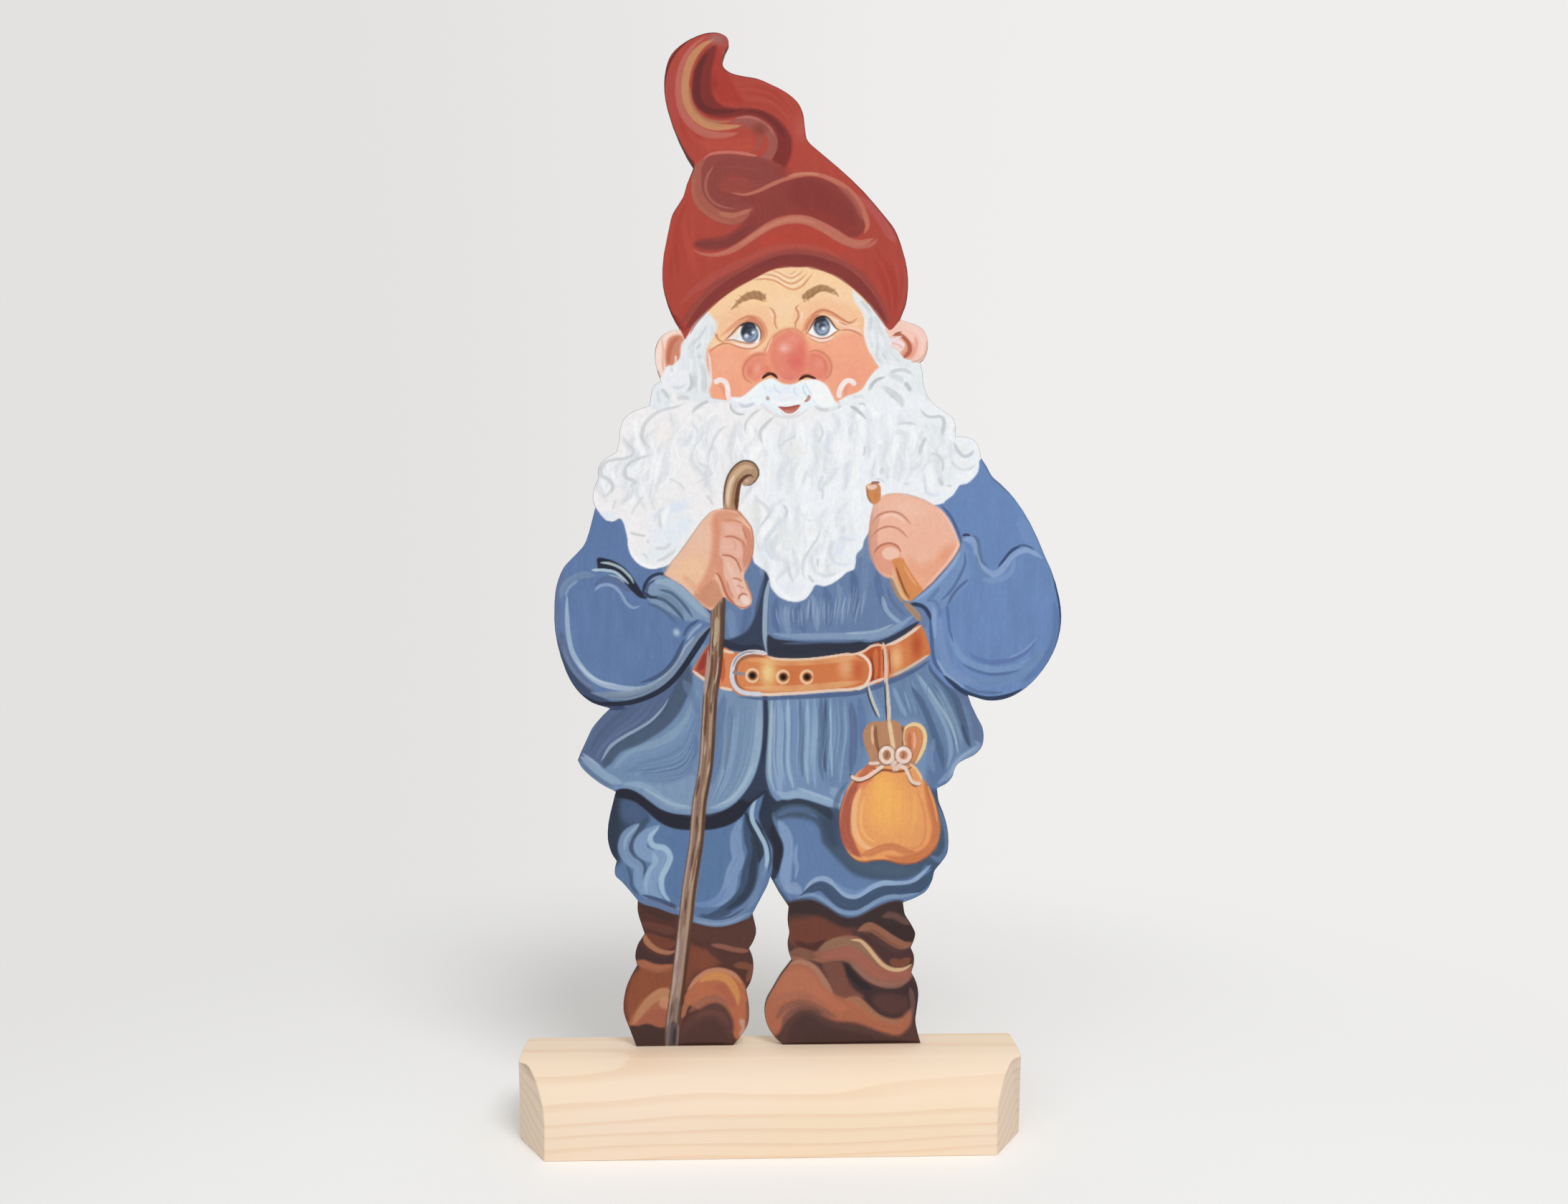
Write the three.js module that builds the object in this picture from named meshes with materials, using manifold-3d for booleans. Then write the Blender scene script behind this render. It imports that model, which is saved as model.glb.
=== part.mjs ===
import * as THREE from 'three';
import { mergeVertices } from 'three/addons/utils/BufferGeometryUtils.js';
import Module from 'manifold-3d';

// A tomte sawn out of thin plywood and painted on its front, glued upright into a block of softwood.
// Millimetres. Z is up, the figure faces -Y, and the origin is the middle of the block's underside.

// Figure board
const figureHeight = 543.4; // from the soles to the top of the cap
const boardThickness = 4;
const tongueDepth = 16; // how far the board goes down into the block
const leftTongueWidth = 30;
const rightTongueWidth = 44;

// Base block
const baseLength = 264;
const baseDepth = 70;
const baseHeight = 45;
const topEdgeRadius = 29; // the two long top edges
const cornerCutLength = 17; // the cut at each upright corner, measured along the block
const cornerCutDepth = 25; // the same cut, measured across the block

// Fits and fineness
const glueGap = 0.3; // between a tongue and each wall of its mortise
const edgeSteps = 16; // facets of a rounded top edge
const largestTurn = THREE.MathUtils.degToRad(5); // between two facets of the sawn outline
const longestFacet = 9;
const fineStep = 0.5; // spacing of the points that a run is first followed with

// The sawn outline, clockwise from the left heel as the figure is looked at. Each run is one smooth
// curve through its [x, z] points, measured from the middle of the soles' line, and a corner lies
// where one run ends and the next begins.
const outline = {
  leftBootInstep: [[-72, 0], [-75.2, 8.4], [-78.8, 19], [-77.8, 30], [-75.2, 36.6], [-71.5, 43.1]],
  leftBootFold: [[-71.5, 43.1], [-72.6, 48], [-71.6, 53.4], [-67.5, 59.9]],
  leftBootShaft: [[-67.5, 59.9], [-69.8, 66.5], [-71.3, 72.5], [-71.3, 78.1]],
  leftTrouserCuff: [[-71.3, 78.1], [-75.4, 83.1], [-79.3, 87.6], [-83.1, 91.4], [-83.5, 95], [-82.5, 99.2]],
  leftTrouserSide: [[-82.5, 99.2], [-85.1, 103.2], [-87.1, 110], [-87.1, 118], [-85.4, 127], [-83, 136.3]],
  leftSkirtHem: [[-83, 136.3], [-90, 139.9], [-96.9, 145], [-101.4, 149.7], [-103.2, 153.2]],
  leftSkirtSide: [[-103.2, 153.2], [-102.2, 156], [-98.5, 164.2], [-95.6, 170.2], [-91.3, 175.6], [-86, 180.9]],
  leftSleeve: [
    [-86, 180.9], [-90.5, 182.1], [-96, 184.2], [-101.8, 188.7], [-107.2, 196], [-112.2, 208.4],
    [-115.2, 222], [-115.7, 234], [-114.6, 246], [-110.8, 256], [-104.6, 262.8],
    [-99.8, 268.4], [-96.8, 276.5], [-94.6, 285.4], [-93.9, 288.4],
  ],
  leftBeardEnd: [[-93.9, 288.4], [-95.2, 293], [-94.3, 299], [-92.2, 304]],
  leftBeardCurl: [[-92.2, 304], [-92.4, 308.6], [-90.4, 312.6], [-87, 315.2], [-82.6, 318]],
  leftBeardSide: [
    [-82.6, 318], [-81.2, 324], [-80.7, 330], [-78.8, 335.4], [-74.6, 339.2], [-69.5, 341.3], [-65, 342.9],
  ],
  leftWhisker: [[-65, 342.9], [-64.4, 347.4], [-63.6, 351.6], [-61.8, 354.2], [-58.9, 355.8]],
  leftEar: [
    [-58.9, 355.8], [-60.8, 361.2], [-62.1, 368], [-61.5, 375], [-58.9, 379.6], [-54.6, 382.6], [-48.8, 384],
  ],
  capLeft: [
    [-48.8, 384], [-51.9, 389], [-55.4, 397], [-57.7, 406], [-58.2, 414], [-57.4, 424],
    [-55.2, 435], [-52.8, 445.2], [-49.6, 450.6], [-46.9, 455.2], [-45, 461.8], [-41.4, 470.6],
  ],
  capPeak: [
    [-41.4, 470.6], [-45.2, 476.6], [-49.8, 486], [-54, 497], [-56.9, 509], [-56.8, 520.4],
    [-53.8, 530.4], [-47.8, 536.6], [-39.4, 541.3], [-33, 543.1], [-27.6, 542.9], [-23.6, 540.6],
    [-22.7, 537.2], [-24.8, 532.4], [-26, 527.6], [-25.3, 524.6], [-21.6, 521.7], [-15.6, 520.1],
    [-7.6, 518.8], [1.4, 515.2], [9.6, 510.6], [14.8, 505.6], [17.3, 500], [18.3, 492.4],
    [19.3, 486.6], [21.4, 483.8],
  ],
  capRight: [
    [21.4, 483.8], [29.4, 477.2], [40, 468.2], [50.4, 458.2], [60.2, 446.8], [66.6, 438.6],
    [70.6, 428.6], [73.3, 417.6], [73.9, 408], [72.7, 398], [69.6, 389.9],
  ],
  rightEar: [
    [69.6, 389.9], [73.6, 388.5], [78.6, 387], [82.4, 384], [84.4, 379], [84.4, 374], [82.8, 369.2], [80.2, 366.9],
  ],
  rightWhisker: [
    [80.2, 366.9], [81.6, 362], [82, 356.4], [83.6, 350.6], [87.2, 345], [93, 340.8], [97.8, 337.2], [99.6, 332],
    [99.4, 326.9],
  ],
  rightBeardCurl: [[99.4, 326.9], [103, 327], [107.6, 326.2], [111, 323.4], [112.6, 319.4], [113.4, 315.6]],
  rightSleeve: [
    [113.4, 315.6], [116.4, 311], [119.4, 305.6], [124.4, 301.2], [130.4, 295], [137, 285.8], [143, 274.6],
    [147.2, 264.6], [151.4, 255.4], [154.6, 245.6], [156.6, 235.6], [156.9, 226.6], [154.6, 215.4],
    [149.4, 204.6], [141.4, 194.6], [133, 188.2], [125, 185.1], [117, 184.6], [110.6, 186.2], [106.2, 187.6],
  ],
  rightSkirtSide: [
    [106.2, 187.6], [108.2, 182], [111.4, 175.4], [114, 170.4], [114.8, 164.6], [113.6, 159.4],
    [109.8, 155.3], [104.6, 152.8], [101, 150.6], [99, 147.6], [97.8, 143.6], [94.6, 139.9], [89.5, 137.3],
  ],
  rightTrouserSide: [
    [89.5, 137.3], [90.4, 130.4], [93.2, 123.2], [95.2, 115.6], [95.7, 107.4], [94.8, 101.8], [91.6, 97],
  ],
  rightTrouserCuff: [[91.6, 97], [88.2, 92.8], [86.8, 87.6], [83.6, 82], [78, 78.5], [71.1, 75.9]],
  rightBootShaft: [[71.1, 75.9], [72.2, 69.4], [75.6, 63.8], [77.7, 59.2], [76.8, 55], [75.2, 51.5]],
  rightBootFold: [[75.2, 51.5], [76.9, 47.6], [77, 43], [75.6, 38]],
  rightBootHeel: [[75.6, 38], [78.2, 33], [79.4, 27], [78.8, 20], [77.8, 12.5], [78.8, 6.4], [80.6, 0]],
  rightBootToe: [[6.5, 0], [2.3, 3.9], [-1.6, 9.8], [-3.5, 17.4], [-2.4, 24], [1.6, 31], [5, 37], [11.2, 45]],
  rightBootBack: [[11.2, 45], [9.5, 50], [9, 54], [9.9, 59.4], [9, 66], [9.6, 74]],
  rightLegInner: [[9.6, 74], [5.2, 80.4], [1.8, 86.2], [-0.4, 90.4]],
  leftLegInner: [[-0.4, 90.4], [-1.6, 86.4], [-4.4, 80.6], [-7.4, 75.2], [-10, 70.3]],
  leftBootBack: [[-10, 70.3], [-9, 66], [-8, 60.6], [-9.4, 55.8], [-12, 51.5]],
  leftBootHollow: [[-12, 51.5], [-10, 46.6], [-9.4, 41.4], [-10.8, 34.4], [-13.5, 29.3]],
  leftBootToe: [[-13.5, 29.3], [-12.2, 23], [-11.7, 17], [-12.6, 10.6], [-16.2, 4.8], [-20.4, 0]],
};

const drawnHeight = Math.max(...Object.values(outline).flat().map(([, z]) => z));
const drawingScale = figureHeight / drawnHeight;
const scaleRun = (run) => run.map(([x, z]) => [x * drawingScale, z * drawingScale]);

// Follows one run and keeps a point wherever the curve has turned or run on far enough.
function followRun(run) {
  const points = scaleRun(run).map(([x, z]) => new THREE.Vector3(x, z, 0));
  const curve = new THREE.CatmullRomCurve3(points, false, 'centripetal');
  const fine = curve.getSpacedPoints(Math.ceil(curve.getLength() / fineStep));
  const kept = [fine[0]];
  let turned = 0;
  for (let i = 1; i < fine.length - 1; i += 1) {
    const before = fine[i].clone().sub(fine[i - 1]);
    const after = fine[i + 1].clone().sub(fine[i]);
    turned += before.angleTo(after);
    const facet = fine[i].distanceTo(kept[kept.length - 1]);
    if (turned > largestTurn || facet > longestFacet) {
      kept.push(fine[i]);
      turned = 0;
    }
  }
  return kept.map((point) => [point.x, point.y]);
}

// The two soles, and under the middle of each a tongue that carries on down into the block.
const soleEnds = (heelRun, toeRun) => {
  const [right] = scaleRun(outline[heelRun]).slice(-1);
  const [left] = scaleRun(outline[toeRun]);
  return { left: left[0], right: right[0] };
};
const rightSole = soleEnds('rightBootHeel', 'rightBootToe');
const leftSole = soleEnds('leftBootToe', 'leftBootInstep');

function tongueUnder(sole, width) {
  const middle = (sole.left + sole.right) / 2;
  return { left: middle - width / 2, right: middle + width / 2 };
}

const leftTongue = tongueUnder(leftSole, leftTongueWidth);
const rightTongue = tongueUnder(rightSole, rightTongueWidth);

// Right to left along one sole, down and up round its tongue.
const soleLine = (sole, tongue) => [
  [sole.right, 0],
  [tongue.right, 0],
  [tongue.right, -tongueDepth],
  [tongue.left, -tongueDepth],
  [tongue.left, 0],
];

function boardShape() {
  const points = [];
  for (const [name, run] of Object.entries(outline)) {
    points.push(...followRun(run));
    if (name === 'rightBootHeel') points.push(...soleLine(rightSole, rightTongue));
    if (name === 'leftBootToe') points.push(...soleLine(leftSole, leftTongue));
  }
  return new THREE.Shape(points.map(([x, z]) => new THREE.Vector2(x, z)));
}

// Turns a shape drawn in X and Z into a plate that is centred on Y = 0.
function plate(shape, thickness) {
  const geometry = new THREE.ExtrudeGeometry(shape, { depth: thickness, bevelEnabled: false });
  geometry.translate(0, 0, -thickness / 2);
  geometry.rotateX(Math.PI / 2);
  return geometry;
}

// The block's section in Y and Z: flat underside, upright sides and two rounded top edges.
function baseSection() {
  const half = baseDepth / 2;
  const shape = new THREE.Shape();
  shape.moveTo(-half, 0);
  shape.lineTo(half, 0);
  shape.lineTo(half, baseHeight - topEdgeRadius);
  shape.absarc(half - topEdgeRadius, baseHeight - topEdgeRadius, topEdgeRadius, 0, Math.PI / 2, false);
  shape.lineTo(topEdgeRadius - half, baseHeight);
  shape.absarc(topEdgeRadius - half, baseHeight - topEdgeRadius, topEdgeRadius, Math.PI / 2, Math.PI, false);
  shape.closePath();
  return shape;
}

// The block seen from above, with its four corners cut off.
function basePlan() {
  const x = baseLength / 2;
  const y = baseDepth / 2;
  return new THREE.Shape([
    new THREE.Vector2(-x + cornerCutLength, -y),
    new THREE.Vector2(x - cornerCutLength, -y),
    new THREE.Vector2(x, -y + cornerCutDepth),
    new THREE.Vector2(x, y - cornerCutDepth),
    new THREE.Vector2(x - cornerCutLength, y),
    new THREE.Vector2(-x + cornerCutLength, y),
    new THREE.Vector2(-x, y - cornerCutDepth),
    new THREE.Vector2(-x, -y + cornerCutDepth),
  ]);
}

const wasm = await Module();
wasm.setup();

function toSolid(geometry) {
  const bare = geometry.clone();
  bare.deleteAttribute('normal');
  bare.deleteAttribute('uv');
  const merged = mergeVertices(bare, 1e-4);
  return new wasm.Manifold(new wasm.Mesh({
    numProp: 3,
    vertProperties: new Float32Array(merged.attributes.position.array),
    triVerts: new Uint32Array(merged.index.array),
  }));
}

function toGeometry(solid) {
  const mesh = solid.getMesh();
  const geometry = new THREE.BufferGeometry();
  geometry.setAttribute('position', new THREE.BufferAttribute(mesh.vertProperties, 3));
  geometry.setIndex(new THREE.BufferAttribute(mesh.triVerts, 1));
  geometry.computeVertexNormals();
  return geometry;
}

// A blind mortise that leaves the glue gap round its tongue and under it.
function mortise(tongue) {
  const depth = tongueDepth + glueGap;
  const width = tongue.right - tongue.left + 2 * glueGap;
  const cutter = new THREE.BoxGeometry(width, boardThickness + 2 * glueGap, 2 * depth);
  cutter.translate((tongue.left + tongue.right) / 2, 0, baseHeight);
  return toSolid(cutter);
}

function baseGeometry() {
  const bar = new THREE.ExtrudeGeometry(baseSection(), {
    depth: baseLength,
    bevelEnabled: false,
    curveSegments: edgeSteps,
  });
  bar.translate(0, 0, -baseLength / 2);
  bar.rotateX(Math.PI / 2);
  bar.rotateZ(Math.PI / 2);
  const plan = new THREE.ExtrudeGeometry(basePlan(), { depth: baseHeight, bevelEnabled: false });
  return toGeometry(
    toSolid(bar)
      .intersect(toSolid(plan))
      .subtract(mortise(leftTongue))
      .subtract(mortise(rightTongue)),
  );
}

const paintedPlywood = new THREE.MeshStandardMaterial({ color: 0x5b76a8, roughness: 0.5, metalness: 0 });
const paleWood = new THREE.MeshStandardMaterial({ color: 0xf5debe, roughness: 0.6, metalness: 0 });

const figureBoard = new THREE.Mesh(plate(boardShape(), boardThickness), paintedPlywood);
figureBoard.name = 'figure_board';
figureBoard.position.z = baseHeight;

const baseBlock = new THREE.Mesh(baseGeometry(), paleWood);
baseBlock.name = 'base_block';

const group = new THREE.Group();
group.add(figureBoard, baseBlock);

export default group;
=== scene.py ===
import math
import bpy
import numpy as np
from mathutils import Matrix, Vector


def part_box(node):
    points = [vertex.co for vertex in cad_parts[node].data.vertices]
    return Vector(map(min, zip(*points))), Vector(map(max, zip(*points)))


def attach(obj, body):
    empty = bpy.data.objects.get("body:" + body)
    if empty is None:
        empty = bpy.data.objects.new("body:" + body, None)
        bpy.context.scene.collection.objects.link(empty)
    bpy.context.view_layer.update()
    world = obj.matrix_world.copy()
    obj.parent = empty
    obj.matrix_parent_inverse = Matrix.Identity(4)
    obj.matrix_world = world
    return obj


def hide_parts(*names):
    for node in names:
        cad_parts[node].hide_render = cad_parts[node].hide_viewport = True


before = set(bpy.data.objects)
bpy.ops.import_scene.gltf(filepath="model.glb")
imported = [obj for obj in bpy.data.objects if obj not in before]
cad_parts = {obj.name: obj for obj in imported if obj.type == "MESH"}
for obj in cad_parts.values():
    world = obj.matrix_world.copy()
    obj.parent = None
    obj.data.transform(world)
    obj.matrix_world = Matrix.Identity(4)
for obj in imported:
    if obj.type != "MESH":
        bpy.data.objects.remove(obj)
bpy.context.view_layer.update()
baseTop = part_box("base_block")[1].z
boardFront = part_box("figure_board")[0].y
print("frame loaded")


brushStyle = {
    "ground": 120.0,  # grey under the first coat
    "step": 0.9,  # millimetres between the points of a drawn path
    "stretch": 12,  # points of a path that are searched together
    "bristles": (0.55, 9),  # width and length of the streaks in a stroke
    "fineGrain": (0.8, 10),  # the same in a filled area
    "broadGrain": (3, 14),
    "tint": 0.07,  # how far the streaks change the colour
    "maskSoft": 0.25,
}


def readPoints(text):
    runs, run = [], []
    for word in text.split():
        corner = word.endswith("!")
        run.append([float(v) for v in word.rstrip("!").split(",")])
        if corner:
            runs.append(run)
            run = [run[-1]]
    if len(run) > 1 or not runs:
        runs.append(run)
    return [np.array(r) for r in runs if len(r) > 1]


def smooth(points):
    step = brushStyle["step"]
    if len(points) < 3:
        a, b = points[0], points[-1]
        n = max(2, int(np.hypot(*(b - a)) / step) + 1)
        return a + (b - a) * np.linspace(0, 1, n)[:, None]
    p = np.vstack([2 * points[0] - points[1], points, 2 * points[-1] - points[-2]])
    out = []
    for i in range(1, len(p) - 2):
        n = max(2, int(np.hypot(*(p[i + 1] - p[i])) / step) + 1)
        t = np.linspace(0, 1, n, endpoint=False)[:, None]
        a, b, c, d = p[i - 1], p[i], p[i + 1], p[i + 2]
        square, cube = 2 * a - 5 * b + 4 * c - d, 3 * b - a - 3 * c + d
        out.append(0.5 * (2 * b + (c - a) * t + square * t**2 + cube * t**3))
    return np.vstack(out + [points[-1:]])


def curve(text, closed=False):
    runs = readPoints(text) if isinstance(text, str) else [np.array(text, float)]
    corners = isinstance(text, str) and "!" in text
    if closed and not corners:
        p = runs[0]
        full = smooth(np.vstack([p[-2:], p, p[:2]]))
        first = np.hypot(*(full - p[0]).T)
        return full[first.argmin() : len(full) - 1 - first[::-1].argmin()]
    if closed:
        if text.endswith("!"):
            runs.append(np.vstack([runs[-1][-1:], runs[0][:1]]))
        else:
            runs[-1] = np.vstack([runs[-1], runs[0][:1]])
    return np.vstack([smooth(r)[:-1] for r in runs] + [runs[-1][-1:]])


def speckle(a, b, seed):
    i, j = np.floor(a).astype(np.int64), np.floor(b).astype(np.int64)
    fa, fb = a - i, b - j
    fa, fb = fa * fa * (3 - 2 * fa), fb * fb * (3 - 2 * fb)

    def corner(p, q):
        h = (p * 374761393 + q * 668265263 + seed * 1442695041) & 0xFFFFFFFF
        h = ((h ^ (h >> 13)) * 1274126177) & 0xFFFFFFFF
        return ((h ^ (h >> 16)) & 0xFFFF) / 65535.0

    top = corner(i, j) * (1 - fa) + corner(i + 1, j) * fa
    low = corner(i, j + 1) * (1 - fa) + corner(i + 1, j + 1) * fa
    return top * (1 - fb) + low * fb


class Canvas:
    def __init__(self, x, z):
        self.order = np.argsort(z, kind="stable")
        self.x, self.z = x[self.order], z[self.order]
        self.rgb = np.full((len(x), 3), brushStyle["ground"])
        self.height = np.zeros(len(x))
        self.mask = None
        self.count = 0

    def near(self, low, high):
        a, b = np.searchsorted(self.z, [low[1], high[1]])
        x = self.x[a:b]
        return a + np.flatnonzero((x >= low[0]) & (x <= high[0]))

    def follow(self, path, reach):
        who = self.near(path.min(0) - reach, path.max(0) + reach)
        x, z = self.x[who], self.z[who]
        best = np.full(len(who), reach * 1.0)
        side, along = np.zeros(len(who)), np.zeros(len(who))
        length = np.concatenate([[0], np.cumsum(np.hypot(*np.diff(path, axis=0).T))])
        for k in range(0, len(path) - 1, brushStyle["stretch"]):
            part = path[k : k + brushStyle["stretch"] + 1]
            low, high = part.min(0) - reach, part.max(0) + reach
            a, b = np.searchsorted(z, [low[1], high[1]])
            m = a + np.flatnonzero((x[a:b] >= low[0]) & (x[a:b] <= high[0]))
            if not len(m):
                continue
            px, pz = x[m][:, None], z[m][:, None]
            p, q = part[:-1], part[1:]
            d = q - p
            size = np.maximum((d**2).sum(1), 1e-9)
            t = np.clip(((px - p[:, 0]) * d[:, 0] + (pz - p[:, 1]) * d[:, 1]) / size, 0, 1)
            ex, ez = px - p[:, 0] - t * d[:, 0], pz - p[:, 1] - t * d[:, 1]
            dist = np.hypot(ex, ez)
            j = dist.argmin(1)
            r = np.arange(len(m))
            better = dist[r, j] < best[m]
            r, j, m = r[better], j[better], m[better]
            best[m] = dist[r, j]
            side[m] = np.sign(d[j, 0] * ez[r, j] - d[j, 1] * ex[r, j])
            along[m] = length[k + j] + t[r, j] * np.sqrt(size[j])
        hit = best < reach
        return who[hit], best[hit], side[hit], along[hit], length[-1]

    def lay(self, who, amount, colour, lift):
        amount = amount if self.mask is None else amount * self.mask[who]
        a = amount[:, None]
        self.rgb[who] = self.rgb[who] * (1 - a) + np.asarray(colour, float) * a
        self.height[who] = self.height[who] * (1 - amount * 0.5) + lift * amount

    def line(
        self, points, width, colour, soft=0.35, alpha=1.0, taper=(0.2, 0.2), streak=0.07, lift=0.03, fade=0
    ):
        path = curve(points)
        self.count += 1
        widths = np.atleast_1d(np.asarray(width, float))
        reach = widths.max() / 2 + soft
        who, dist, side, along, total = self.follow(path, reach)
        if not len(who):
            return
        u = along / max(total, 1e-6)
        w = np.interp(u, np.linspace(0, 1, len(widths)), widths) / 2
        if taper[0]:
            w = w * np.clip(u / taper[0], 0.02, 1) ** 0.5
        if taper[1]:
            w = w * np.clip((1 - u) / taper[1], 0.02, 1) ** 0.5
        a = np.clip((w - dist) / soft + 0.5, 0, 1)
        a = a * a * (3 - 2 * a) * alpha
        if fade:  # the brush lifts off at both ends
            a = a * np.clip(np.minimum(u, 1 - u) / fade, 0, 1)
        wide, long = brushStyle["bristles"]
        grain = speckle(side * dist / wide + 40, along / long, self.count)
        if streak:
            a = a * (1 - streak * 1.6 * np.clip(grain - 0.35, 0, 1))
        c = np.asarray(colour, float)
        c = c * (1 + (grain[:, None] - 0.5) * brushStyle["tint"] * (streak > 0))
        self.lay(who, a, c, lift)

    def inside(self, path, reach):
        who = self.near(path.min(0) - reach, path.max(0) + reach)
        x, z = self.x[who], self.z[who]
        odd = np.zeros(len(who), bool)
        p, q = path, np.roll(path, -1, axis=0)
        for (ax, az), (bx, bz) in zip(p, q):
            if az == bz:
                continue
            a, b = np.searchsorted(z, [min(az, bz), max(az, bz)])
            if b > a:
                odd[a:b] ^= x[a:b] < ax + (z[a:b] - az) * (bx - ax) / (bz - az)
        return who, odd

    def cover(self, points, soft):
        path = curve(points, closed=True)
        who, odd = self.inside(path, soft)
        edge = np.full(len(self.x), soft)
        near, dist = self.follow(np.vstack([path, path[:1]]), soft)[:2]
        edge[near] = dist
        a = np.clip(np.where(odd, edge[who], -edge[who]) / soft * 0.5 + 0.5, 0, 1)
        return who, a * a * (3 - 2 * a)

    def within(self, *areas):
        self.mask = None
        if areas:
            mask = np.zeros(len(self.x))
            for area in areas:
                who, a = self.cover(area, brushStyle["maskSoft"])
                mask[who] += a
            self.mask = np.minimum(mask, 1)

    def fill(self, points, colour, soft=0.4, alpha=1.0, streak=0.025, angle=90, lift=0.03):
        self.count += 1
        who, a = self.cover(points, soft)
        r = np.radians(angle)
        across = self.x[who] * np.sin(r) - self.z[who] * np.cos(r)
        along = self.x[who] * np.cos(r) + self.z[who] * np.sin(r)
        (wide, long), (wider, longer) = brushStyle["fineGrain"], brushStyle["broadGrain"]
        fine = speckle(across / wide, along / long, self.count)
        broad = speckle(across / wider, along / longer, self.count + 50)
        grain = 0.4 * fine + 0.6 * broad
        c = np.asarray(colour, float) * (1 + (grain[:, None] - 0.5) * 2 * streak)
        self.lay(who, a * alpha, c, lift)

    def wash(self, points, factor, soft=1.0):
        who, a = self.cover(points, soft)
        self.lay(who, a, self.rgb[who] * np.array(factor), 0)

    def hair(
        self, first, last, count, width, colours, alpha=0.9, wander=0.8, soft=0.3, seed=1, trim=0.3,
        lift=0.05, waves=(0.8, 2.2), rim=None
    ):
        rng = np.random.default_rng(seed)
        a, b = curve(first), curve(last)
        u = np.linspace(0, 1, 14)
        resample = lambda p: np.stack([np.interp(u, np.linspace(0, 1, len(p)), p[:, k]) for k in (0, 1)], 1)
        a, b = resample(a), resample(b)
        for i in range(count):
            t = (i + rng.uniform(0.1, 0.9)) / count
            p = a + (b - a) * t
            lo, hi = rng.uniform(0, trim), 1 - rng.uniform(0, trim)
            v = np.linspace(lo, hi, 9 + 4 * int(waves[1] - 2))
            p = np.stack([np.interp(v, u, p[:, k]) for k in (0, 1)], 1)
            sway = rng.uniform(-wander, wander) * np.sin(v * np.pi * rng.uniform(*waves) + rng.uniform(0, 6))
            d = np.gradient(p, axis=0)
            d = d / np.maximum(np.hypot(*d.T), 1e-6)[:, None]
            across = np.stack([-d[:, 1], d[:, 0]], 1)
            p = p + across * sway[:, None]
            if rim:
                self.line(p - across * width * 0.5, width * 0.6, rim, soft, alpha, (0.3, 0.3), 0.05, lift / 2)
            colour = np.array(colours[rng.integers(len(colours))]) * rng.uniform(0.96, 1.03)
            size, strength = width * rng.uniform(0.6, 1.4), alpha * rng.uniform(0.7, 1)
            self.line(p, size, np.clip(colour, 0, 255), soft, strength, (0.35, 0.5), 0.1, lift)

    def glow(self, x, z, rx, rz, colour, alpha=0.6, turn=0):
        reach = 1.3 * max(rx, rz)
        who = self.near((x - reach, z - reach), (x + reach, z + reach))
        r = np.radians(turn)
        dx, dz = self.x[who] - x, self.z[who] - z
        p = (dx * np.cos(r) + dz * np.sin(r)) / rx
        q = (-dx * np.sin(r) + dz * np.cos(r)) / rz
        a = np.clip(1 - np.hypot(p, q), 0, 1)
        a = a * a * (3 - 2 * a) * alpha
        keep = a > 0.002
        self.lay(who[keep], a[keep], colour, 0)

    def result(self):
        rgb, height = np.empty_like(self.rgb), np.empty_like(self.height)
        rgb[self.order], height[self.order] = self.rgb, self.height
        return np.clip(rgb, 0, 255), height


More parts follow.
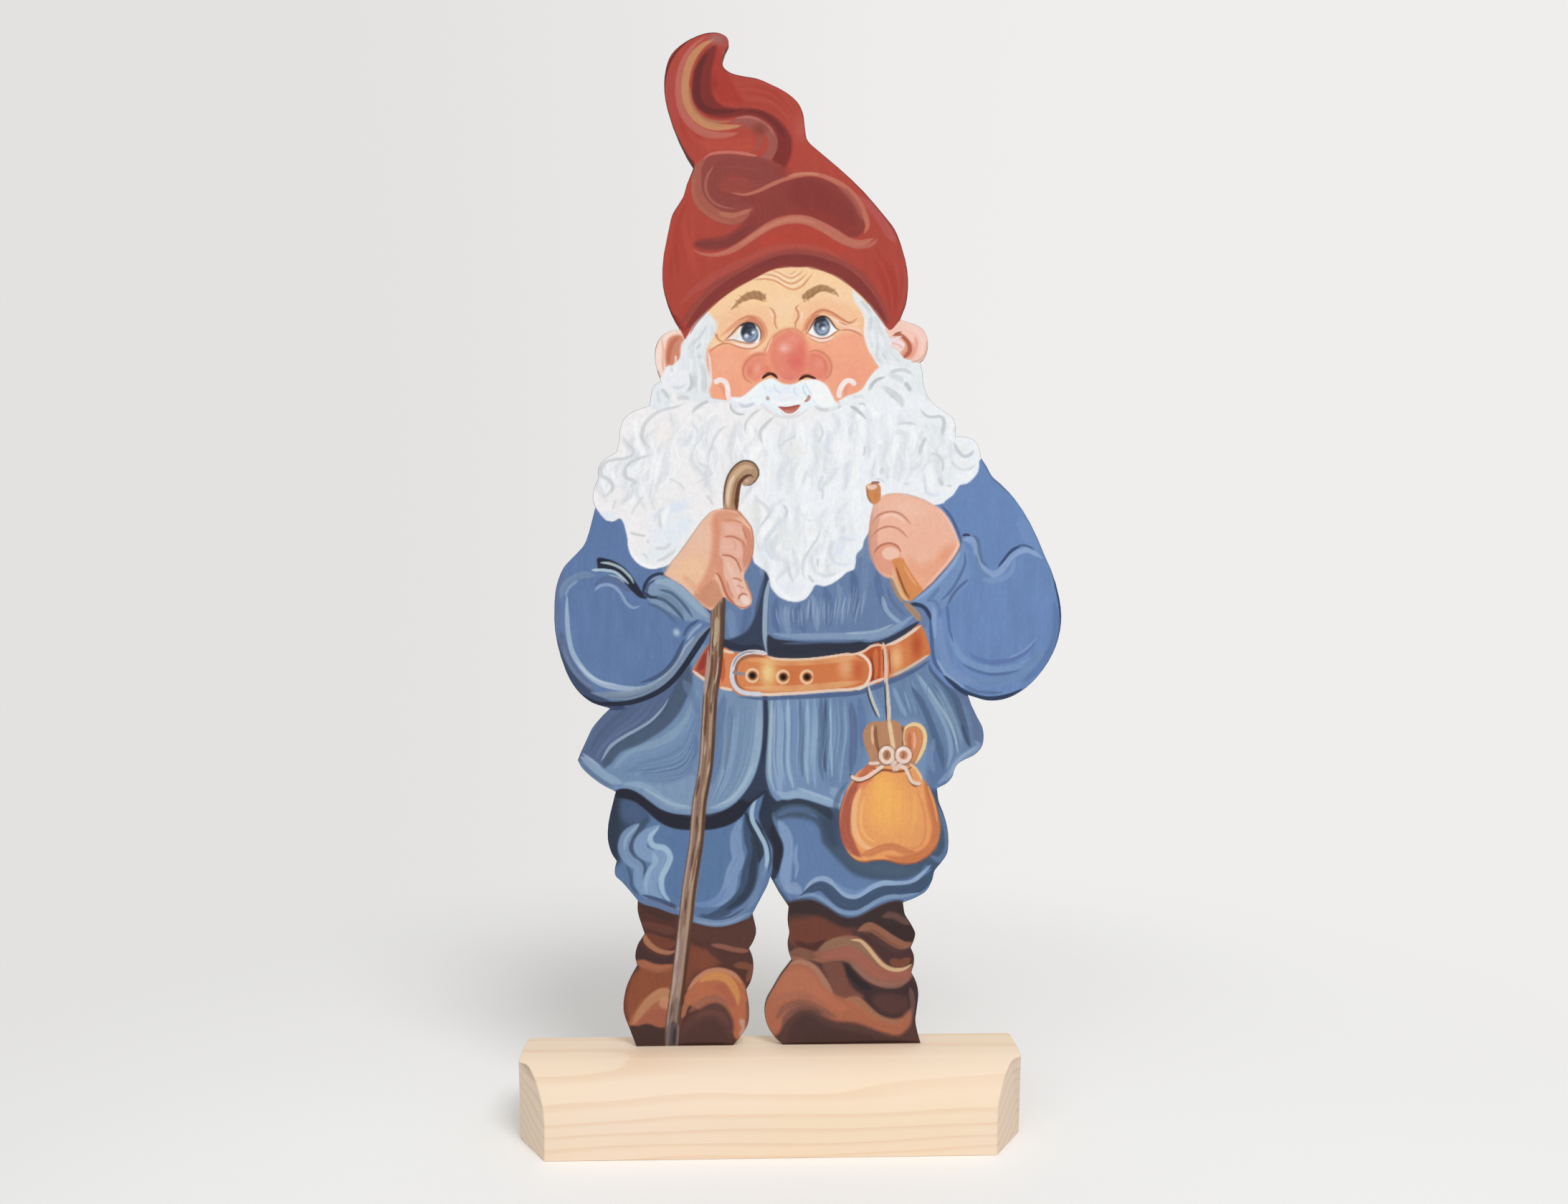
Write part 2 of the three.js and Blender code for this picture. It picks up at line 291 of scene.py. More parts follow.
shapes = {
    "chest": "-60,185! -60,330! 120,330! 120,185!",
    "skirt_left": (
        "-120,190! -84,190! -75,188 -66,190.5 -57,195 -50,200.5 -44,206! -43,200.5 -38,197 -32,194 "
        "-26,191.5! 1,190! 1,170! -1,150! -1,138! -10,140 -18,131 -25,126.5 -33,124.5 -42,124 -48,124 "
        "-54,125 -60,127.5 -66,132 -70,135 -75,137.6 -80,138 -83,137 -90,134! -120,134!"
    ),
    "skirt_right": (
        "-2.5,188! 0,195 60,199 86,211! 88,200 95,193 100,190 106,187.6 112,192! 130,192! 130,140! "
        "89.5,136.8! 84,139.5 60,128 40,126.4 36,126.6 30,128.5 24,130.5 18,132 12,132.5 6,131.6 3,131 0,134 "
        "-3,138! -5,148 -3,160 -3.5,170!"
    ),
    "trousers_left": (
        "-95,140! -83,137! -80,138 -75,137.6 -70,135 -66,132 -60,127.5 -54,125 -48,124 -42,124 -33,124.5 "
        "-25,126.5 -18,131 -10,140 2,139! 4,86! -5,65! -10,70.3! -12,68 -16,66.5 -22,64.5 -28,63.5 -34,64 "
        "-40,65.5 -45,67.5 -50,70 -54,72 -60,74.5 -66,76.5 -71.3,78.1! -95,80!"
    ),
    "trousers_right": (
        "-3,138! 0,134 3,131 6,131.6 12,132.5 18,132 24,130.5 30,128.5 36,126.6 40,126.4 60,128 84,139.5 "
        "89.5,136.8! 105,130! 105,80! 71.1,75.9! 68,76.5 63,76 58,74 53,71 48,69 43,67.8 39,68 35,69.5 "
        "31,72.5 27,75.5 22,77.5 17,77 13,75 10,73! -0.4,86! -0.5,98 -1,105 -3,112 -5,120 -4,128 -2,135"
    ),
    "boot_left": (
        "-90,80! -71.3,78.1! -66,76.5 -60,74.5 -54,72 -50,70 -45,67.5 -40,65.5 -34,64 -28,63.5 -22,64.5 "
        "-16,66.5 -12,68 -10,70.3! -5,65! -5,-5! -90,-5!"
    ),
    "boot_right": (
        "-5,72! 10,73! 13,75 17,77 22,77.5 27,75.5 31,72.5 35,69.5 39,68 43,67.8 48,69 53,71 58,74 63,76 "
        "68,76.5 71.1,75.9! 90,78! 90,-5! -5,-5!"
    ),
    "sleeve_left": (
        "-125,182! -86,181 -82,182.5 -72,184.5 -64,187 -57,191 -51,197 -46,204 -42,211 -37,219 -33,225.5 "
        "-31,230 -32,234.5 -36,235.5 -40,239.5 -44,243.5 -48,247 -53,250 -57.5,252.5! -59,257 -64,268! "
        "-92,300! -125,290!"
    ),
    "sleeve_right": (
        "84,180! 84,222 85,228 83,233 79,237 75,238.8! 76.5,239.5 82,244 87,248.5 92,254 96,262 97,268 "
        "94,278 88,286! 82,300! 113,320! 170,310! 170,170! 114,176! 110,185.4 106,187 100,190 95,193 88,200 "
        "85,206!"
    ),
    "beard_left": (
        "-60,362 -68,356! -72,344! -110,335! -110,290! -94,288.5! -91,284.5 -88,281.5 -84,281 -81,282.5 "
        "-79,280 -78,276.5 -77,272 -76.5,267 -74.5,262 -70,257.5 -64,255.5 -58,256.5 -54,258! -20,250! "
        "-12,262! -10,262 -9,259 -6,256.5 -3,254.5 -1,251 0,246 4,241 9.1,238.5! 9.1,395! -44,395! -48,385 "
        "-56,381.5!"
    ),
    "beard_right": (
        "9.1,238.5! 14,238 18,239.2 20,241 22,244 24,247 29,246.5 34,248.5 38,251.5 41,254 44.5,255.5 "
        "45.5,259 46,263.5 49,267 50,271! 58,285! 90,290.5 94,292.5 98,295.5 100.5,299 102,301 106,302 "
        "109.5,305 112,309 112.5,314 114,316! 125,330! 84,366! 79,367 72,370 67,375 64,380 63.4,382! 68,391! "
        "60,401! 9.1,420!"
    ),
    "stick_shaft": (
        "-25,250! -25,241 -25.2,230 -25.6,220 -26.2,210 -27.3,200 -28.6,190 -29.6,180 -30.2,170 -30.9,160 "
        "-31.6,150 -33,140 -34.4,130 -35.4,120 -36,110 -37.8,100 -39,90 -40.3,80 -41.6,70 -43,60 -44.6,50 "
        "-46,40 -47.2,30 -48.6,20 -49.8,10 -50,-2! -56,-2! -55.7,10 -54.5,20 -53,30 -52,40 -51,50 -50,60 "
        "-49,70 -48,80 -46.6,90 -45,100 -43.8,110 -43,120 -42,130 -40.2,140 -38.3,150 -37.6,160 -37,170 "
        "-36.4,180 -35.5,190 -34.2,200 -33,210 -32.3,220 -32,232 -30,250!"
    ),
    "hand_left": (
        "-24,287.5 -31,287 -36,282.5 -40,277 -44,271.5 -48,266 -52,260.5 -57.5,252.5! -53,250 -48,247 "
        "-44,243.5 -40,239.5 -36,235.5 -32,233.5 -29.5,236.5 -26,240.5 -23,239 -19,236.5 -16,234.2 -12.5,235 "
        "-10.3,238 -11,242 -13,246.5 -14.6,251.5 -13.5,254.5 -11.6,258 -10.5,263 -9.5,269 -9.6,274.5 "
        "-10.6,278 -12.8,280.6 -15,284 -18,287"
    ),
    "hand_right": (
        "59,294.4 62,295.6 68,296 74,295 80,293.5 86,291 91,288.5 95,284 98.5,278 101,271 102,268.5 100,264 "
        "96,258.5 92,254 87,248.5 82,244 76.5,239.5 74,238.5! 71,240 68,245 65.5,250.5! 61,251.5 57.5,255 "
        "55,261 53.6,268 53.2,276 54,284 55.5,290"
    ),
    "belt": (
        "-42.5,200.6! -40,205 -36,211.5 -33.5,215.2! -30,215 -26,212.5 -20,211 -16.5,210.3 -12,211.2 -6,211 "
        "-2,209.3 2,208 8,207.4 16,207.4 24,208 32,209 40,210.2 45,210.2 50,212 54,214.6 58,215.4 62,215 "
        "68,217.5 74,221.4 79,225.4 81,225.6! 83.3,221 85.5,214 86,210.5 85,208.6 80,205 74,201.5 68,198.3 "
        "62,196.3 56,194.2 52,193 49,191 44,190.2 30,189.6 15,188.3 0,187.6 -10,187.4 -17,188 -21,190.6 "
        "-26,191.5 -32,194 -38,197"
    ),
    "stick_hook": (
        "-24.8,286.6! -25,293 -24.5,300 -23,306 -20,310 -16.5,313 -13,314 -9.5,312.8 -7.2,310 -6.6,306.8 "
        "-8,303.4 -11,300.8 -14.4,300.2 -15.6,301.6! -16.4,298 -17,293 -17.6,287!"
    ),
    "pouch": (
        "52,150! 47,146.5 44,142.5 41,137 38.5,131 37,124 37,117 38.5,110 41,104 45,99.5 50,97.7 56,98.6 "
        "62,98.6 68,97 74,96.5 80,98 86,102 89.5,108 90.5,115 89.5,122 87,130 84,138 80.5,145 77.5,150! "
        "80,153 83,159 84,165 82.5,170 79,172.6 75,172.6 71.5,171! 68,173.4 64,174.6 60,173.5 55,173.6 "
        "51,170.8 49.4,166 50.5,160 53,154"
    ),
    "face": (
        "-35,348! -35,430! 62,430! 52,397! 60,364! 57,352! 44,347! 33,343! 23,343.6! 15.6,338.8! 10,337! "
        "4.6,338.6! -3,344! -15,345! -26,346.4!"
    ),
    "ear_left": (
        "-70,358! -61,357.4 -58.6,358.6 -57,362 -53.6,364.6 -50,367 -48.4,372 -47.4,377 -46.2,380.4! "
        "-46.4,386! -70,392!"
    ),
    "ear_right": (
        "61,385! 64,380 67,375 72,370 79,367 84,366! 95,366! 95,392! 69.6,390! 67,386.8 64.5,384.8 62.5,385!"
    ),
    "cap": (
        "-46,378.6! -44,382 -40,388.5 -35,394 -30,398.8 -25,403.6 -20,407.4 -15,410.8 -10,413.5 -5,415.9 "
        "0,417.6 5,418.2 10,418.4 20,418.2 25,417.7 30,416.2 35,414 40,410.9 45,407.2 50,402.8 55,396.9 "
        "60,389.4 62,386 64.2,384.4 67,386.8 69.6,390! 85,390! 85,560! -70,560! -70,384! -48.8,384!"
    ),
}


trouserPaint = {
    "cloth": (92, 120, 166),
    "light": (130, 157, 201),
    "pale": (160, 188, 222),
    "dusk": (78, 98, 138),
    "shade": (66, 84, 112),
    "deep": (46, 56, 74),
    "black": (40, 42, 54),
}


def paintTrousers(c):
    t = trouserPaint
    c.fill(shapes["trousers_left"], t["cloth"])
    c.fill(shapes["trousers_right"], t["cloth"])
    # left leg, outer folds
    c.fill("-84,134 -74,133 -68,128 -65,121 -70,118 -76,114 -80,108 -81,101 -83,98 -92,100 -92,134",
        (60, 78, 108), 2.0)
    c.fill("-92,136 -80,133 -79,122 -80,110 -79,102 -92,96", t["deep"], 4.0, 0.85)
    c.fill("-80,132 -72,131 -66,124 -72,119 -80,122", t["dusk"], 2.5, 0.8)
    c.line("-66,121 -73,114 -76,107 -74,101 -69,97 -67,85 -66,80", (6.3, 2.4), t["shade"], 1.6, 0.95)
    c.line("-71,119 -77,113 -79,106 -76,100 -71,96 -71,89 -69,83 -66,79", (6.6, 4.6), t["light"], 1.4, 0.85)
    c.line("-70.5,119 -77,112 -78.6,105", 1.4, (150, 176, 214), 0.7, 0.8)
    c.line("-77,97 -75,91 -74.5,86 -71,81", 1.7, t["shade"], 1.0, 0.7)
    c.line("-60,118 -67,113 -70,108 -68,103.5 -62,101.5 -58,104 -60,96 -64,90 -65,84 -61,78 -55,75",
        (7.3, 6.8, 10.5), t["light"], 1.5, 0.95)
    c.line("-60,117.5 -64.5,112 -63,107.5 -57,106 -54,101.5 -55.5,96.5 -58.5,90 -58,83 -54,77", 3.1,
        t["pale"], 1.0, 0.95)
    c.line("-63,103.5 -62,99 -65,94 -67,87 -66.5,82", (3.4, 1.8), t["pale"], 1.3, 0.55)
    c.fill("-56,112 -52,105 -52,97 -56,89 -56,82 -51,78 -46,80 -44,96 -43,114", (90, 118, 168), 1.5, 0.9)
    # left leg, inner folds
    c.fill("-36,115 -37,98 -41,80 -36,74 -28,76 -22,84 -19,92 -21,104 -20,113 -24,117", (90, 119, 166), 2.0,
        0.9)
    c.line("-16,122 -18.6,114 -18.6,106 -17.6,99.5 -20.6,93 -22,86 -25,79.5 -33,75", (5.6, 8.2),
        (124, 150, 196), 1.5, 0.95)
    c.line("-12.8,126 -12.6,118 -10.8,110 -9,103.6 -10.6,96 -12,88 -13.4,83.4 -17,78.6 -23,74 -30,70.6 "
        "-39,68.4", (5.2, 8.8, 2.1), (62, 80, 110), 1.4, 0.97)
    c.line("-10.4,112 -8.2,104.6 -9.4,97 -10.4,89 -13,82.4 -17.6,77 -24,73", 3.7, t["deep"], 1.8, 0.75)
    c.line("-5,103 -4.6,97 -5.6,88 -8,80.6 -12.6,74.6 -18.6,70.4 -27,68", (1.6, 4.6, 3.4), (104, 128, 170),
        1.2, 0.95)
    c.line("-66,78.5 -58,76 -50,72.5 -42,68.6 -34,66 -28,65.4 -19,67 -11,71", 3.6, (116, 142, 184), 1.2, 0.9)
    c.line("-38,70.5 -31,68.7 -26,69.6 -21,71.5", 1.5, t["shade"], 0.8, 0.9)
    c.line("-9,121 -5.5,113 -2,106 -0.5,98 -1.5,92", (5.1, 1), t["deep"], 0.9, 0.95)
    c.line("-14,125 -11,119 -7.5,111 -5.5,104 -6.5,98", 3.6, t["deep"], 1.0, 0.9)
    c.line("-7.5,134 -10,127 -10,121 -6.5,114 -3,107 -2,100 -3,94 -4,90", 2.4, t["pale"], 0.7)
    c.line("-3,96 -4.5,88 -8,80 -12,74", 3, (112, 138, 180), 1.0, 0.9)
    # right leg
    c.fill("4,122 10,123 22,121 26,113 30,108 33,101 38,95 44,90 50,87 56,85 60,88 90,86 90,70 0,70 0,100 "
        "2,116", (94, 121, 170), 1.8, 0.9)
    c.line("4,121 7,115 9,108 8,94 8,87 11,82", 6.1, (126, 152, 198), 1.5, 0.9)
    c.line("14,108 13,101 14,95 13,89", (1.8, 2.5, 1.4), (130, 156, 200), 0.9, 0.7)
    c.line("7,84 12,84 17,81", (5.1, 6.7, 2.7), (128, 152, 196), 1.5, 0.9)
    c.fill("3,131.5 12,133 24,131 36,127 60,130 84,141 100,138 100,100 92,96 88,92 84,96 80,92 72,88.5 "
        "60,88 50,89.5 43,92.5 38,97 32,103.5 27.5,109 26,116 21,120.5 10,122 3,121 0,126", t["shade"], 1.6,
        0.97)
    c.fill("29,126 40,126 38,112 42,100 52,93 66,90 80,92 70,96 50,99 40,108 36,120", (74, 92, 120), 2.5, 0.7)
    c.fill("27,122 36,124 37,108 31,108", t["deep"], 3.0, 0.45)
    c.line("1,125 6,130 14,131 22,129.5 29,126 34,121", (4.4, 3, 7), t["deep"], 1.4, 0.85)
    c.line("3,123 10,126 18,126 25,122", 2.9, (84, 106, 148), 1.2, 0.75)
    c.line("17,81 21,86.5 26,89 31,88 35,84 40,80 45,79 50,81.5 55,84.5 61,86.5 68,86 75,86.6 81,91 86,96", 3,
        (140, 166, 208), 0.9, 0.97)
    c.line("34,87 40,83 46,81.6 52,84", (1.7, 2.7, 1.6), (112, 140, 192), 1.2, 0.8)
    c.line("16,80 27,85 37,77 43,75 49,76 60,82 76,83 84,88 89,94", (6.2, 6.4, 5.1, 8.8), (62, 80, 112), 0.9,
        0.97)
    c.line("86,101 91,99 95,104 95,112 93,120 90,128", (4.5, 2.1), (96, 120, 164), 1.2, 0.75)
    c.line("14,78.5 19,80.4 24,80 30,76.5 35,72.6 40,70.6 46,70.6 52,73.6 58,77 64,79 71,79.4 80,81", 2.5,
        (120, 146, 188), 0.8, 0.95)
    c.line("11,76.5 17,78.5 23,78.6 29,75 34,71 40,69 46,69 52,71.4 58,75 65,77.3 71,77", (1.5, 1.2),
        (88, 112, 152), 0.7, 0.8)
    c.line("0,90 3,84 7,79 10.5,75", 2.9, t["shade"], 1.2, 0.85)
    for leg in ("trousers_left", "trousers_right"):
        c.wash(shapes[leg], (1.03, 1.02, 0.97))
    # the dark hollow between the legs and under the coat
    c.fill("-3,138! -5,130 -6.5,122 -3,113 0.6,106 1,98 -0.4,88! 3,90 5,97 6.6,103 6.4,108 3.6,114 1.6,119 "
        "0.6,124 3,129 6,131.6!", t["deep"], 0.8)
    c.fill("1,118 4,112 6,106 5.6,99 3.4,93 1,97 1.4,106 -1,113", t["black"], 1.2, 0.9)
    c.fill("-83.4,137.4 -80,138.4 -75,138 -70,135.6 -66,132.4 -60,128 -54,125.4 -48,124.4 -40,124.4 -33,125 "
        "-25,127 -18,131.4 -12,138 -8,144 -2,144 -3,136 -10,130 -16,122.5 -22,118.5 -29,116.4 -36,115.6 "
        "-44,115.6 -52,116.6 -58,119 -63,122.6 -68,127.4 -73,131 -78,132.6 -83,133.4", t["black"], 0.6)
    c.line("-14,131 -4,140", (4, 7.2), (58, 68, 90), 2.0, 0.7)


bootPaint = {
    "dark": (84, 52, 46),
    "night": (60, 44, 42),
    "cream": (216, 180, 136),
}


def paintBoots(c):
    b = bootPaint
    # left boot
    c.fill(shapes["boot_left"], b["dark"])
    c.fill("-75,50 -70,40 -79,30 -80,20 -76,8 -50,8 -50,45 -60,46", (138, 80, 56), 1.5)
    c.line("-71,77 -50,69.5", (5.9, 10.3), (74, 50, 46), 2.0, 0.9)
    c.line("-70,66 -51,61", (3.3, 5.4), (108, 66, 58), 2.0, 0.8)
    c.line("-69,59 -57,55 -51,55", 5.9, (120, 68, 52), 1.4, 0.9)
    c.line("-68,60 -66,55.5 -61,51.6 -55,50 -51,51", (3.6, 2.1), (174, 118, 88), 1.0, 0.95)
    c.fill("-73,56 -69,53 -64,49.6 -58,47.6 -51,49 -50,44.4 -56,43.6 -63,44.4 -68,46.4 -73,47", (72, 50, 48),
        0.9)
    c.line("-72,45.5 -62,41.6 -55,41.6 -51,43", 4.6, (168, 106, 78), 1.2, 0.9)
    c.fill("-71,41 -60,39.5 -51,41 -52,28 -58,29.5 -66,27 -72,21 -76,14 -79,18 -79,30", (140, 80, 56), 1.6,
        0.9)
    c.line("-75,36 -78,28 -78,18 -74.5,8", 2.9, (112, 62, 48), 1.5, 0.7)
    c.fill("-54,30 -60,30 -67,26 -72,20 -76,12.4 -72,9.4 -66,11.4 -54.5,9.4", (168, 102, 76), 1.2)
    c.line("-53,29 -59,28 -65,24 -70,18 -74,11.5", (6.9, 2.7), (184, 132, 98), 1.4, 0.9)
    c.line("-54,25 -57.5,23.4 -56,19.5", 4.6, (196, 146, 108), 1.6, 0.8)
    c.fill("-56,19.5 -63,19.5 -69,14.5 -71,11 -64,12 -55,9.6", (160, 94, 74), 1.6, 0.9)
    c.fill("-76,10 -71,11 -66,12 -60,10 -54,9 -54,-2 -76,-2", (72, 52, 48), 0.8)
    # the trouser hem over it
    c.line("-71,78 -62,76 -55,73.4 -48,70.6", 3.2, (104, 128, 170), 0.8, 0.95)
    c.line("-69,81 -60,78.4 -50,74.6", 1.9, (66, 82, 114), 0.8, 0.9)
    # left boot, the half right of the stick
    c.fill("-50,69 -45,66.6 -38,64.4 -29,63 -20,64.2 -10,68 -8,60 -12,51 -30,52 -44,58 -50,58", (90, 58, 52),
        1.6)
    c.fill("-46,56 -38,52 -30,52 -26,46 -30,42 -40,38 -47,30 -47,48", (122, 70, 54), 2.2, 0.95)
    c.fill("-41,53 -34,50 -31,45 -36,41 -42,44", (130, 74, 54), 2.0, 0.7)
    c.line("-35,56 -29,50 -24,46.5 -16,46 -11,48", 5.5, (84, 54, 50), 1.6, 0.9)
    c.line("-32,54 -26,53 -20,51.4 -14,50.6 -11.5,51", 2.7, (150, 98, 82), 1.1, 0.85)
    c.line("-20,43 -13,42.5 -10.5,40 -13,34", 3.7, (132, 82, 62), 1.6, 0.85)
    c.fill("-46.5,24 -44,31 -40,36.5 -34,40.6 -27,41.6 -20,39 -15,34 -12.4,27 -11.6,18 -13,9 -18,3 -22,8 "
        "-30,14 -40,20", (178, 106, 76), 1.0)
    c.line("-44.5,30 -40,35.6 -34,39.6 -27,40.4 -20,38 -15.6,33", 2.5, (192, 136, 104), 1.0, 0.9)
    c.line("-38,34.5 -33,37 -27,37 -22,34 -19,28 -17.5,22", 4.5, (204, 140, 84), 1.6, 0.95)
    c.line("-30,31 -26,31 -22,26 -20,20", 4.6, (172, 96, 76), 1.6, 0.8)
    c.fill("-48,9 -44.5,14.5 -38,20 -31,23 -25.6,21.6 -22,17 -20,11 -21,5 -24,0 -50,0", (92, 62, 56), 1.4)
    c.line("-44,18 -37,23.4 -31,25.6 -26,24 -22.6,20", 3.4, (146, 100, 82), 1.6, 0.7)
    c.line("-47.6,15 -46.4,20 -43.6,25", 3.2, (174, 112, 84), 1.0, 0.9)
    c.line("-41,14.5 -34,17.8 -27,16.4 -22.6,11", 3.2, (108, 70, 62), 1.6, 0.75)
    c.fill("-46,7 -40,12 -33,14.2 -27.6,12 -24,6 -24,0 -48,0", (82, 56, 52), 1.8, 0.85)
    # a painted glint of light on the toe's right edge
    c.line("-16.6,14 -14,9.5 -16.4,4", 3.6, (204, 168, 156), 2.2, 0.7)
    c.line("-13,24 -12.4,16 -14,9", 1.8, (128, 78, 62), 0.9, 0.7)
    c.line("-24,84 -28,79 -34,76 -42,75.6", (4.6, 2.6), (114, 141, 186), 1.2, 0.85)
    c.line("-41,69.8 -30,67.9 -22,69 -14,73.4", 1.2, (70, 88, 122), 0.6, 0.8)
    c.line("-41,66.8 -30,65.2 -21,66.4 -12,71", 1.0, (146, 164, 190), 0.5, 0.7)
    # a painted shadow line along the foot of the boot, where the sole meets the block
    c.line("-50,0.8 -36,0.8 -21,0.8", 1.5, (50, 28, 20), 0.8, 0.8)
    # right boot
    c.fill(shapes["boot_right"], (84, 58, 54))
    c.fill("8,76 20,78 30,74 38,69 46,68 56,73 70,77 74,68 78,60 72,54 60,58 46,63 34,63 20,70 9,70",
        (62, 48, 47), 1.4)
    c.fill("10,66 18,68 26,69 32,66 40,62 44,60 36,56 26,52 16,52 9,56", (116, 66, 52), 2.0, 0.95)
    c.line("13,55.5 19,52.6 25,53.4 29,56", (2.7, 4.2, 2.9), (82, 48, 44), 1.5, 0.9)
    c.line("60,68.5 66,69 75,64", 3.7, (116, 82, 74), 1.8, 0.8)
    c.fill("58,66 64,63.5 70,64 77,62 77,56 72,53 66,55.5 60,59 56,62", b["night"], 1.2, 0.9)
    c.line("47,61 53,63 59,60 65,56 71,53 76,54", 5.1, (156, 104, 80), 1.2, 0.95)
    c.line("50,60 55,60.4 60,57 66,53 72,51.4", 2.2, (130, 84, 64), 1.0, 0.7)
    c.fill("48,58.6 53,57.4 58,53.6 64,50 70,48.6 76,51 77.4,46 75,41 70,40.6 64,42 58,46.6 53,52 49,56",
        (78, 52, 50), 0.9)
    c.line("64,44.6 70,43 75,45.6", 4.5, (132, 78, 58), 1.2, 0.9)
    c.fill("11,50 16,52 24,50 30,54.6 36,57.6 42,58.6 48,57 54,52 59,46 64,41.6 70,40 76,41.6 76,36 70,32 "
        "60,31 52,34 46,39.6 42,44 36,44.6 28,43.6 20,45.6 10,46", (152, 98, 78), 0.9)
    c.line("10,49 17,49 24,47", 4.4, (126, 86, 70), 1.8, 0.85)
    c.line("26,51 33,54 40,55 47,53 53,48 59,43 66,41", (6.5, 1.4), (148, 112, 86), 1.4, 0.9)
    c.line("28,47 36,49 44,49 50,44 55,40 62,37 70,37 75,38", 6, (164, 100, 82), 1.4, 0.95)
    c.line("43,56 48,55.5 52,52 56,47 60,42.6 65,40 71,40 76,42.6", 2.1, b["cream"], 0.6, 0.97)
    c.line("40,44.6 46,41 51,36.6 57,33 64,31 70,31.6 75,34", 3.2, (150, 108, 92), 1.0, 0.8)
    c.fill("39,43.4 42,43.4 45,39 50,34 57,30.4 64,29.4 70,30.4 76,34 80,30 80,24 79,10 72,14 66,13.6 "
        "60,14.6 54,18.6 50,24 45,29.6 41,36 39,41", (66, 48, 48), 0.9)
    c.line("40,42.6 43,38 48,32.6 54,29.4", (2.9, 3.9), (48, 40, 42), 1.0, 0.9)
    c.fill("56,26 62,27 69,26 74,24 73,18 66,15.6 60,17 55,21.6", (94, 62, 56), 2.0, 0.8)
    c.line("75,30 76.4,22 75.4,14", 2.7, (122, 88, 80), 1.2, 0.7)
    c.fill("28,43.4 36,44.4 39,42 40.6,36 44,30 50,25.6 44,24 38,24 33,29 30,36", (122, 78, 64), 1.3)
    # toe and sole of the right boot
    c.fill("12,45.6 18,45.4 24,42.4 28,37 32,30 36,26 41,24.6 47,25 52,21 57,16 64,13.4 70,14 75,18 76,12 "
        "72,6 66,4 54,8 44,11 34,12 28,14 20,14 10,14 4,6 0,6 -4,14 -3,24 2,33 7,40", (174, 106, 78), 1.6)
    c.line("9,42.4 14,44.6 20,43.4 25,39.4 29,33.4 33,27.6", (2.2, 3.6), (172, 124, 98), 1.0, 0.9)
    c.fill("7,38 14,41 21,39 26,33 30,27 27,23 20,25 12,26 4,23 2,29", (184, 115, 85), 2.6, 0.9)
    c.line("40,24 46,23.6 52,18.6 58,14 65,11.6 72,12.6", (4.6, 2.7), (166, 116, 86), 1.2, 0.85)
    c.line("30,27 34,23 40,20 46,17 58,10 71,9", (7.5, 5), (176, 106, 78), 1.6, 0.85)
    c.line("24,31 35,21 41,19", 5.8, (188, 112, 82), 1.8, 0.7)
    c.line("0,23 6,26 19,26.4 27,22.4", 4.2, (170, 104, 82), 1.8, 0.7)
    c.line("3,14 7,19.6 14,22.4 21,21.6 27,18.4 35,14.4", 3.6, (138, 90, 74), 1.8, 0.9)
    c.fill("5,3 7,10 10,15 14,18.6 20,19.6 25,18 29,14.6 36,11.6 46,10.6 54,7.6 62,4.6 70,3.6 76,7 82,0 "
        "82,-3 5,-3", (90, 62, 56), 2.4)
    c.line("6,11 9,16.4 15,19.8 21,19.2", 2.6, (122, 82, 72), 1.8, 0.8)
    c.fill("9,2 10,8.6 13,13 18,15.8 24,14.2 30,10.2 40,7.6 52,5 62,2.2 70,1 60,-2 10,-2", (78, 54, 50), 1.8,
        0.95)
    # a painted shadow line along the foot of the boot, where the sole meets the block
    c.line("8,0.7 30,0.5 60,0.8 80,0.6", (1.3, 1.8), (46, 26, 22), 0.8, 0.8)
    c.wash(shapes["boot_right"], (0.99, 0.995, 1.02))


skirtPaint = {
    "cloth": (112, 140, 186),
    "light": (136, 164, 204),
    "pale": (158, 184, 218),
    "mid": (98, 124, 172),
    "dusk": (86, 104, 148),
    "shade": (74, 92, 124),
    "deep": (54, 64, 86),
}


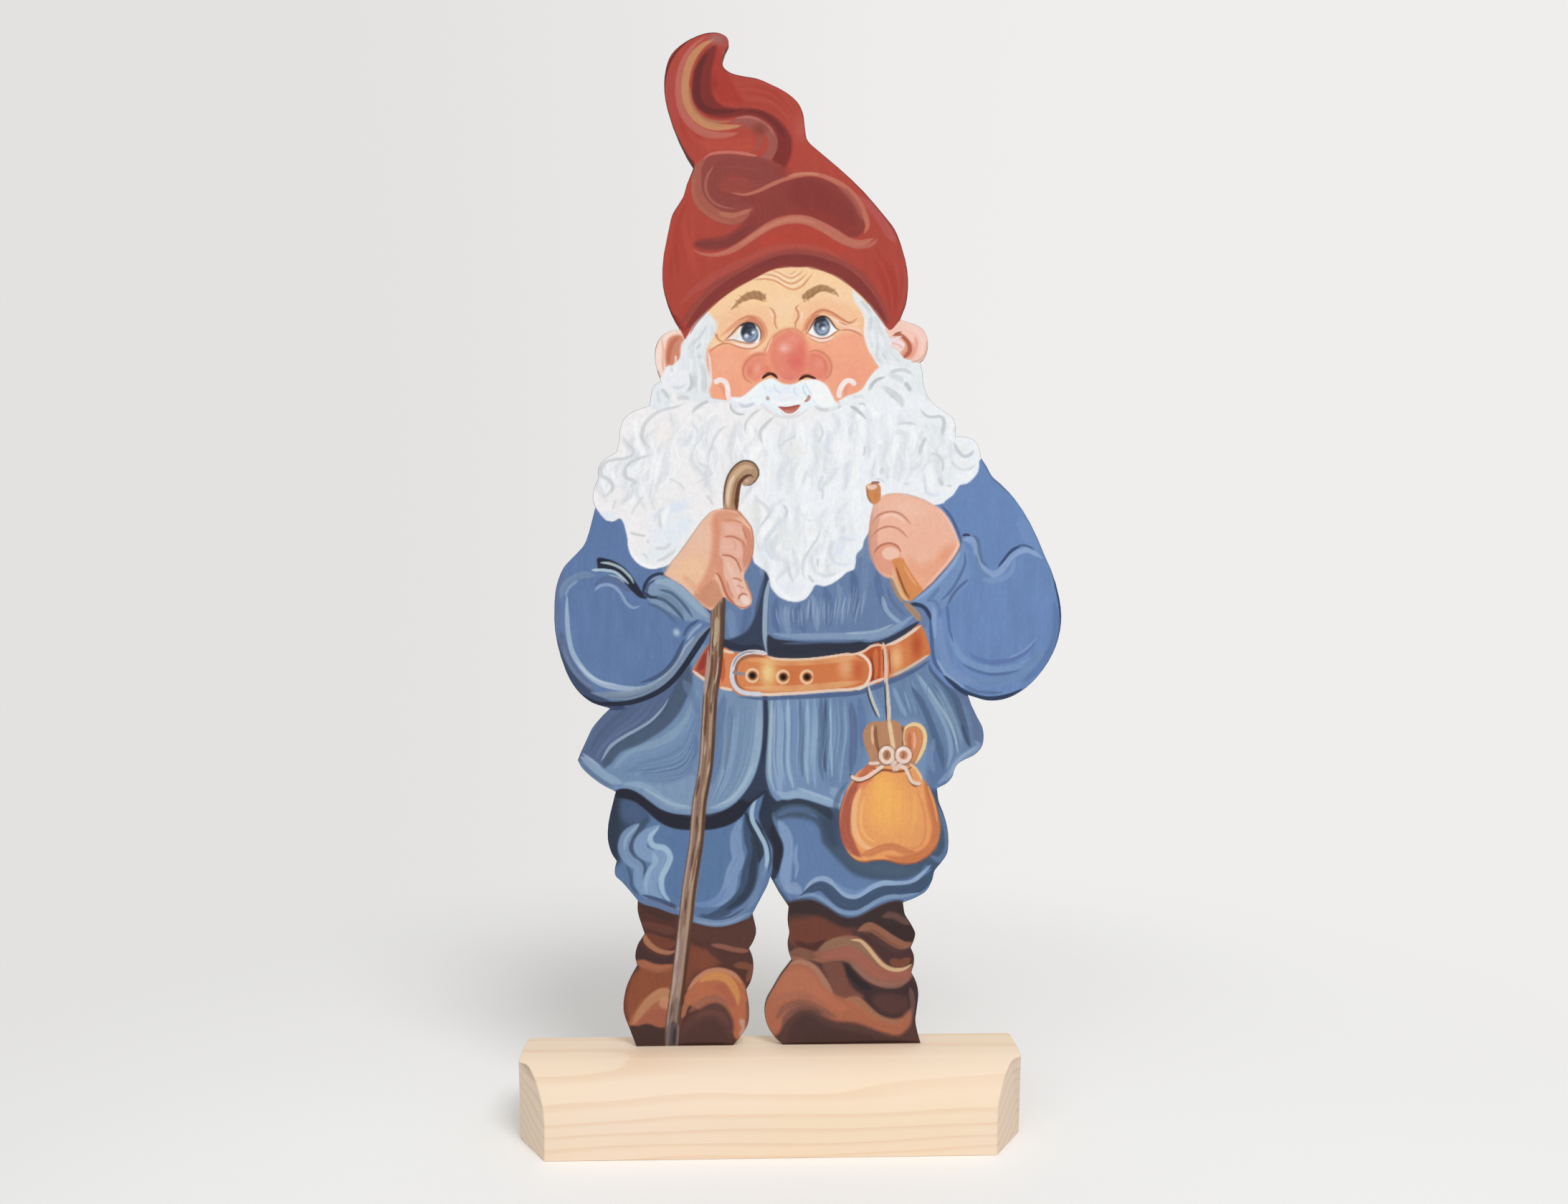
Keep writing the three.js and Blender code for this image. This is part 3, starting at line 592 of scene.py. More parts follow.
def paintSkirt(c):
    s = skirtPaint
    c.fill(shapes["skirt_left"], s["cloth"])
    c.fill(shapes["skirt_right"], s["cloth"])
    # left half: the upper corner that lies in the sleeve's shade
    c.fill("-86,182 -95,171 -100,161 -104,154 -97,152 -88,150 -84,156 -76,161 -66,165 -56,171 -48,181 "
        "-42,194 -44,206 -52,198 -62,188 -74,184", s["dusk"], 1.2)
    c.hair("-98,156 -92,166 -84,175 -74,183", "-90,153 -80,166 -66,176 -56,190", 9, 2.2,
        [(96, 114, 162), (82, 100, 142), (90, 110, 154)], 0.7, 0.4, 0.8, 11, 0.2)
    c.line("-97,158 -90,168 -82,176 -72,183", 3.7, (78, 96, 134), 1.5, 0.7)
    c.fill("-89,149 -90,155 -84,161.6 -76,166.6 -66,172.6 -58,180 -54,188 -47,200 -43.6,202 -43,192 "
        "-48,182.6 -55,174 -62,168 -70,163.6 -78,160.4 -84,156", s["shade"], 0.9)
    c.line("-87,152 -82,160 -62,172 -54,181 -48,192", (2.8, 5.8), (66, 84, 112), 1.4, 0.7)
    c.line("-90.6,153 -86,160.4 -79,165.6 -71,170 -64,174.6 -58,181 -55,186", (1.9, 1.1), (142, 162, 200),
        0.5, 0.95)
    c.line("-94,154 -89,162 -81,168 -72,173 -65,179", (1.9, 1.3), (100, 120, 166), 0.9, 0.6)
    # left half: the long folds that fan out from the belt
    c.line("-84,149 -78,154.4 -69,158.6 -58,163 -49,169 -43,177 -40,190", 5.5, (130, 158, 198), 1.6, 0.9)
    c.fill("-89,151 -86,157 -80,163 -71,168 -62,174 -56,180 -52,188 -46,192 -46.6,184 -51.6,175.6 -60,168 "
        "-70,161.8 -80,157.6 -86,151", s["shade"], 1.0, 0.95)
    c.line("-90.6,153 -86,160.4 -79,165.6 -71,170 -64,174.6 -58,181 -55,186", (1.9, 1.1), (142, 162, 200),
        0.5, 0.8)
    c.line("-82,150 -72,155 -60,158 -50,163 -43,172 -40,184", 5, (116, 144, 192), 1.5, 0.85)
    c.line("-77,147 -55,154 -46,160 -41,170 -39,182", 5.3, (104, 132, 180), 1.6, 0.85)
    c.line("-70,145 -60,148 -50,150 -43,156 -40,166", 5.7, (90, 116, 166), 1.8, 0.85)
    c.line("-66,142 -56,143 -47,146 -41,151", 4.6, (104, 130, 178), 1.6, 0.8)
    c.hair("-82,150 -64,152 -48,158 -40,176", "-72,143 -58,143 -46,146 -40,156", 16, 1.1,
        [(124, 152, 196), (96, 122, 172), (132, 160, 202), (106, 134, 180)], 0.55, 0.3, 0.5, 12, 0.25)
    c.fill("-80,141.6 -70,141.6 -62,141 -52,141.6 -41,144 -41,125 -50,125.6 -58,128 -65,133 -71,137 "
        "-78,139.4", (124, 152, 194), 1.6, 0.9)
    c.line("-79,140.6 -70,140 -63,136.4 -57,132 -50,128.6 -42,127.4", 3.3, s["light"], 1.2, 0.9)
    c.line("-68,138 -60,133.4 -52,129.4 -44,128.4", 1.3, s["pale"], 0.6, 0.7)
    c.line("-101.6,155 -97,152 -92,147.4 -86,143.4 -80,141", 4.5, s["light"], 1.2, 0.95)
    c.line("-101,157 -96,153.6 -91,149.6", 1.3, s["pale"], 0.6, 0.7)
    c.line("-102,152.4 -96,146.4 -89,141.4 -84,138.6", 1.9, (96, 118, 160), 0.9, 0.8)
    c.line("-47,196 -42,188 -39,178", 4.6, (100, 126, 172), 1.8, 0.7)
    # left half, right of the stick
    c.fill("-27,191 -30,170 -32,150 -36,126 -28,125.4 -19,131 -11,141 -6,155 -4.6,170 -4.4,189",
        (118, 146, 190), 1.4, 0.8)
    c.line("-25,188 -28,172 -29,156 -32,140", 5.3, s["mid"], 2.0, 0.9)
    c.hair("-22,187 -24,165 -27,145 -34,128", "-7,186 -8,165 -14,143 -26,128", 20, 1.5,
        [(128, 156, 198), (112, 140, 186), (138, 166, 206), (104, 132, 178)], 0.7, 0.35, 0.7, 13, 0.18)
    c.line("-22,182 -22.6,164 -25,148", 2.7, (104, 126, 168), 1.2, 0.7)
    c.line("-6,187 -6.4,172 -7.6,158 -11,146 -17,136 -25,129.4 -33,127.4", 4, (146, 174, 212), 1.3, 0.85)
    c.line("-9,152 -14,141 -21,132.6 -29,128.6", 1.5, (168, 192, 224), 0.7, 0.6)
    # right half: upright folds
    folds = [
        ("4,188 4,170 4,150 5,135", 4.9, (134, 162, 204), 0.9),
        ("9,187 9.4,168 9.4,150 12,138", 2.4, (158, 184, 220), 0.8),
        ("15.6,186 16.4,170 16.4,156 17,144", 2.4, (88, 112, 150), 0.85),
        ("19.6,186 19.6,168 19,152 20,140", 2.3, (146, 174, 212), 0.85),
        ("23.4,187 23.4,170 22.6,154 24,138", 2.5, (128, 158, 202), 0.8),
        ("27,187 27,170 26.6,154 28,142", 2.9, (86, 110, 150), 0.9),
        ("29.4,186 29,170 28.6,156 29.4,146", 2.1, (66, 86, 120), 0.9),
        ("32,186 32,170 32.4,156 33,144", 1.3, (150, 178, 214), 0.9),
        ("35.4,187 35.4,170 35.6,156 36,142", 3.9, (108, 134, 176), 0.85),
        ("39.6,186 40,170 38,154 37,140", 2.9, (120, 148, 192), 0.7),
        ("43,184 44.6,170 44,156 43,146", 4.2, (86, 106, 150), 0.85),
        ("47.6,186 49,174 49,160", 3.7, (90, 114, 166), 0.8),
    ]
    c.fill("27,189 52,190 50,150 40,140 30,140", (100, 126, 172), 3.0, 0.75)
    for path, width, colour, alpha in folds:
        c.line(path, width, colour, 1.1, alpha)
    c.hair("1,187 1,168 0.6,152 4,136", "40,186 41,168 39,152 38,138", 34, 0.9,
        [(150, 178, 214), (100, 128, 174), (124, 152, 196), (88, 114, 156), (140, 168, 208)], 0.5, 0.3, 0.5,
        14, 0.25)
    c.line("2.6,136 8,133.6 14,134.6 20,133.6 32,129.6 38,128.6", 4.4, (142, 170, 208), 1.4, 0.85)
    c.line("14,138 20,136 27,133.4 34,131", 1.5, (164, 190, 222), 0.8, 0.6)
    c.line("32,138 39,131", 4.6, (136, 162, 200), 1.6, 0.7)
    c.line("0.4,186 0,170 -0.6,156 -0.4,144 2,136", 1.9, (150, 176, 214), 0.7, 0.85)
    # right half, beyond the pouch
    c.fill("56,196 86,208 90,200 100,190 106,187.6 116,176 116,160 104,150 98,140 89,137 84,140 84,160 "
        "80,174 70,175 62,177", (100, 126, 170), 1.6, 0.9)
    c.fill("84,172 90,166 96,152 95,142 90,139 84,142 86,156", (90, 114, 162), 2.0, 0.85)
    c.hair("62,192 66,184 68,176", "76,198 80,186 84,172", 10, 1.4,
        [(120, 150, 194), (134, 162, 202), (96, 122, 168)], 0.65, 0.3, 0.6, 15, 0.25)
    c.line("66,192 69,184 73,176", 2.6, (132, 160, 202), 1.0, 0.8)
    c.hair("82,194 90,182 96,168 98,156", "92,196 101,182 106,168 108,160", 16, 1.5,
        [(118, 146, 186), (90, 114, 152), (136, 164, 200), (80, 104, 140)], 0.75, 0.3, 0.7, 16, 0.2)
    c.line("78,200 84,190 91,178 96,166 97,156 95,148", 2.7, (130, 158, 198), 1.1, 0.85)
    c.line("80,198 87,188 94,177 99,166 101,156", 1.5, (154, 180, 212), 0.7, 0.8)
    c.line("76,192 82,182 87,170 91,158 93,148", 3.6, (74, 96, 136), 1.4, 0.85)
    c.line("88,164 86,154 88,146", 3, (112, 138, 184), 1.2, 0.7)
    c.line("84,205 92,196 99,187 103,176 108,159", (5.2, 2.5), (72, 92, 128), 1.2, 0.9)
    c.line("103,172 105,165 107,160", 1.7, (58, 76, 108), 0.8, 0.8)
    c.fill("98,196 106,188 112,174 115,166 112,160 109,163 108,174 104,184 97,191", (92, 110, 154), 1.6, 0.8)
    c.line("110,163 112,160.6 108,157 101,152.6 96,145 90,140", 3.4, (124, 150, 194), 1.3, 0.85)
    c.line("111,159.4 104,155 99.6,150.6 96,143.4", 1.3, (152, 178, 214), 0.7, 0.6)
    c.wash(shapes["skirt_left"], (1.05, 1.025, 0.95))
    c.wash(shapes["skirt_right"], (1.05, 1.025, 0.95))
    c.glow(-8, 180, 5, 8, (134, 155, 186), 0.6)
    # the opening down the middle
    c.fill("-4.4,188! -4.2,176 -4.6,164 -6,154 -9,144 -14,135.4 -18,131! -12,133 -4,137 3,131! 0.6,134 "
        "-1.6,139 -2.8,146 -2.6,154 -1.8,166 -1.4,176 -1.8,188!", s["deep"], 0.6)
    c.line("-2.8,186 -2.6,174 -3.4,162 -4.4,152", (1.2, 1.8), (44, 52, 72), 0.8, 0.7)


sleevePaint = {
    "left": (93, 121, 169),
    "right": (104, 135, 184),
    "pale": (152, 176, 206),
    "soft": (112, 138, 176),
    "mid": (88, 108, 150),
    "black": (36, 42, 58),
}


def paintSleeves(c):
    s = sleevePaint
    # left sleeve
    c.fill(shapes["sleeve_left"], s["left"], 0.2, 1, 0.04)
    c.fill("-94,288 -99,272 -106,262 -98,262 -88,264 -80,262 -74,262 -80,274 -84,281", (90, 119, 170), 2, 0.6)
    c.line("-110.6,254 -113,246 -114.4,238 -114.6,228 -113.6,218", (3.7, 5.7), (98, 114, 158), 1.2, 0.85)
    c.line("-112,222 -111,212 -107,203 -101,195 -94,190", 5.6, (90, 106, 142), 1.2, 0.85)
    c.line("-117,228 -115,214 -111,204 -104.4,194.6 -96,187 -88,183 -78,181", (3.3, 6.3), (58, 72, 102), 1.2,
        0.92)
    c.line("-111,214 -107.4,204 -101.6,196.6 -94,191", 1.9, (112, 132, 168), 0.8, 0.6)
    c.line("-112.6,240 -110.8,245.6 -106.4,250.2 -100,252.4 -94,252", 3.6, s["soft"], 1.1, 0.85)
    c.line("-110.2,240.6 -107.6,245.8 -103,249.6", 1.4, (134, 160, 196), 0.7, 0.8)
    c.line("-109,241.4 -109,232 -108.4,222 -106.4,212 -102.4,204.6 -96.6,198 -89.6,193.8 -81,192 -72,191.6 "
        "-65,193", (2.2, 3.2), s["pale"], 0.6, 0.98, (0.14, 0.2))
    c.line("-104,206 -98,199.4 -91,195.4 -82,193.6", 1.3, (186, 206, 226), 0.4, 0.6)
    c.line("-96,189.4 -88,188 -78,188 -69,190 -60,194.4 -54,199.6 -49,206 -44,212.6 -38,220 -33,225", 4.1,
        (118, 138, 166), 0.9, 0.95, (0.2, 0.15))
    c.line("-80,189.6 -70,191.6 -62,195 -55,200.4 -50,206.8 -45.6,212.4", 1.5, (146, 166, 190), 0.6, 0.75)
    c.line("-50,208 -46,213.6 -41,219.4", 1.4, (158, 180, 200), 0.5, 0.7)
    c.hair("-92,186 -78,185 -66,188 -56,194", "-90,190 -78,190 -68,193 -60,198", 6, 0.9,
        [(96, 114, 142), (132, 152, 178), (84, 102, 134)], 0.7, 0.3, 0.5, 21, 0.2)
    c.line("-70,194.6 -62,197.4 -56,201.6 -51.6,207 -48.6,213 -46.6,218", (1.8, 2.6), (66, 84, 120), 0.6,
        0.95)
    c.line("-101,188.4 -93,184 -85,183.4 -76,184 -67,186.6 -59,190.6 -52,196.4 -46,204 -41.4,211 -37,217.6 "
        "-32.6,224", (2.2, 3.4), s["black"], 0.5, 0.97, (0.2, 0.1))
    c.line("-45,217.6 -41.6,222.4 -37,226.4", 1.9, (140, 166, 196), 0.6, 0.85)
    c.line("-47,219.4 -44,224.6 -38.6,228.4", 1.6, (66, 86, 124), 0.6, 0.85)
    # left elbow: the crossing folds
    c.line("-94.4,246.6 -90,249.4 -85,250 -79.6,247.6 -75.4,243.4", 4.2, s["mid"], 1.0, 0.9)
    c.line("-94.2,244 -91.6,246.4 -87.6,247.2 -83.6,245.8 -80.2,242.2 -77.6,237.6 -73.6,234.8 -69.8,236", 1.7,
        (134, 160, 200), 0.5, 0.95, (0.1, 0.2))
    c.fill("-92.6,261.4 -87,260.8 -81.4,258.4 -76.4,254.4 -72.4,248.6 -68.6,242.6 -66.4,239.8 -70.4,240.4 "
        "-75,244.4 -78.6,248.6 -83.4,252.4 -88,254.6 -92,254 -92.8,257.6", s["black"], 0.5)
    c.line("-91.4,259 -86,258.4 -80.4,256 -75.6,251.6 -73.4,247.8", 1.5, (160, 182, 196), 0.35, 0.98)
    c.line("-96,255 -90,255 -84,254 -79.6,251 -76,247.4", 1.6, (168, 194, 218), 0.35, 0.98, (0.1, 0.3))
    c.line("-87,252.6 -82,251.2 -78.2,248.2", 1, (150, 172, 192), 0.35, 0.9)
    # left cuff
    c.fill("-66,248 -63,251.4 -58,252.6 -53,250.4 -48,247.4 -44,244 -40,240 -36,236 -31.6,231 -31.4,226 "
        "-38,228.6 -44,227.6 -50,230 -56,233.6 -62,236 -66,240", (122, 148, 184), 0.8)
    c.line("-62.6,248.6 -56,248.4 -49.6,245 -43.6,239.6 -38,234 -33.6,229.6", 3.9, (142, 168, 196), 0.9, 0.95)
    c.line("-60,244.6 -53.6,242.8 -48.4,238.4 -44.6,233.6 -42,229.6", 1.7, (74, 96, 126), 0.6, 0.9)
    c.line("-62,241 -55.4,239.6 -50.4,235.4 -47,230.6", 3.8, (108, 134, 164), 1.0, 0.85)
    c.line("-64.6,240.4 -58.4,239.4 -53,235.6 -48.4,230.6 -46.4,227.8", 1.8, (70, 90, 120), 0.6, 0.9)
    c.line("-66,237 -60.6,235.2 -55,231 -50.4,226.4", 1.9, (84, 106, 140), 0.7, 0.9)
    c.glow(-50.6, 221.6, 3.0, 3.6, (172, 198, 222), 0.95, 30)
    c.line("-68.2,240.6 -67.8,246 -64.8,250.8 -59.6,253 -53.4,251.2 -47.4,247.6 -42.4,243 -38,238.4 -34,234 "
        "-31.4,230.4", (2, 0.9), (44, 56, 84), 0.4, 0.97, (0.1, 0.1))
    c.line("-66.6,242.6 -65.6,247 -62,249.8", 1.4, (64, 80, 116), 0.5, 0.85)
    c.line("-67.4,242.8 -64.6,240.6 -60.6,240.6", (2.3, 1.1), (44, 56, 82), 0.5, 0.9)
    # right sleeve
    c.fill(shapes["sleeve_right"], s["right"], 0.2, 1, 0.04)
    c.fill("102,300 113,312 124,300 134,289 142,274 148,262 138,262 128,256 114,254 104,268 100,280",
        (103, 134, 184), 2, 0.5)
    c.line("113,316.6 117,309 121,303.6 128,298 135,290 141,279.6 146,268 151,257", (1.2, 1.1),
        (88, 112, 152), 0.6, 0.8)
    c.line("92,290 97,284 100.6,276.6 103,270", 1.4, (70, 90, 130), 0.6, 0.85)
    c.line("134,284 144,264", 6.7, (116, 148, 194), 2.4, 0.5)
    c.line("151.4,256 154,247 156,238 157,229 156,219 153,210 148,202", (1.1, 2, 1.7), (42, 62, 98), 0.5,
        0.92)
    c.line("153,238 154.4,229 153.4,219 150,210 143.6,201 136,194.4", 3.9, (90, 118, 164), 1.4, 0.8)
    c.line("148,214 141.6,204.6 133,198 124,195 114,195 106,198", 5, (108, 138, 180), 1.6, 0.8)
    c.line("142.6,216 137,210.4 129,206.6 120,205.4 112,207 107,210.6", 2.5, (92, 116, 168), 0.9, 0.85)
    c.line("142.6,217.4 139,213.4 134,210 128,207.6", 1.2, (126, 156, 202), 0.5, 0.85)
    c.line("96,226 98,217 102,209.4 108.6,204 117,201.6 126,201.4 134,203.6 140,208", 3.7, (118, 150, 192),
        1.1, 0.85)
    c.line("103,204.6 110,201 118,199 127,199.4 134,201", 1.7, (82, 106, 150), 0.8, 0.8)
    c.line("90,237 90,228 91,218 93,209 98,201 105,196 112,193", 4.8, (116, 144, 188), 1.3, 0.85)
    c.line("89.4,207 92.6,201 98,195.6 104,191.6", 2.5, (138, 164, 200), 0.8, 0.85)
    c.line("94.4,240 95.4,232 96.2,224 98.4,216", 1.6, (84, 110, 160), 0.7, 0.85)
    c.line("85.6,229 86.6,220 87,212 88.6,205 93,198.6", 2, (72, 94, 140), 0.7, 0.9)
    c.line("93,198.4 98,194 103,190 109,187.4 115.6,185.8 122,186 129,187.6 136,191", (3, 2.1), (44, 58, 84),
        0.5, 0.95)
    c.line("104,193 110,190 117,189 125,189", 1.7, (84, 108, 146), 0.8, 0.7)
    # right elbow: the wave
    c.line("103.4,271.6 107.6,271.4 110.6,268.6 111.8,263.4 113,258.4 115.8,254.6 120,253 124,254.6 "
        "127,258.4 130,262.4 134,265 138.4,266 143,264 147,261.4",
           (4.1, 2.8), (134, 162, 202), 0.7, 0.97, (0.08, 0.12))
    c.line("109,274 111.8,270.6 112.8,264.6 114.4,259.4 117,257", 2, (92, 116, 150), 0.6, 0.92)
    c.line("110.4,263.6 112,258 115,253.4 119.4,251", 1.6, (94, 122, 162), 0.8, 0.7)
    c.line("103.2,273.8 105.4,274.2 107.6,273.8", 1.4, (52, 66, 96), 0.4, 0.95)
    c.line("122.6,256.8 125.6,260.4 128.6,264.2 131.8,266.8 134.6,268", (1.3, 1.9), (54, 72, 108), 0.4, 0.95)
    c.line("133,268.2 137,268.6 140.2,267.4 142.4,266", 1.1, (70, 90, 124), 0.4, 0.9)
    c.line("131.6,262.4 130.8,256.6 127.6,252 121,249.6 114,250", (2.3, 3.8), (122, 152, 196), 1.2, 0.75)
    # right cuff
    c.fill("76,238.6 82,243.4 87,248 92,253.4 96,258 100,263.6 103,270 106,266 107,258 106.6,249 102,243 "
        "96,237 91,233 87.6,228 84.6,232 80.6,236.4", (114, 144, 188), 0.9, 0.95)
    c.line("77.6,238.6 83,243 88,247.4 93,252.6 97.6,258.2 102,265", 3, (136, 166, 208), 0.8, 0.9)
    c.line("106.4,250 102.4,246.6 98.4,242 95,236", 1.6, (80, 102, 142), 0.6, 0.85)
    c.line("104.6,265.4 104.6,258.4 101.4,251 97,244 91.6,238.6", 1.6, (84, 110, 154), 0.7, 0.85)
    c.line("91,246 87.6,241.6 84,238", 1.9, (92, 120, 166), 0.8, 0.7)
    c.line("84.6,238.8 88.4,238.2 90.6,235 91,229", 2, (96, 122, 164), 0.8, 0.75)
    c.line("87,236 88,232 88,226 88.4,218", 2.1, (138, 164, 204), 0.8, 0.8)
    c.line("74.6,236.8 79.4,236.4 83,234.6 85.2,231.2 86,228", 2.2, (44, 56, 84), 0.5, 0.95)
    c.line("76.4,239 81.6,243.2 87,248 92,253.4 96.6,258.8 100.4,264.6 102.4,269.6 101.4,274", 1.1,
        (92, 96, 128), 0.35, 0.8)


chestPaint = {
    "cloth": (110, 137, 178),
    "light": (140, 168, 206),
}
beltPaint = {
    "leather": (222, 124, 70),
    "edge": (247, 214, 184),
}


def paintChest(c):
    s = chestPaint
    c.fill("-60,185! -60,330! 120,330! 120,185!", s["cloth"])
    # shade on both sides of the stick
    c.fill("-30,262 -8,262 -6,254 -4,246 -10,222 -28,216 -36,216 -34,236", (96, 124, 172), 1.4)
    c.line("-22,234 -20,218", 4.6, (112, 142, 186), 1.6, 0.7)
    c.line("-12,236 -15,219", 4.6, (84, 108, 156), 1.6, 0.8)
    c.fill("-3,258! -4.6,246 -7,236 -9.6,228 -13.4,222 -20,218.6 -26,217.4! -26,212 -14,211.6 -3,210.6! "
        "-2,220 -1.6,232 -1,246 -1.4,258!", (50, 62, 88), 1.0, 0.97)
    c.line("-4,250 -6.4,240 -8.6,231", 1.7, (66, 84, 120), 0.9, 0.7)
    c.line("-1,250 -2.6,240 -3.2,230 -3.2,220 -2,210", 2.6, (146, 173, 207), 0.7, 0.95)
    # folds between the beard and the belt
    c.fill("0,244 8,238 16,238 24,246 36,249 48,262 56,258 62,252 68,244 74,238 84,234 84,224 60,216 30,215 "
        "4,217 -1,222", (98, 126, 174), 1.2)
    c.line("3,240 2,230 4,221", 3.6, (84, 108, 158), 1.4, 0.8)
    c.line("8,236 8,228 10,220", 3.1, (124, 152, 196), 1.2, 0.8)
    c.line("15,237 16,229 18,221", 4, (86, 110, 158), 1.6, 0.8)
    c.line("22,242 24,233 25,222", 3.3, (122, 150, 194), 1.3, 0.8)
    c.line("29,246 31,236 31,224", 4.4, (84, 108, 156), 1.7, 0.8)
    c.line("36,248 38,238 38,226", 3.3, (120, 148, 192), 1.3, 0.75)
    c.line("44,255 45,243 44,230", 4.5, (80, 104, 152), 1.8, 0.8)
    c.line("51,268 51,258 49,234", 4.2, (108, 136, 182), 1.6, 0.75)
    c.line("57,255 58,246 61,236 66,228", 3.9, (86, 110, 160), 1.4, 0.85)
    c.line("60,241 62,234 66,229.4 71,226", 2.5, s["light"], 1.0, 0.9)
    c.line("62.4,246 65,239 69,234 73,230", 2.2, (88, 112, 162), 1.0, 0.8)
    c.hair("4,236 4,228 6,221", "52,250 48,226", 26, 1.0,
        [(120, 148, 192), (92, 118, 166), (132, 160, 202), (80, 102, 148)], 0.55, 0.4, 0.6, 31, 0.25)
    c.hair("2,238 3,230 5,222", "50,244 46,226", 22, 0.8, [(164, 190, 216), (148, 174, 206), (136, 162, 200)],
        0.7, 0.5, 0.5, 32, 0.35)
    # the light roll and the near-black shade over the belt
    c.line("1,221 10,219.6 20,219.4 32,219.6 44,219.6 54,219.4 62,221.4 70,225.6 77,231", (3.1, 3.8),
        (128, 156, 198), 1.0, 0.85)
    c.line("40,221 50,221.4 58,222.6 66,226", 1.5, (156, 182, 214), 0.6, 0.7)
    c.line("-30,218 -24,215.6 -16,213 -8,213.6 -3,211.6", (4.4, 2.6), (42, 50, 70), 0.6, 0.95)
    c.fill("-2,219.6 3,218 14,216.8 28,216.2 42,216.2 49,216.6 52,213 46,208 34,206 14,205 0,206",
        (44, 50, 68), 0.7, 0.97)
    c.line("-1,211.6 5,211.4 20,213.4 30,214 40,214 47,214.4 54,214.6 60,216 66,218.6 73,222.6 80,227.4",
        (5, 5, 3.4, 2.4), (44, 50, 68), 0.9, 0.92, (0.08, 0.08))
    c.line("6,215.6 16,215.8 28,216.4 40,216.4 52,217.6", 1.5, (80, 100, 136), 0.7, 0.7)


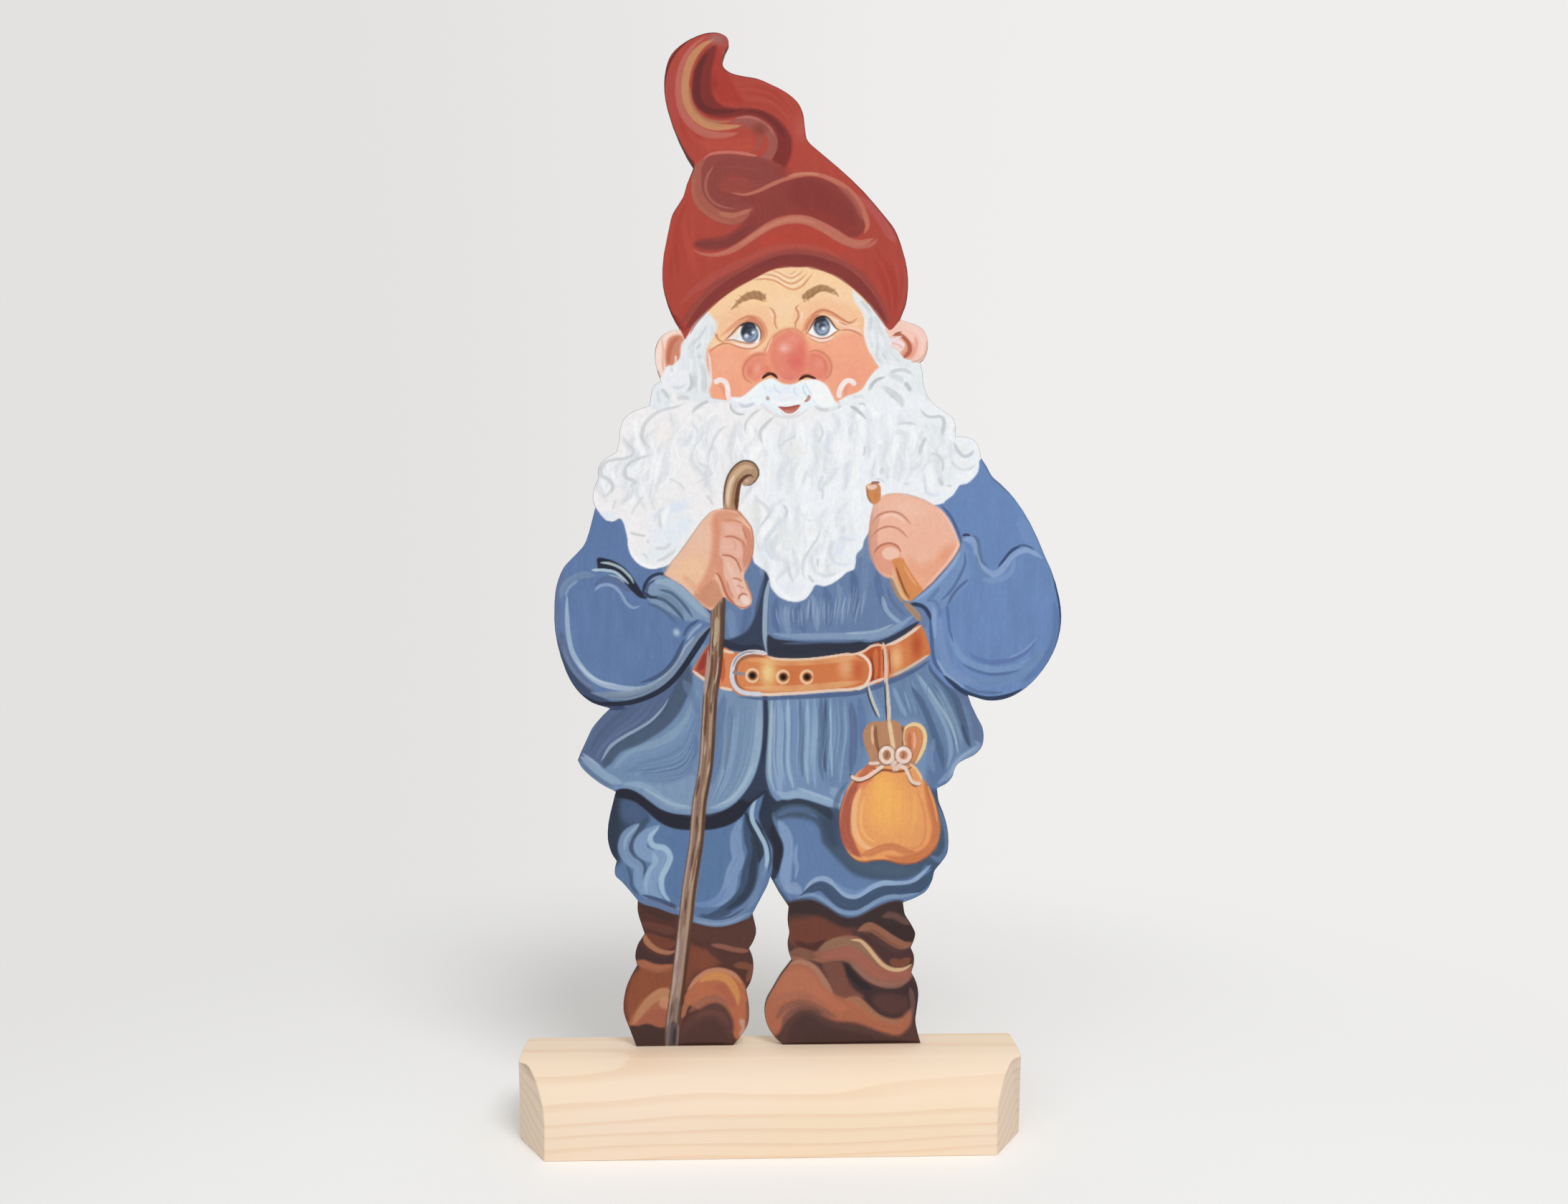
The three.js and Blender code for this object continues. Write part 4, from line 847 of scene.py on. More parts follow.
def paintBelt(c):
    b = beltPaint
    # shade under the belt
    c.line("-18,187 -4,186 10,186.6 30,187.6 46,189 56,192 68,196.6 78,201.4 86,206.6", (1.9, 2.8),
        (78, 96, 134), 0.9, 0.8)
    c.fill(shapes["belt"], b["leather"])
    # left end, in the shade of the sleeve
    c.fill("-41,200.6 -36.4,210.6 -33.4,214.6 -30,214.4 -28,195 -34,196 -38,198.4", (184, 82, 60), 0.6)
    c.line("-38.6,201.4 -36,206 -34.4,210.6", 3.4, (158, 58, 46), 1.2, 0.9)
    c.line("-42,201.2 -38,198 -33.4,195.2 -30.6,194", 1.7, b["edge"], 0.35, 0.95)
    c.fill("-27,212.4 -20.6,210.6 -21.4,204 -21.4,198 -20,191 -26,191.8 -27.6,193", (230, 134, 84), 0.5)
    c.line("-26.4,209.8 -25.6,202 -26,195", 2.2, (206, 92, 52), 0.8, 0.85)
    c.line("-27,212.4 -23,211.2 -19.6,210.6", 1.6, (246, 212, 180), 0.35, 0.95)
    c.line("-27.4,192 -23.6,191.2 -20.6,190.6", 1.6, b["edge"], 0.35, 0.95)
    # the strap between the buckle and the tongue's end
    c.fill("-19.6,209.6 -12,209.6 -6,209.4 -2,207.8 2,206.4 6,206 6,189.4 0,189 -10,189 -17,189.8 -19.6,193",
        (228, 134, 78), 0.5)
    c.line("-13,206.6 -4,206.4 6,205.4 16,205.4 26,206 36,207 44,208 49,206", 3.3, (238, 162, 102), 0.9, 0.9)
    c.line("-14,192 -4,191.4 8,191.4 20,192 32,193 42,194 49,195.4", 3.3, (240, 170, 112), 0.9, 0.85)
    c.within(shapes["belt"])
    c.glow(-1.6, 200, 7, 12, (255, 208, 136), 1.0)
    c.glow(12, 199, 6, 12, (218, 116, 66), 0.65)
    c.glow(26.5, 200, 9, 12, (222, 124, 74), 0.7)
    c.glow(40, 203, 7, 12, (246, 172, 120), 0.85)
    c.glow(47, 201, 5, 11, (208, 100, 60), 0.85)
    c.within()
    # the tongue's end and the keeper
    c.fill("50,211.4 54,214 58.6,214.8 58.6,195.4 55,194.4 52.4,193.6 53.6,197 53.8,202 52.6,207",
        (196, 86, 48), 0.5)
    c.line("56.4,213 56.4,204 56.4,196.4", 2.6, (222, 122, 68), 0.7, 0.85)
    c.line("46,210.6 50,208.6 53,205 53.6,200.6 52.6,196 49.6,192.2 46,190.8", 1.5, (250, 222, 194), 0.35,
        0.97, (0.05, 0.05))
    c.line("53.6,208.6 55,203 54.8,197 53,193.4", 1.1, (140, 52, 36), 0.4, 0.8)
    # the strap beyond the strings
    c.within(shapes["belt"])
    c.glow(67.6, 207.6, 6, 12, (248, 182, 122), 1.0)
    c.glow(73.4, 210.6, 4, 12, (226, 134, 80), 0.7)
    c.glow(78.6, 214.6, 5, 12, (194, 84, 48), 0.95)
    c.within()
    c.line("61.4,214.4 66,215.8 71,218.4 76,221.8 80.8,225.2", 1.7, (249, 216, 186), 0.4, 0.95)
    c.line("64,198 70,200.4 76,203.6 81,206.8 85.4,209.6", 1.6, (216, 196, 172), 0.4, 0.9)
    # outlines along the strap
    c.line("-2,208.8 2,207.4 8,207 16,207 24,207.5 32,208.5 40,209.7 45,209.8 50,211.4 54,214 58,214.8 "
        "61,214.4", 1.3, (246, 206, 172), 0.35, 0.95, (0.05, 0.05))
    c.line("-12,188.4 -2,188.2 6,188.5 15,189 24,189.6 34,190.4 44,191 50,192.6 56,195 62,197", 1.6,
        b["edge"], 0.35, 0.95, (0.05, 0.05))
    # the buckle
    ring = (
        "-2,209.9 -6,210.9 -11,211.1 -16,209.6 -19.4,206.2 -20.8,201.6 -20.8,196.4 -19,192.2 -15.6,189.6 "
        "-10,188.6 -4,188.6"
    )
    c.line("-3,208.2 -8,209 -12.6,208.6 -16.4,206.6 -18.6,202.6 -18.8,197 -17.2,192.8 -14,191", 1.4,
        (150, 96, 74), 0.5, 0.85)
    c.line(ring, 2.3, (222, 216, 212), 0.35, 1, (0.05, 0.05))
    c.line("-8,211.2 -13.6,210.8 -18.2,207.8 -20.6,203", 0.9, (140, 138, 142), 0.35, 0.85)
    c.line("-20.6,200.2 -15,199.2 -10.6,198.4", 1.6, (150, 140, 138), 0.35, 0.97, (0.05, 0.2))
    for x, z, r in ((-9.9, 198.4, 2.1), (6.6, 197.6, 2.0), (19.4, 197.6, 1.9)):
        c.line([(x + 3.3 * math.cos(a), z + 3.3 * math.sin(a)) for a in np.linspace(0, 6.2, 9)], 1.5,
            (255, 206, 158), 0.5, 0.9)
        c.glow(x, z, r + 1.2, r + 1.2, (22, 16, 14), 1.0)
        c.glow(x, z, r + 0.4, r + 0.4, (12, 10, 10), 1.0)
    # the pouch's strings over the belt
    c.line("60.4,216 61.4,210 62,203 62,196 62.4,190 63,182 63.4,174", 2, (240, 196, 168), 0.35, 0.97,
        (0.05, 0.05))
    c.line("62.2,196.6 62.8,190 63.6,182 64.2,174", 1.7, (204, 203, 196), 0.35, 0.97)
    c.line("61.4,195 61.6,188 62,180 62.2,174", 0.9, (54, 56, 66), 0.35, 0.9)
    c.line("63.4,213 64,206 64.2,199", 0.7, (150, 64, 38), 0.35, 0.8)
    c.line("60.2,213 60.6,206 60.8,199", 0.8, (152, 62, 36), 0.35, 0.85)
    c.line("52.4,193 53.6,188 55.8,182 58.6,175.6", 1.6, (208, 206, 200), 0.35, 0.95)
    c.line("51.6,192 52.6,187 54.6,181.4 57.4,175.4", 1, (58, 62, 78), 0.35, 0.9)


beardPaint = {
    "warm": (241, 239, 238),
    "cool": (238, 242, 245),
    "dark": (196, 201, 203),
    "grey": (208, 211, 212),
    "mid": (217, 219, 221),
    "soft": (226, 229, 231),
    "dusk": (220, 226, 233),
    "light": (245, 247, 249),
}


def paintStrokes(c, table, soft, alpha, fade=0.2):
    for path, width, tone in table:
        c.line(path, width, beardPaint[tone], soft, alpha, (0.25, 0.25), 0.05, fade=fade)


def paintBeard(c):
    b = beardPaint
    c.within(shapes["beard_left"], shapes["beard_right"])
    c.fill(shapes["beard_left"], b["warm"], 0.2, 1, 0.008)
    c.fill(shapes["beard_right"], b["warm"], 0.2, 1, 0.008)
    c.fill("-2,322 -6,300 -10,262 4,230 14,226 24,236 46,246 60,262 100,280 125,300 125,370 84,380 60,380 "
        "40,350 24,336 8,332", b["cool"], 8, 0.9, 0.008)
    # thin brush marks that follow the locks
    for first, last, many, seed in (
        ("-90,318 -92,304 -88,290", "-40,344 -44,322 -56,286", 34, 41),
        ("-40,344 -42,322 -40,296", "2,334 0,314 -2,286", 26, 44),
        ("-6,298 -4,276 2,250", "48,290 44,272 34,250", 34, 45),
        ("4,332 6,314 2,294", "50,344 48,322 44,296", 30, 46),
        ("52,346 54,322 56,302", "100,334 102,318 94,300", 34, 50),
    ):
        c.hair(first, last, many // 6, 7.6, [b["light"], (242, 244, 246)], 0.7, 4.2, 3.2, seed + 40, 0.12,
            0.08, (3.4, 5), (213, 217, 221))
        c.hair(first, last, many, 1.4, [(248, 249, 250), (228, 231, 233), (245, 246, 248), (231, 233, 235)],
            0.5, 3.4, 1.0, seed, 0.3, 0.03, (2.6, 4.6))
    # cool shades of the big locks
    for x, z, rx, rz, colour, alpha, turn in (
        (-55, 274, 15, 20, (229, 237, 243), 0.9, 0), (-62, 264, 12, 8, (228, 235, 240), 0.8, 20),
        (-50, 289, 12, 6, (222, 230, 243), 0.95, 20), (-46, 279, 6, 9, (224, 233, 244), 0.9, -30),
        (-87, 284, 7, 4, (228, 235, 246), 0.9, 0), (-57, 327, 10, 11, (242, 238, 234), 0.8, 0),
        (-45, 325, 4, 6, (226, 230, 236), 0.8, -20), (10, 272, 12, 12, (232, 235, 235), 0.9, 0),
        (0, 268, 3.4, 8, (219, 226, 233), 0.9, 10), (10, 246, 10, 5, (230, 234, 240), 0.7, 0),
        (-8, 286, 6, 9, (232, 232, 228), 0.9, 0), (14, 320, 8, 9, (236, 235, 230), 0.7, 0),
        (12, 296, 5, 13, (232, 236, 238), 0.8, 0), (37, 266, 5, 7, (224, 230, 241), 0.9, -15),
        (44, 273, 8, 3, (229, 237, 245), 0.9, 0), (46, 259, 3, 3, (222, 230, 240), 0.8, 0),
        (31, 312, 4, 13, (232, 236, 238), 0.8, 0), (88, 330, 9, 13, (229, 235, 236), 0.9, 10),
        (96, 306, 5, 8, (229, 235, 236), 0.8, 0), (70, 347, 4, 5, (223, 227, 227), 0.9, 20),
        (104, 321, 5, 4, (233, 235, 231), 0.9, 0), (104, 313, 5, 2, (240, 236, 233), 0.8, 0),
        (76, 338, 10, 5, (232, 237, 238), 0.8, 0), (56, 330, 9, 14, (236, 240, 243), 0.7, 0),
        (68, 311, 2, 8, (234, 236, 240), 0.9, 0), (-4, 263, 6, 6, (232, 239, 246), 0.8, 0),
        (90, 296, 7, 3, (230, 238, 247), 0.8, 0), (22, 277, 4, 4, (235, 235, 230), 0.8, 0),
    ):
        c.glow(x, z, rx, rz, colour, alpha, turn)
    # broad soft shadows between the locks
    shadows = [
        ("-42.6,336 -41.6,332.8 -39.4,330.4 -38.7,327.6 -39.4,324.8 -40.8,322.2 -43,320.6", 2.0, "dusk"),
        ("-42.4,331 -42.6,327.6 -43.6,325.4 -45.8,322.6 -48.6,321.2", 2.2, "dusk"),
        ("-17.3,336.6 -16.8,331.6 -16.2,326.6 -15.7,322.8", 2.6, "soft"),
        ("-3.8,320.6 -2.8,318.2 -2.3,315.6", 2.0, "soft"),
        ("10.4,314.4 8.2,311 6.6,307.4 5.4,304.4 4.2,301.8", (1.2, 3.0), "dusk"),
        ("15.1,314.4 12.9,310 11.4,306 10.8,300", 2.4, "soft"),
        ("19.8,309 18.2,305.2 17,300.6", 2.0, "soft"),
        ("31.9,331 30.8,326.8 30.1,323.6 29.8,320 31.4,318.4 33.6,316.8", (1.4, 2.8, 1.6), "dusk"),
        ("28.4,306.4 26.6,303 25.8,300 26.6,297", 2.2, "dusk"), ("29.6,318 29.2,312 29,306", 2.4, "soft"),
        ("22.6,323 23.6,318.6 24,314", 2.0, "soft"),
        ("40.3,338.8 43.5,337 46.6,334.4", 1.6, "soft"), ("58.4,323.8 59.2,319.6 59,315", 1.8, "soft"),
        ("60.6,310.2 59,306.6", 2.8, "mid"),
        ("7.4,289 8.2,286 7.6,283 5.4,280.4 2.6,278 -0.4,275.2 -2.3,272.4 -2.7,269.6 -2.2,266.8 -0.7,263.8 "
         "1.6,261.2 5,259.4", (1.6, 2.4, 3.6, 2.4), "dusk"),
        ("14,286.6 17.2,284.2 19.8,282 22.6,281.8 27,282.6", 1.6, "soft"),
        ("24.5,254 26.6,252.6 29.8,252 32.9,252.6 35.8,253.8", 2.2, "dusk"),
        ("34.8,272 33.2,268.6 32.2,265.4 32.4,262.2 33.9,259.6 36.6,258.2 39.8,257.8 43.6,258.8", 2.0,
         "dusk"),
        ("36.4,272.6 41,271.8 46,271.4", 1.6, "dusk"),
        ("39.4,279.4 38.6,274.6", 2.0, "soft"), ("63,359 66.6,359.4 70,358 72,356", 3.2, "soft"),
        ("58,353.8 61.2,353.4 63.8,351.6 66.4,349.6 69,347.2 70.6,344.6 70.8,341.6", (1.6, 4.4, 2.0), "mid"),
        ("68.4,317.4 67.4,311.6 66.8,306.4 67.4,302.6", 2.0, "soft"),
        ("81.2,308 82.6,304.8 82.9,301.6 83.5,297.8 84.6,296.2 87.6,295.4 92,295.8", 1.5, "dusk"),
        ("-56.4,289 -61,285 -63,280", 2.4, "dusk"), ("-53.4,319 -55.1,316 -56.9,311.8", 1.6, "soft"),
        ("83.4,351 84,346.4", 1.6, "soft"),
        ("66,329 70,329.4 74,328", 2.0, "soft"), ("73.6,325 72,321.4", 2.0, "soft"),
        ("98.6,329 99.6,333", 1.4, "soft"),
    ]
    paintStrokes(c, shadows, 1.5, 0.9, 0.12)
    # white crests of the locks
    crests = [
        ("-59.6,319 -61.8,311 -62.9,302.6", 5, "light"), ("-72,337 -72.4,330 -71.6,324", 3, "light"),
        ("-86,309 -84,304 -81,300", 2.6, "light"),
        ("-6.2,337.4 -9.6,334 -10.8,330 -9.4,325", 3, "light"),
        ("4.4,334 0,331 -2,327 -1.2,322 1.6,317 3.4,312", (1.6, 3, 3.4), "light"),
        ("2.6,294 3.6,288 1.9,283.8 -0.8,280 -3.6,276.2 -5.8,271.6 -6,266", 3.6, "light"),
        ("15.6,287.4 19.6,289 24,286.4 28,285.6", 3.4, "light"),
        ("17.6,297 20,301 21,306", 3, "light"), ("31,276 30,270 28.8,263 28.2,257", 2.6, "light"),
        ("37,312 39.6,318 41,326", 4.4, "light"),
        ("47,300 46,292 47,284", 5, "light"), ("33,300 32.6,292 33,286", 3.4, "light"),
        ("55,320 54,314 53,309", 2.6, "light"),
        ("58.9,356.4 62.6,356 66.3,354.4 69.6,352.2 72.7,349 74.3,345.4", (1.6, 3.6, 2.0), "light"),
        ("54,348 56,342 55,336", 3.6, "light"),
        ("66,331 71.1,331.8 75.6,330 77,326 76.3,321.6 76.3,317.6", 3.6, "light"),
        ("84.6,314 85.6,309 86.6,303 88,299", 4.2, "light"),
        ("101,304.6 106,305.4 109.6,309", 3, "light"),
        ("-75.6,268.8 -74,264.2 -70.7,260 -66.2,257 -61.8,256.2 -57.2,257.4", 2.6, "light"),
        ("-54.6,290 -57,284 -57.6,278", 2.6, "light"),
        ("-1.6,258 1.4,250 5.6,242.6 11,239.6 17,241.6", 2, "light"),
        ("29,249.6 35,251 40,254", 2.2, "light"),
        ("-26,340 -31,339.6 -35.6,336.4", 3, "light"), ("79,352 81,346.6 84,342.6", 2.6, "light"),
        ("94.6,338 97,334 96.6,329", 2.2, "light"),
    ]
    paintStrokes(c, crests, 1.4, 0.75)
    # grey strokes that draw the curls
    curls = [
        ("-45,344.8 -48.4,343.4 -51.8,342.2 -55.7,341.4 -59.6,340.3 -62.9,338 -66.2,335 -68.2,331.7 "
         "-68.9,328.9 -69.2,326 -67.6,323.2 -65.7,321 -63.6,319.2", (1.4, 1.8, 2.6), "grey"),
        ("-62.6,317.2 -65.1,316.4 -68.4,315.6 -71.8,314.4 -74.6,313.2 -76.8,311 -77.9,308.8 -78.3,306.2 "
         "-76.8,304.3 -74.6,303.2 -72.8,302.3 -74,300.6 -76.4,298.4", (1.6, 1.6, 2.9), "grey"),
        ("-79.2,328.2 -78.7,325.6 -77.3,323.3 -75.4,321.6 -73.7,319.6 -73.8,317.2 -75.7,315.6 -77.9,314.8 "
         "-81.2,314.3 -85.1,313.9 -87.9,312.8 -89.8,311 -91.2,308.3 -90.7,305.6 -88.4,304.3 -86.2,302.7 "
         "-84.8,300.5 -84.7,298.4 -86.2,296.5 -88.4,294.7 -91.2,293.3", (1.6, 1.6, 2.4), "grey"),
        ("-24.8,345.3 -28.4,346.1 -31.8,346.1 -35.1,345.2 -38.4,343.2 -41.2,340.7 -42.6,337.6", 1.9, "dark"),
        ("-22.4,332.2 -25.1,331.6 -27.3,330 -29.3,327.5 -30.9,324.9 -31.8,322 -32.9,318.8 -33.8,314.2",
         (1.2, 1.8, 1.2), "mid"),
        ("-21.8,344.6 -21.5,342.2 -20.1,340.3 -17.9,338.9 -14.4,338.5", 1.3, "grey"),
        ("-5,342 -7.6,340.3 -10.7,337.9 -13.1,334.7 -13.9,331 -13.4,328", 1.4, "grey"),
        ("3.8,338 1.4,337.1 -1.3,334.7 -3.9,332.1 -5.7,329.5 -6,327.2 -5.2,324.6 -4,321.6", (1.3, 2.1, 1.6),
         "grey"),
        ("3.2,320.6 5.1,322.1 7.2,323.9 9.8,325.5 12.4,326.8 13.4,329.8", 1.1, "mid"),
        ("25.2,335.8 26.6,332.6 27.7,328.8 26.6,326.2 25.2,322.6", 1.4, "mid"),
        ("22.6,343.6 24.5,342.5 26.6,341.3 29.8,341 32.9,341.3 35.2,341.9", 1.5, "mid"),
        ("36,342.2 37.8,343.8", 1.4, "grey"),
        ("42,343.6 45.1,342.1 47.2,340.5 49.3,338.7 51.6,335.8", (1.4, 1.9, 1.4), "dark"),
        ("46.4,344.6 49.6,344.6 51,343", 1.1, "mid"),
        ("50.3,322.4 50.4,319 49.4,316", 1.4, "mid"), ("27.2,299.6 27.8,296.4 27.4,292.4", 1.5, "mid"),
        ("-9.9,296.6 -7.6,293.4 -4.9,291 -2.8,289.1 -1.3,287.6 -0.6,285.8 -2.1,283.2 -4.4,280.1 -7.3,276.8",
         (1.1, 2.0, 1.3), "mid"),
        ("6.2,290.4 7.9,288 8.4,285.8 7.4,283", 1.5, "grey"), ("0.2,271.6 0.5,268.6 1.2,265.6", 1.4, "mid"),
        ("27,278.6 26.1,274.9 25.1,272.2 22.9,269.1 20.8,265.9 18.7,262.7 17.6,259.6 17.1,256 17.3,252.8 "
         "18.7,250.1 20,248.4", (1.2, 1.7, 1.7), "mid"),
        ("20.2,252.6 21.4,250.2 23.4,248.4", 1.7, "grey"),
        ("9.2,259 9.8,254.9 10.8,251.2 12,248.2", 1.7, "mid"), ("25.4,261.6 25,259.2 25.4,256.8", 1.5, "mid"),
        ("52,351 53.2,352.9 54.7,355.4 56.8,357.3 59.5,358.5 62.2,359.4", (2.2, 1.6), "dark"),
        ("62.6,359.6 65.8,362 68.9,362.8 72.1,362.8 74.7,361.5 77.6,359.6", 2.1, "mid"),
        ("71.4,356.6 72.8,355.3 74.2,353.5 75.6,351.2", 2.2, "dark"),
        ("61.2,353.4 63.8,351.8 66.4,349.6", 1.4, "grey"),
        ("79.8,343.2 81.6,340.2 84.2,338.1 87.4,337.6 90.5,338 92.6,337.1 93.3,334.6 92.7,331 92.1,326.6",
         (1.3, 1.4, 2.9), "dark"),
        ("67.6,333.4 70.5,334.4 74.2,334.3 76.8,333.9 79,332.4", (1.8, 1.2), "mid"),
        ("83.4,327.6 82.1,323.8 80.8,321.2 80.2,316.8", 2.1, "grey"),
        ("85.1,316.6 86.8,317.8 88.9,317.6 91.1,316 92.6,313.3 92.7,310 92.1,307", 1.6, "grey"),
        ("90,305.4 91.2,303 92.9,300.6", 2.2, "grey"), ("94.4,300.9 97.6,300.3", 1.5, "mid"),
        ("98.7,324.8 100,321.2 102.1,318 104.7,316.5 107.9,317.8 110.2,320.6", 1.9, "dark"),
        ("97.4,315.6 98.4,312.3 101.1,310.2 104.7,309.4 107.9,310.1 110.8,312.8", (1.8, 1.3), "mid"),
        ("71.4,301.8 74.6,301.4", 1.2, "mid"), ("55.4,304.4 59,303.8 62,301.6", 1.1, "mid"),
        ("-67.4,295 -69.6,292.8 -72.3,289.4 -74,286.6 -75.2,283.8", 1.5, "mid"),
        ("-82.8,292.6 -84,289.4 -84.8,287.2", 1.4, "mid"),
        ("-59.8,286 -59.8,281.6 -59,276.8", 2.0, "mid"),
        ("-53,270.4 -55.1,267.8 -57.3,266.6 -62.4,266.8", 1.5, "mid"),
        ("-50.8,267 -52.9,264.3 -55.1,262.7 -57.9,261 -61.8,259.8", 1.8, "mid"),
        ("-68.6,264.6 -67.3,262.8 -65.5,260.8", 1.4, "mid"), ("-65.7,271.6 -65.7,269", 1.5, "mid"),
        ("-35.4,295.6 -32.6,293 -31,289.6", 1.4, "mid"),
        ("-39.8,314.1 -37.3,311.7 -34.6,310 -32.2,307.8 -31.8,306.3 -34,305 -37.3,303.1 -41,301", 1.2, "mid"),
        ("-55.4,304.3 -51.8,302.8 -48.4,300.6 -46.8,298.2 -48.2,296.4", 1.2, "mid"),
        ("-76,275.4 -72.6,274.2 -68.4,273.4 -66.4,273.4", 1.2, "dark"),
    ]
    paintStrokes(c, curls, 0.8, 0.95, 0.14)
    c.within()


def paintLocks(c):
    b = beardPaint
    side = (235, 240, 243)
    # hair beside the left cheek, with the tuft that hides the ear's lobe
    c.fill("-46,378! -46,384 -40,390 -35,394.6 -32.4,391.6 -29.8,388.6 -29.2,385.4 -30.4,382 -32.4,378.4 "
        "-34,375 -35,369 -33.6,362 -31.6,357 -33,352 -32,346.6! -42,345 -50,347! -52,352 -50,362 -48,370 "
        "-48,376", side, 1.2, 1, 0.01)
    c.hair("-45,384 -44,372 -42.6,360 -43,348", "-32,391 -35.4,374 -34,348", 14, 1.1,
        [(227, 232, 234), (246, 248, 249), (238, 242, 244), (223, 229, 231)], 0.6, 0.5, 0.6, 47, 0.08)
    paintStrokes(c, [
        ("-37.6,367 -36.9,363.8 -36.2,360.2 -35.9,356.6 -35.9,353 -36.2,348.6", 3.2, "mid"),
        ("-39.2,371 -37.6,368", 2.2, "mid"), ("-41,360.6 -40.6,356 -41.4,352", 2.4, "mid"),
        ("-51,346.4 -46.6,347.6 -43,346.4", 2.2, "mid"), ("-32.6,386.6 -31.6,383 -33,379.4", 1.8, "soft"),
    ], 1.1, 0.9)
    paintStrokes(c, [
        ("-36.4,390.4 -39.4,384.6 -43,379.4 -45.1,375.4 -45.9,371.6 -45.1,367.6", (2.0, 2.8, 1.6), "light"),
        ("-35.4,381.4 -36.6,377.6 -36.8,373.6", 2.2, "light"),
        ("-39.9,366 -38.4,362 -38,358.4 -38.4,353.8 -37.6,348.4", 2.2, "light"),
        ("-43.6,369 -42.6,364 -42.8,360", 2.0, "light"),
    ], 0.8, 0.75)
    paintStrokes(c, [
        ("-34.4,388.4 -34.9,385.4 -37.3,381.4 -40.1,378.1 -43,375.5 -44.5,372.4", (1.2, 1.6), "mid"),
        ("-37.2,376.9 -40.3,373.2", (1.8, 1.2), "grey"),
        ("-43.5,361.4 -42.8,357.8 -42.5,354.8 -43.4,352.3 -45.6,350.2", 1.9, "grey"),
    ], 0.6, 0.9)
    c.line("-33.6,372 -32.7,365.6 -32.3,360.2 -32.6,352.6", 1.3, (244, 231, 227), 0.6, 0.85)
    c.line("-29,389 -28.6,385.6 -30,382 -32,378 -33.6,374", 0.9, (240, 228, 220), 0.5, 0.8)
    c.fill("-50.2,366 -51.6,364.4 -55,364.6 -57.6,361 -57.8,356.6 -56.4,352.6 -52.4,350.4 -48,350.2 "
        "-44.8,352.4 -43.8,357 -44.8,361.4 -47.6,361.8 -49.4,363.6", (244, 245, 250), 0.7, 1, 0.01)
    c.fill("-64,353 -58.8,355.6 -57,351.6 -53.6,349.6 -54,344 -60,341 -66,343.6", (234, 241, 246), 0.9, 0.95,
        0.01)
    c.line("-62.8,350.6 -62.6,346.4 -61,343", 1.8, b["light"], 0.8, 0.7)
    c.line("-60.6,351 -60.4,347.6 -59.2,344", 1.2, b["dusk"], 0.6, 0.9)
    c.line("-58.6,352 -56.4,349.6 -54.6,346.6", 1.7, b["grey"], 0.7, 0.9)
    c.line("-53,353.2 -49,352.6 -46,354.4", 1.8, b["dusk"], 0.9, 0.8)
    c.line("-56,357 -52.6,359.6 -50.4,364", 1.6, b["light"], 0.8, 0.8)
    c.line("-53.6,363.6 -52.6,361", 1.3, (216, 214, 222), 0.5, 0.8)
    # hair beside the right cheek, up to the brim
    c.fill("43.6,406! 44.4,402.6 46.6,398.6 49.6,394.6 51,390.6 50.6,386 50.2,382 51,377.6 52.8,373 "
        "56,367.6 58.4,363.6 60,358! 84,352! 84,366! 79,366.4 73.6,368.2 70,371 66.6,374.6 64.2,379.4 "
        "61.6,384.4 58,390.4 54,395.6 49.4,401!", side, 0.6, 1, 0.01)
    c.hair("47,402 51.6,390 53,378 60,365", "56,392 61,384 63.6,376 71,368", 14, 1.1,
        [(225, 231, 234), (246, 248, 249), (238, 241, 244), (221, 227, 231)], 0.6, 0.5, 0.6, 48, 0.08)
    paintStrokes(c, [
        ("48,400.9 50.4,398 52.7,395.3 54.3,392.4", 2.0, "mid"), ("53.2,392 53.5,388 53.2,383.6", 2.2, "mid"),
        ("56.6,392 56.8,387.6 57,383", 3.2, "soft"),
        ("57.2,378.4 57.5,374 56.9,369.8 60.2,366.4", 1.9, "mid"), ("59.6,372.4 62.6,368.4", 1.8, "mid"),
        ("67,369.6 69.6,366.8", 2.0, "soft"), ("54.4,378 54.8,374.4", 1.6, "soft"),
    ], 0.9, 0.85)
    paintStrokes(c, [("59.6,382 59.4,378 60.2,374", 2.6, "light"), ("62.4,368 68,365.6 74,365", 2.4, "light"),
        ("55.4,384.6 55.6,380", 1.6, "light")], 0.8, 0.7)
    c.line("44.4,404 45.2,400.2 47.9,396.4 50.2,392.6 51,388.6 50.6,384.2 51.5,378.8 53.5,373.4 56.6,368.4",
        1.5, (244, 239, 236), 0.5, 0.85)
    c.line("62.8,377.6 66.9,379.5 70.6,381.3", (2.0, 1.2), (240, 232, 234), 0.5, 0.85)
    c.line("63.4,376.2 66.9,374.6 71,375", 1.1, (238, 216, 208), 0.5, 0.8)
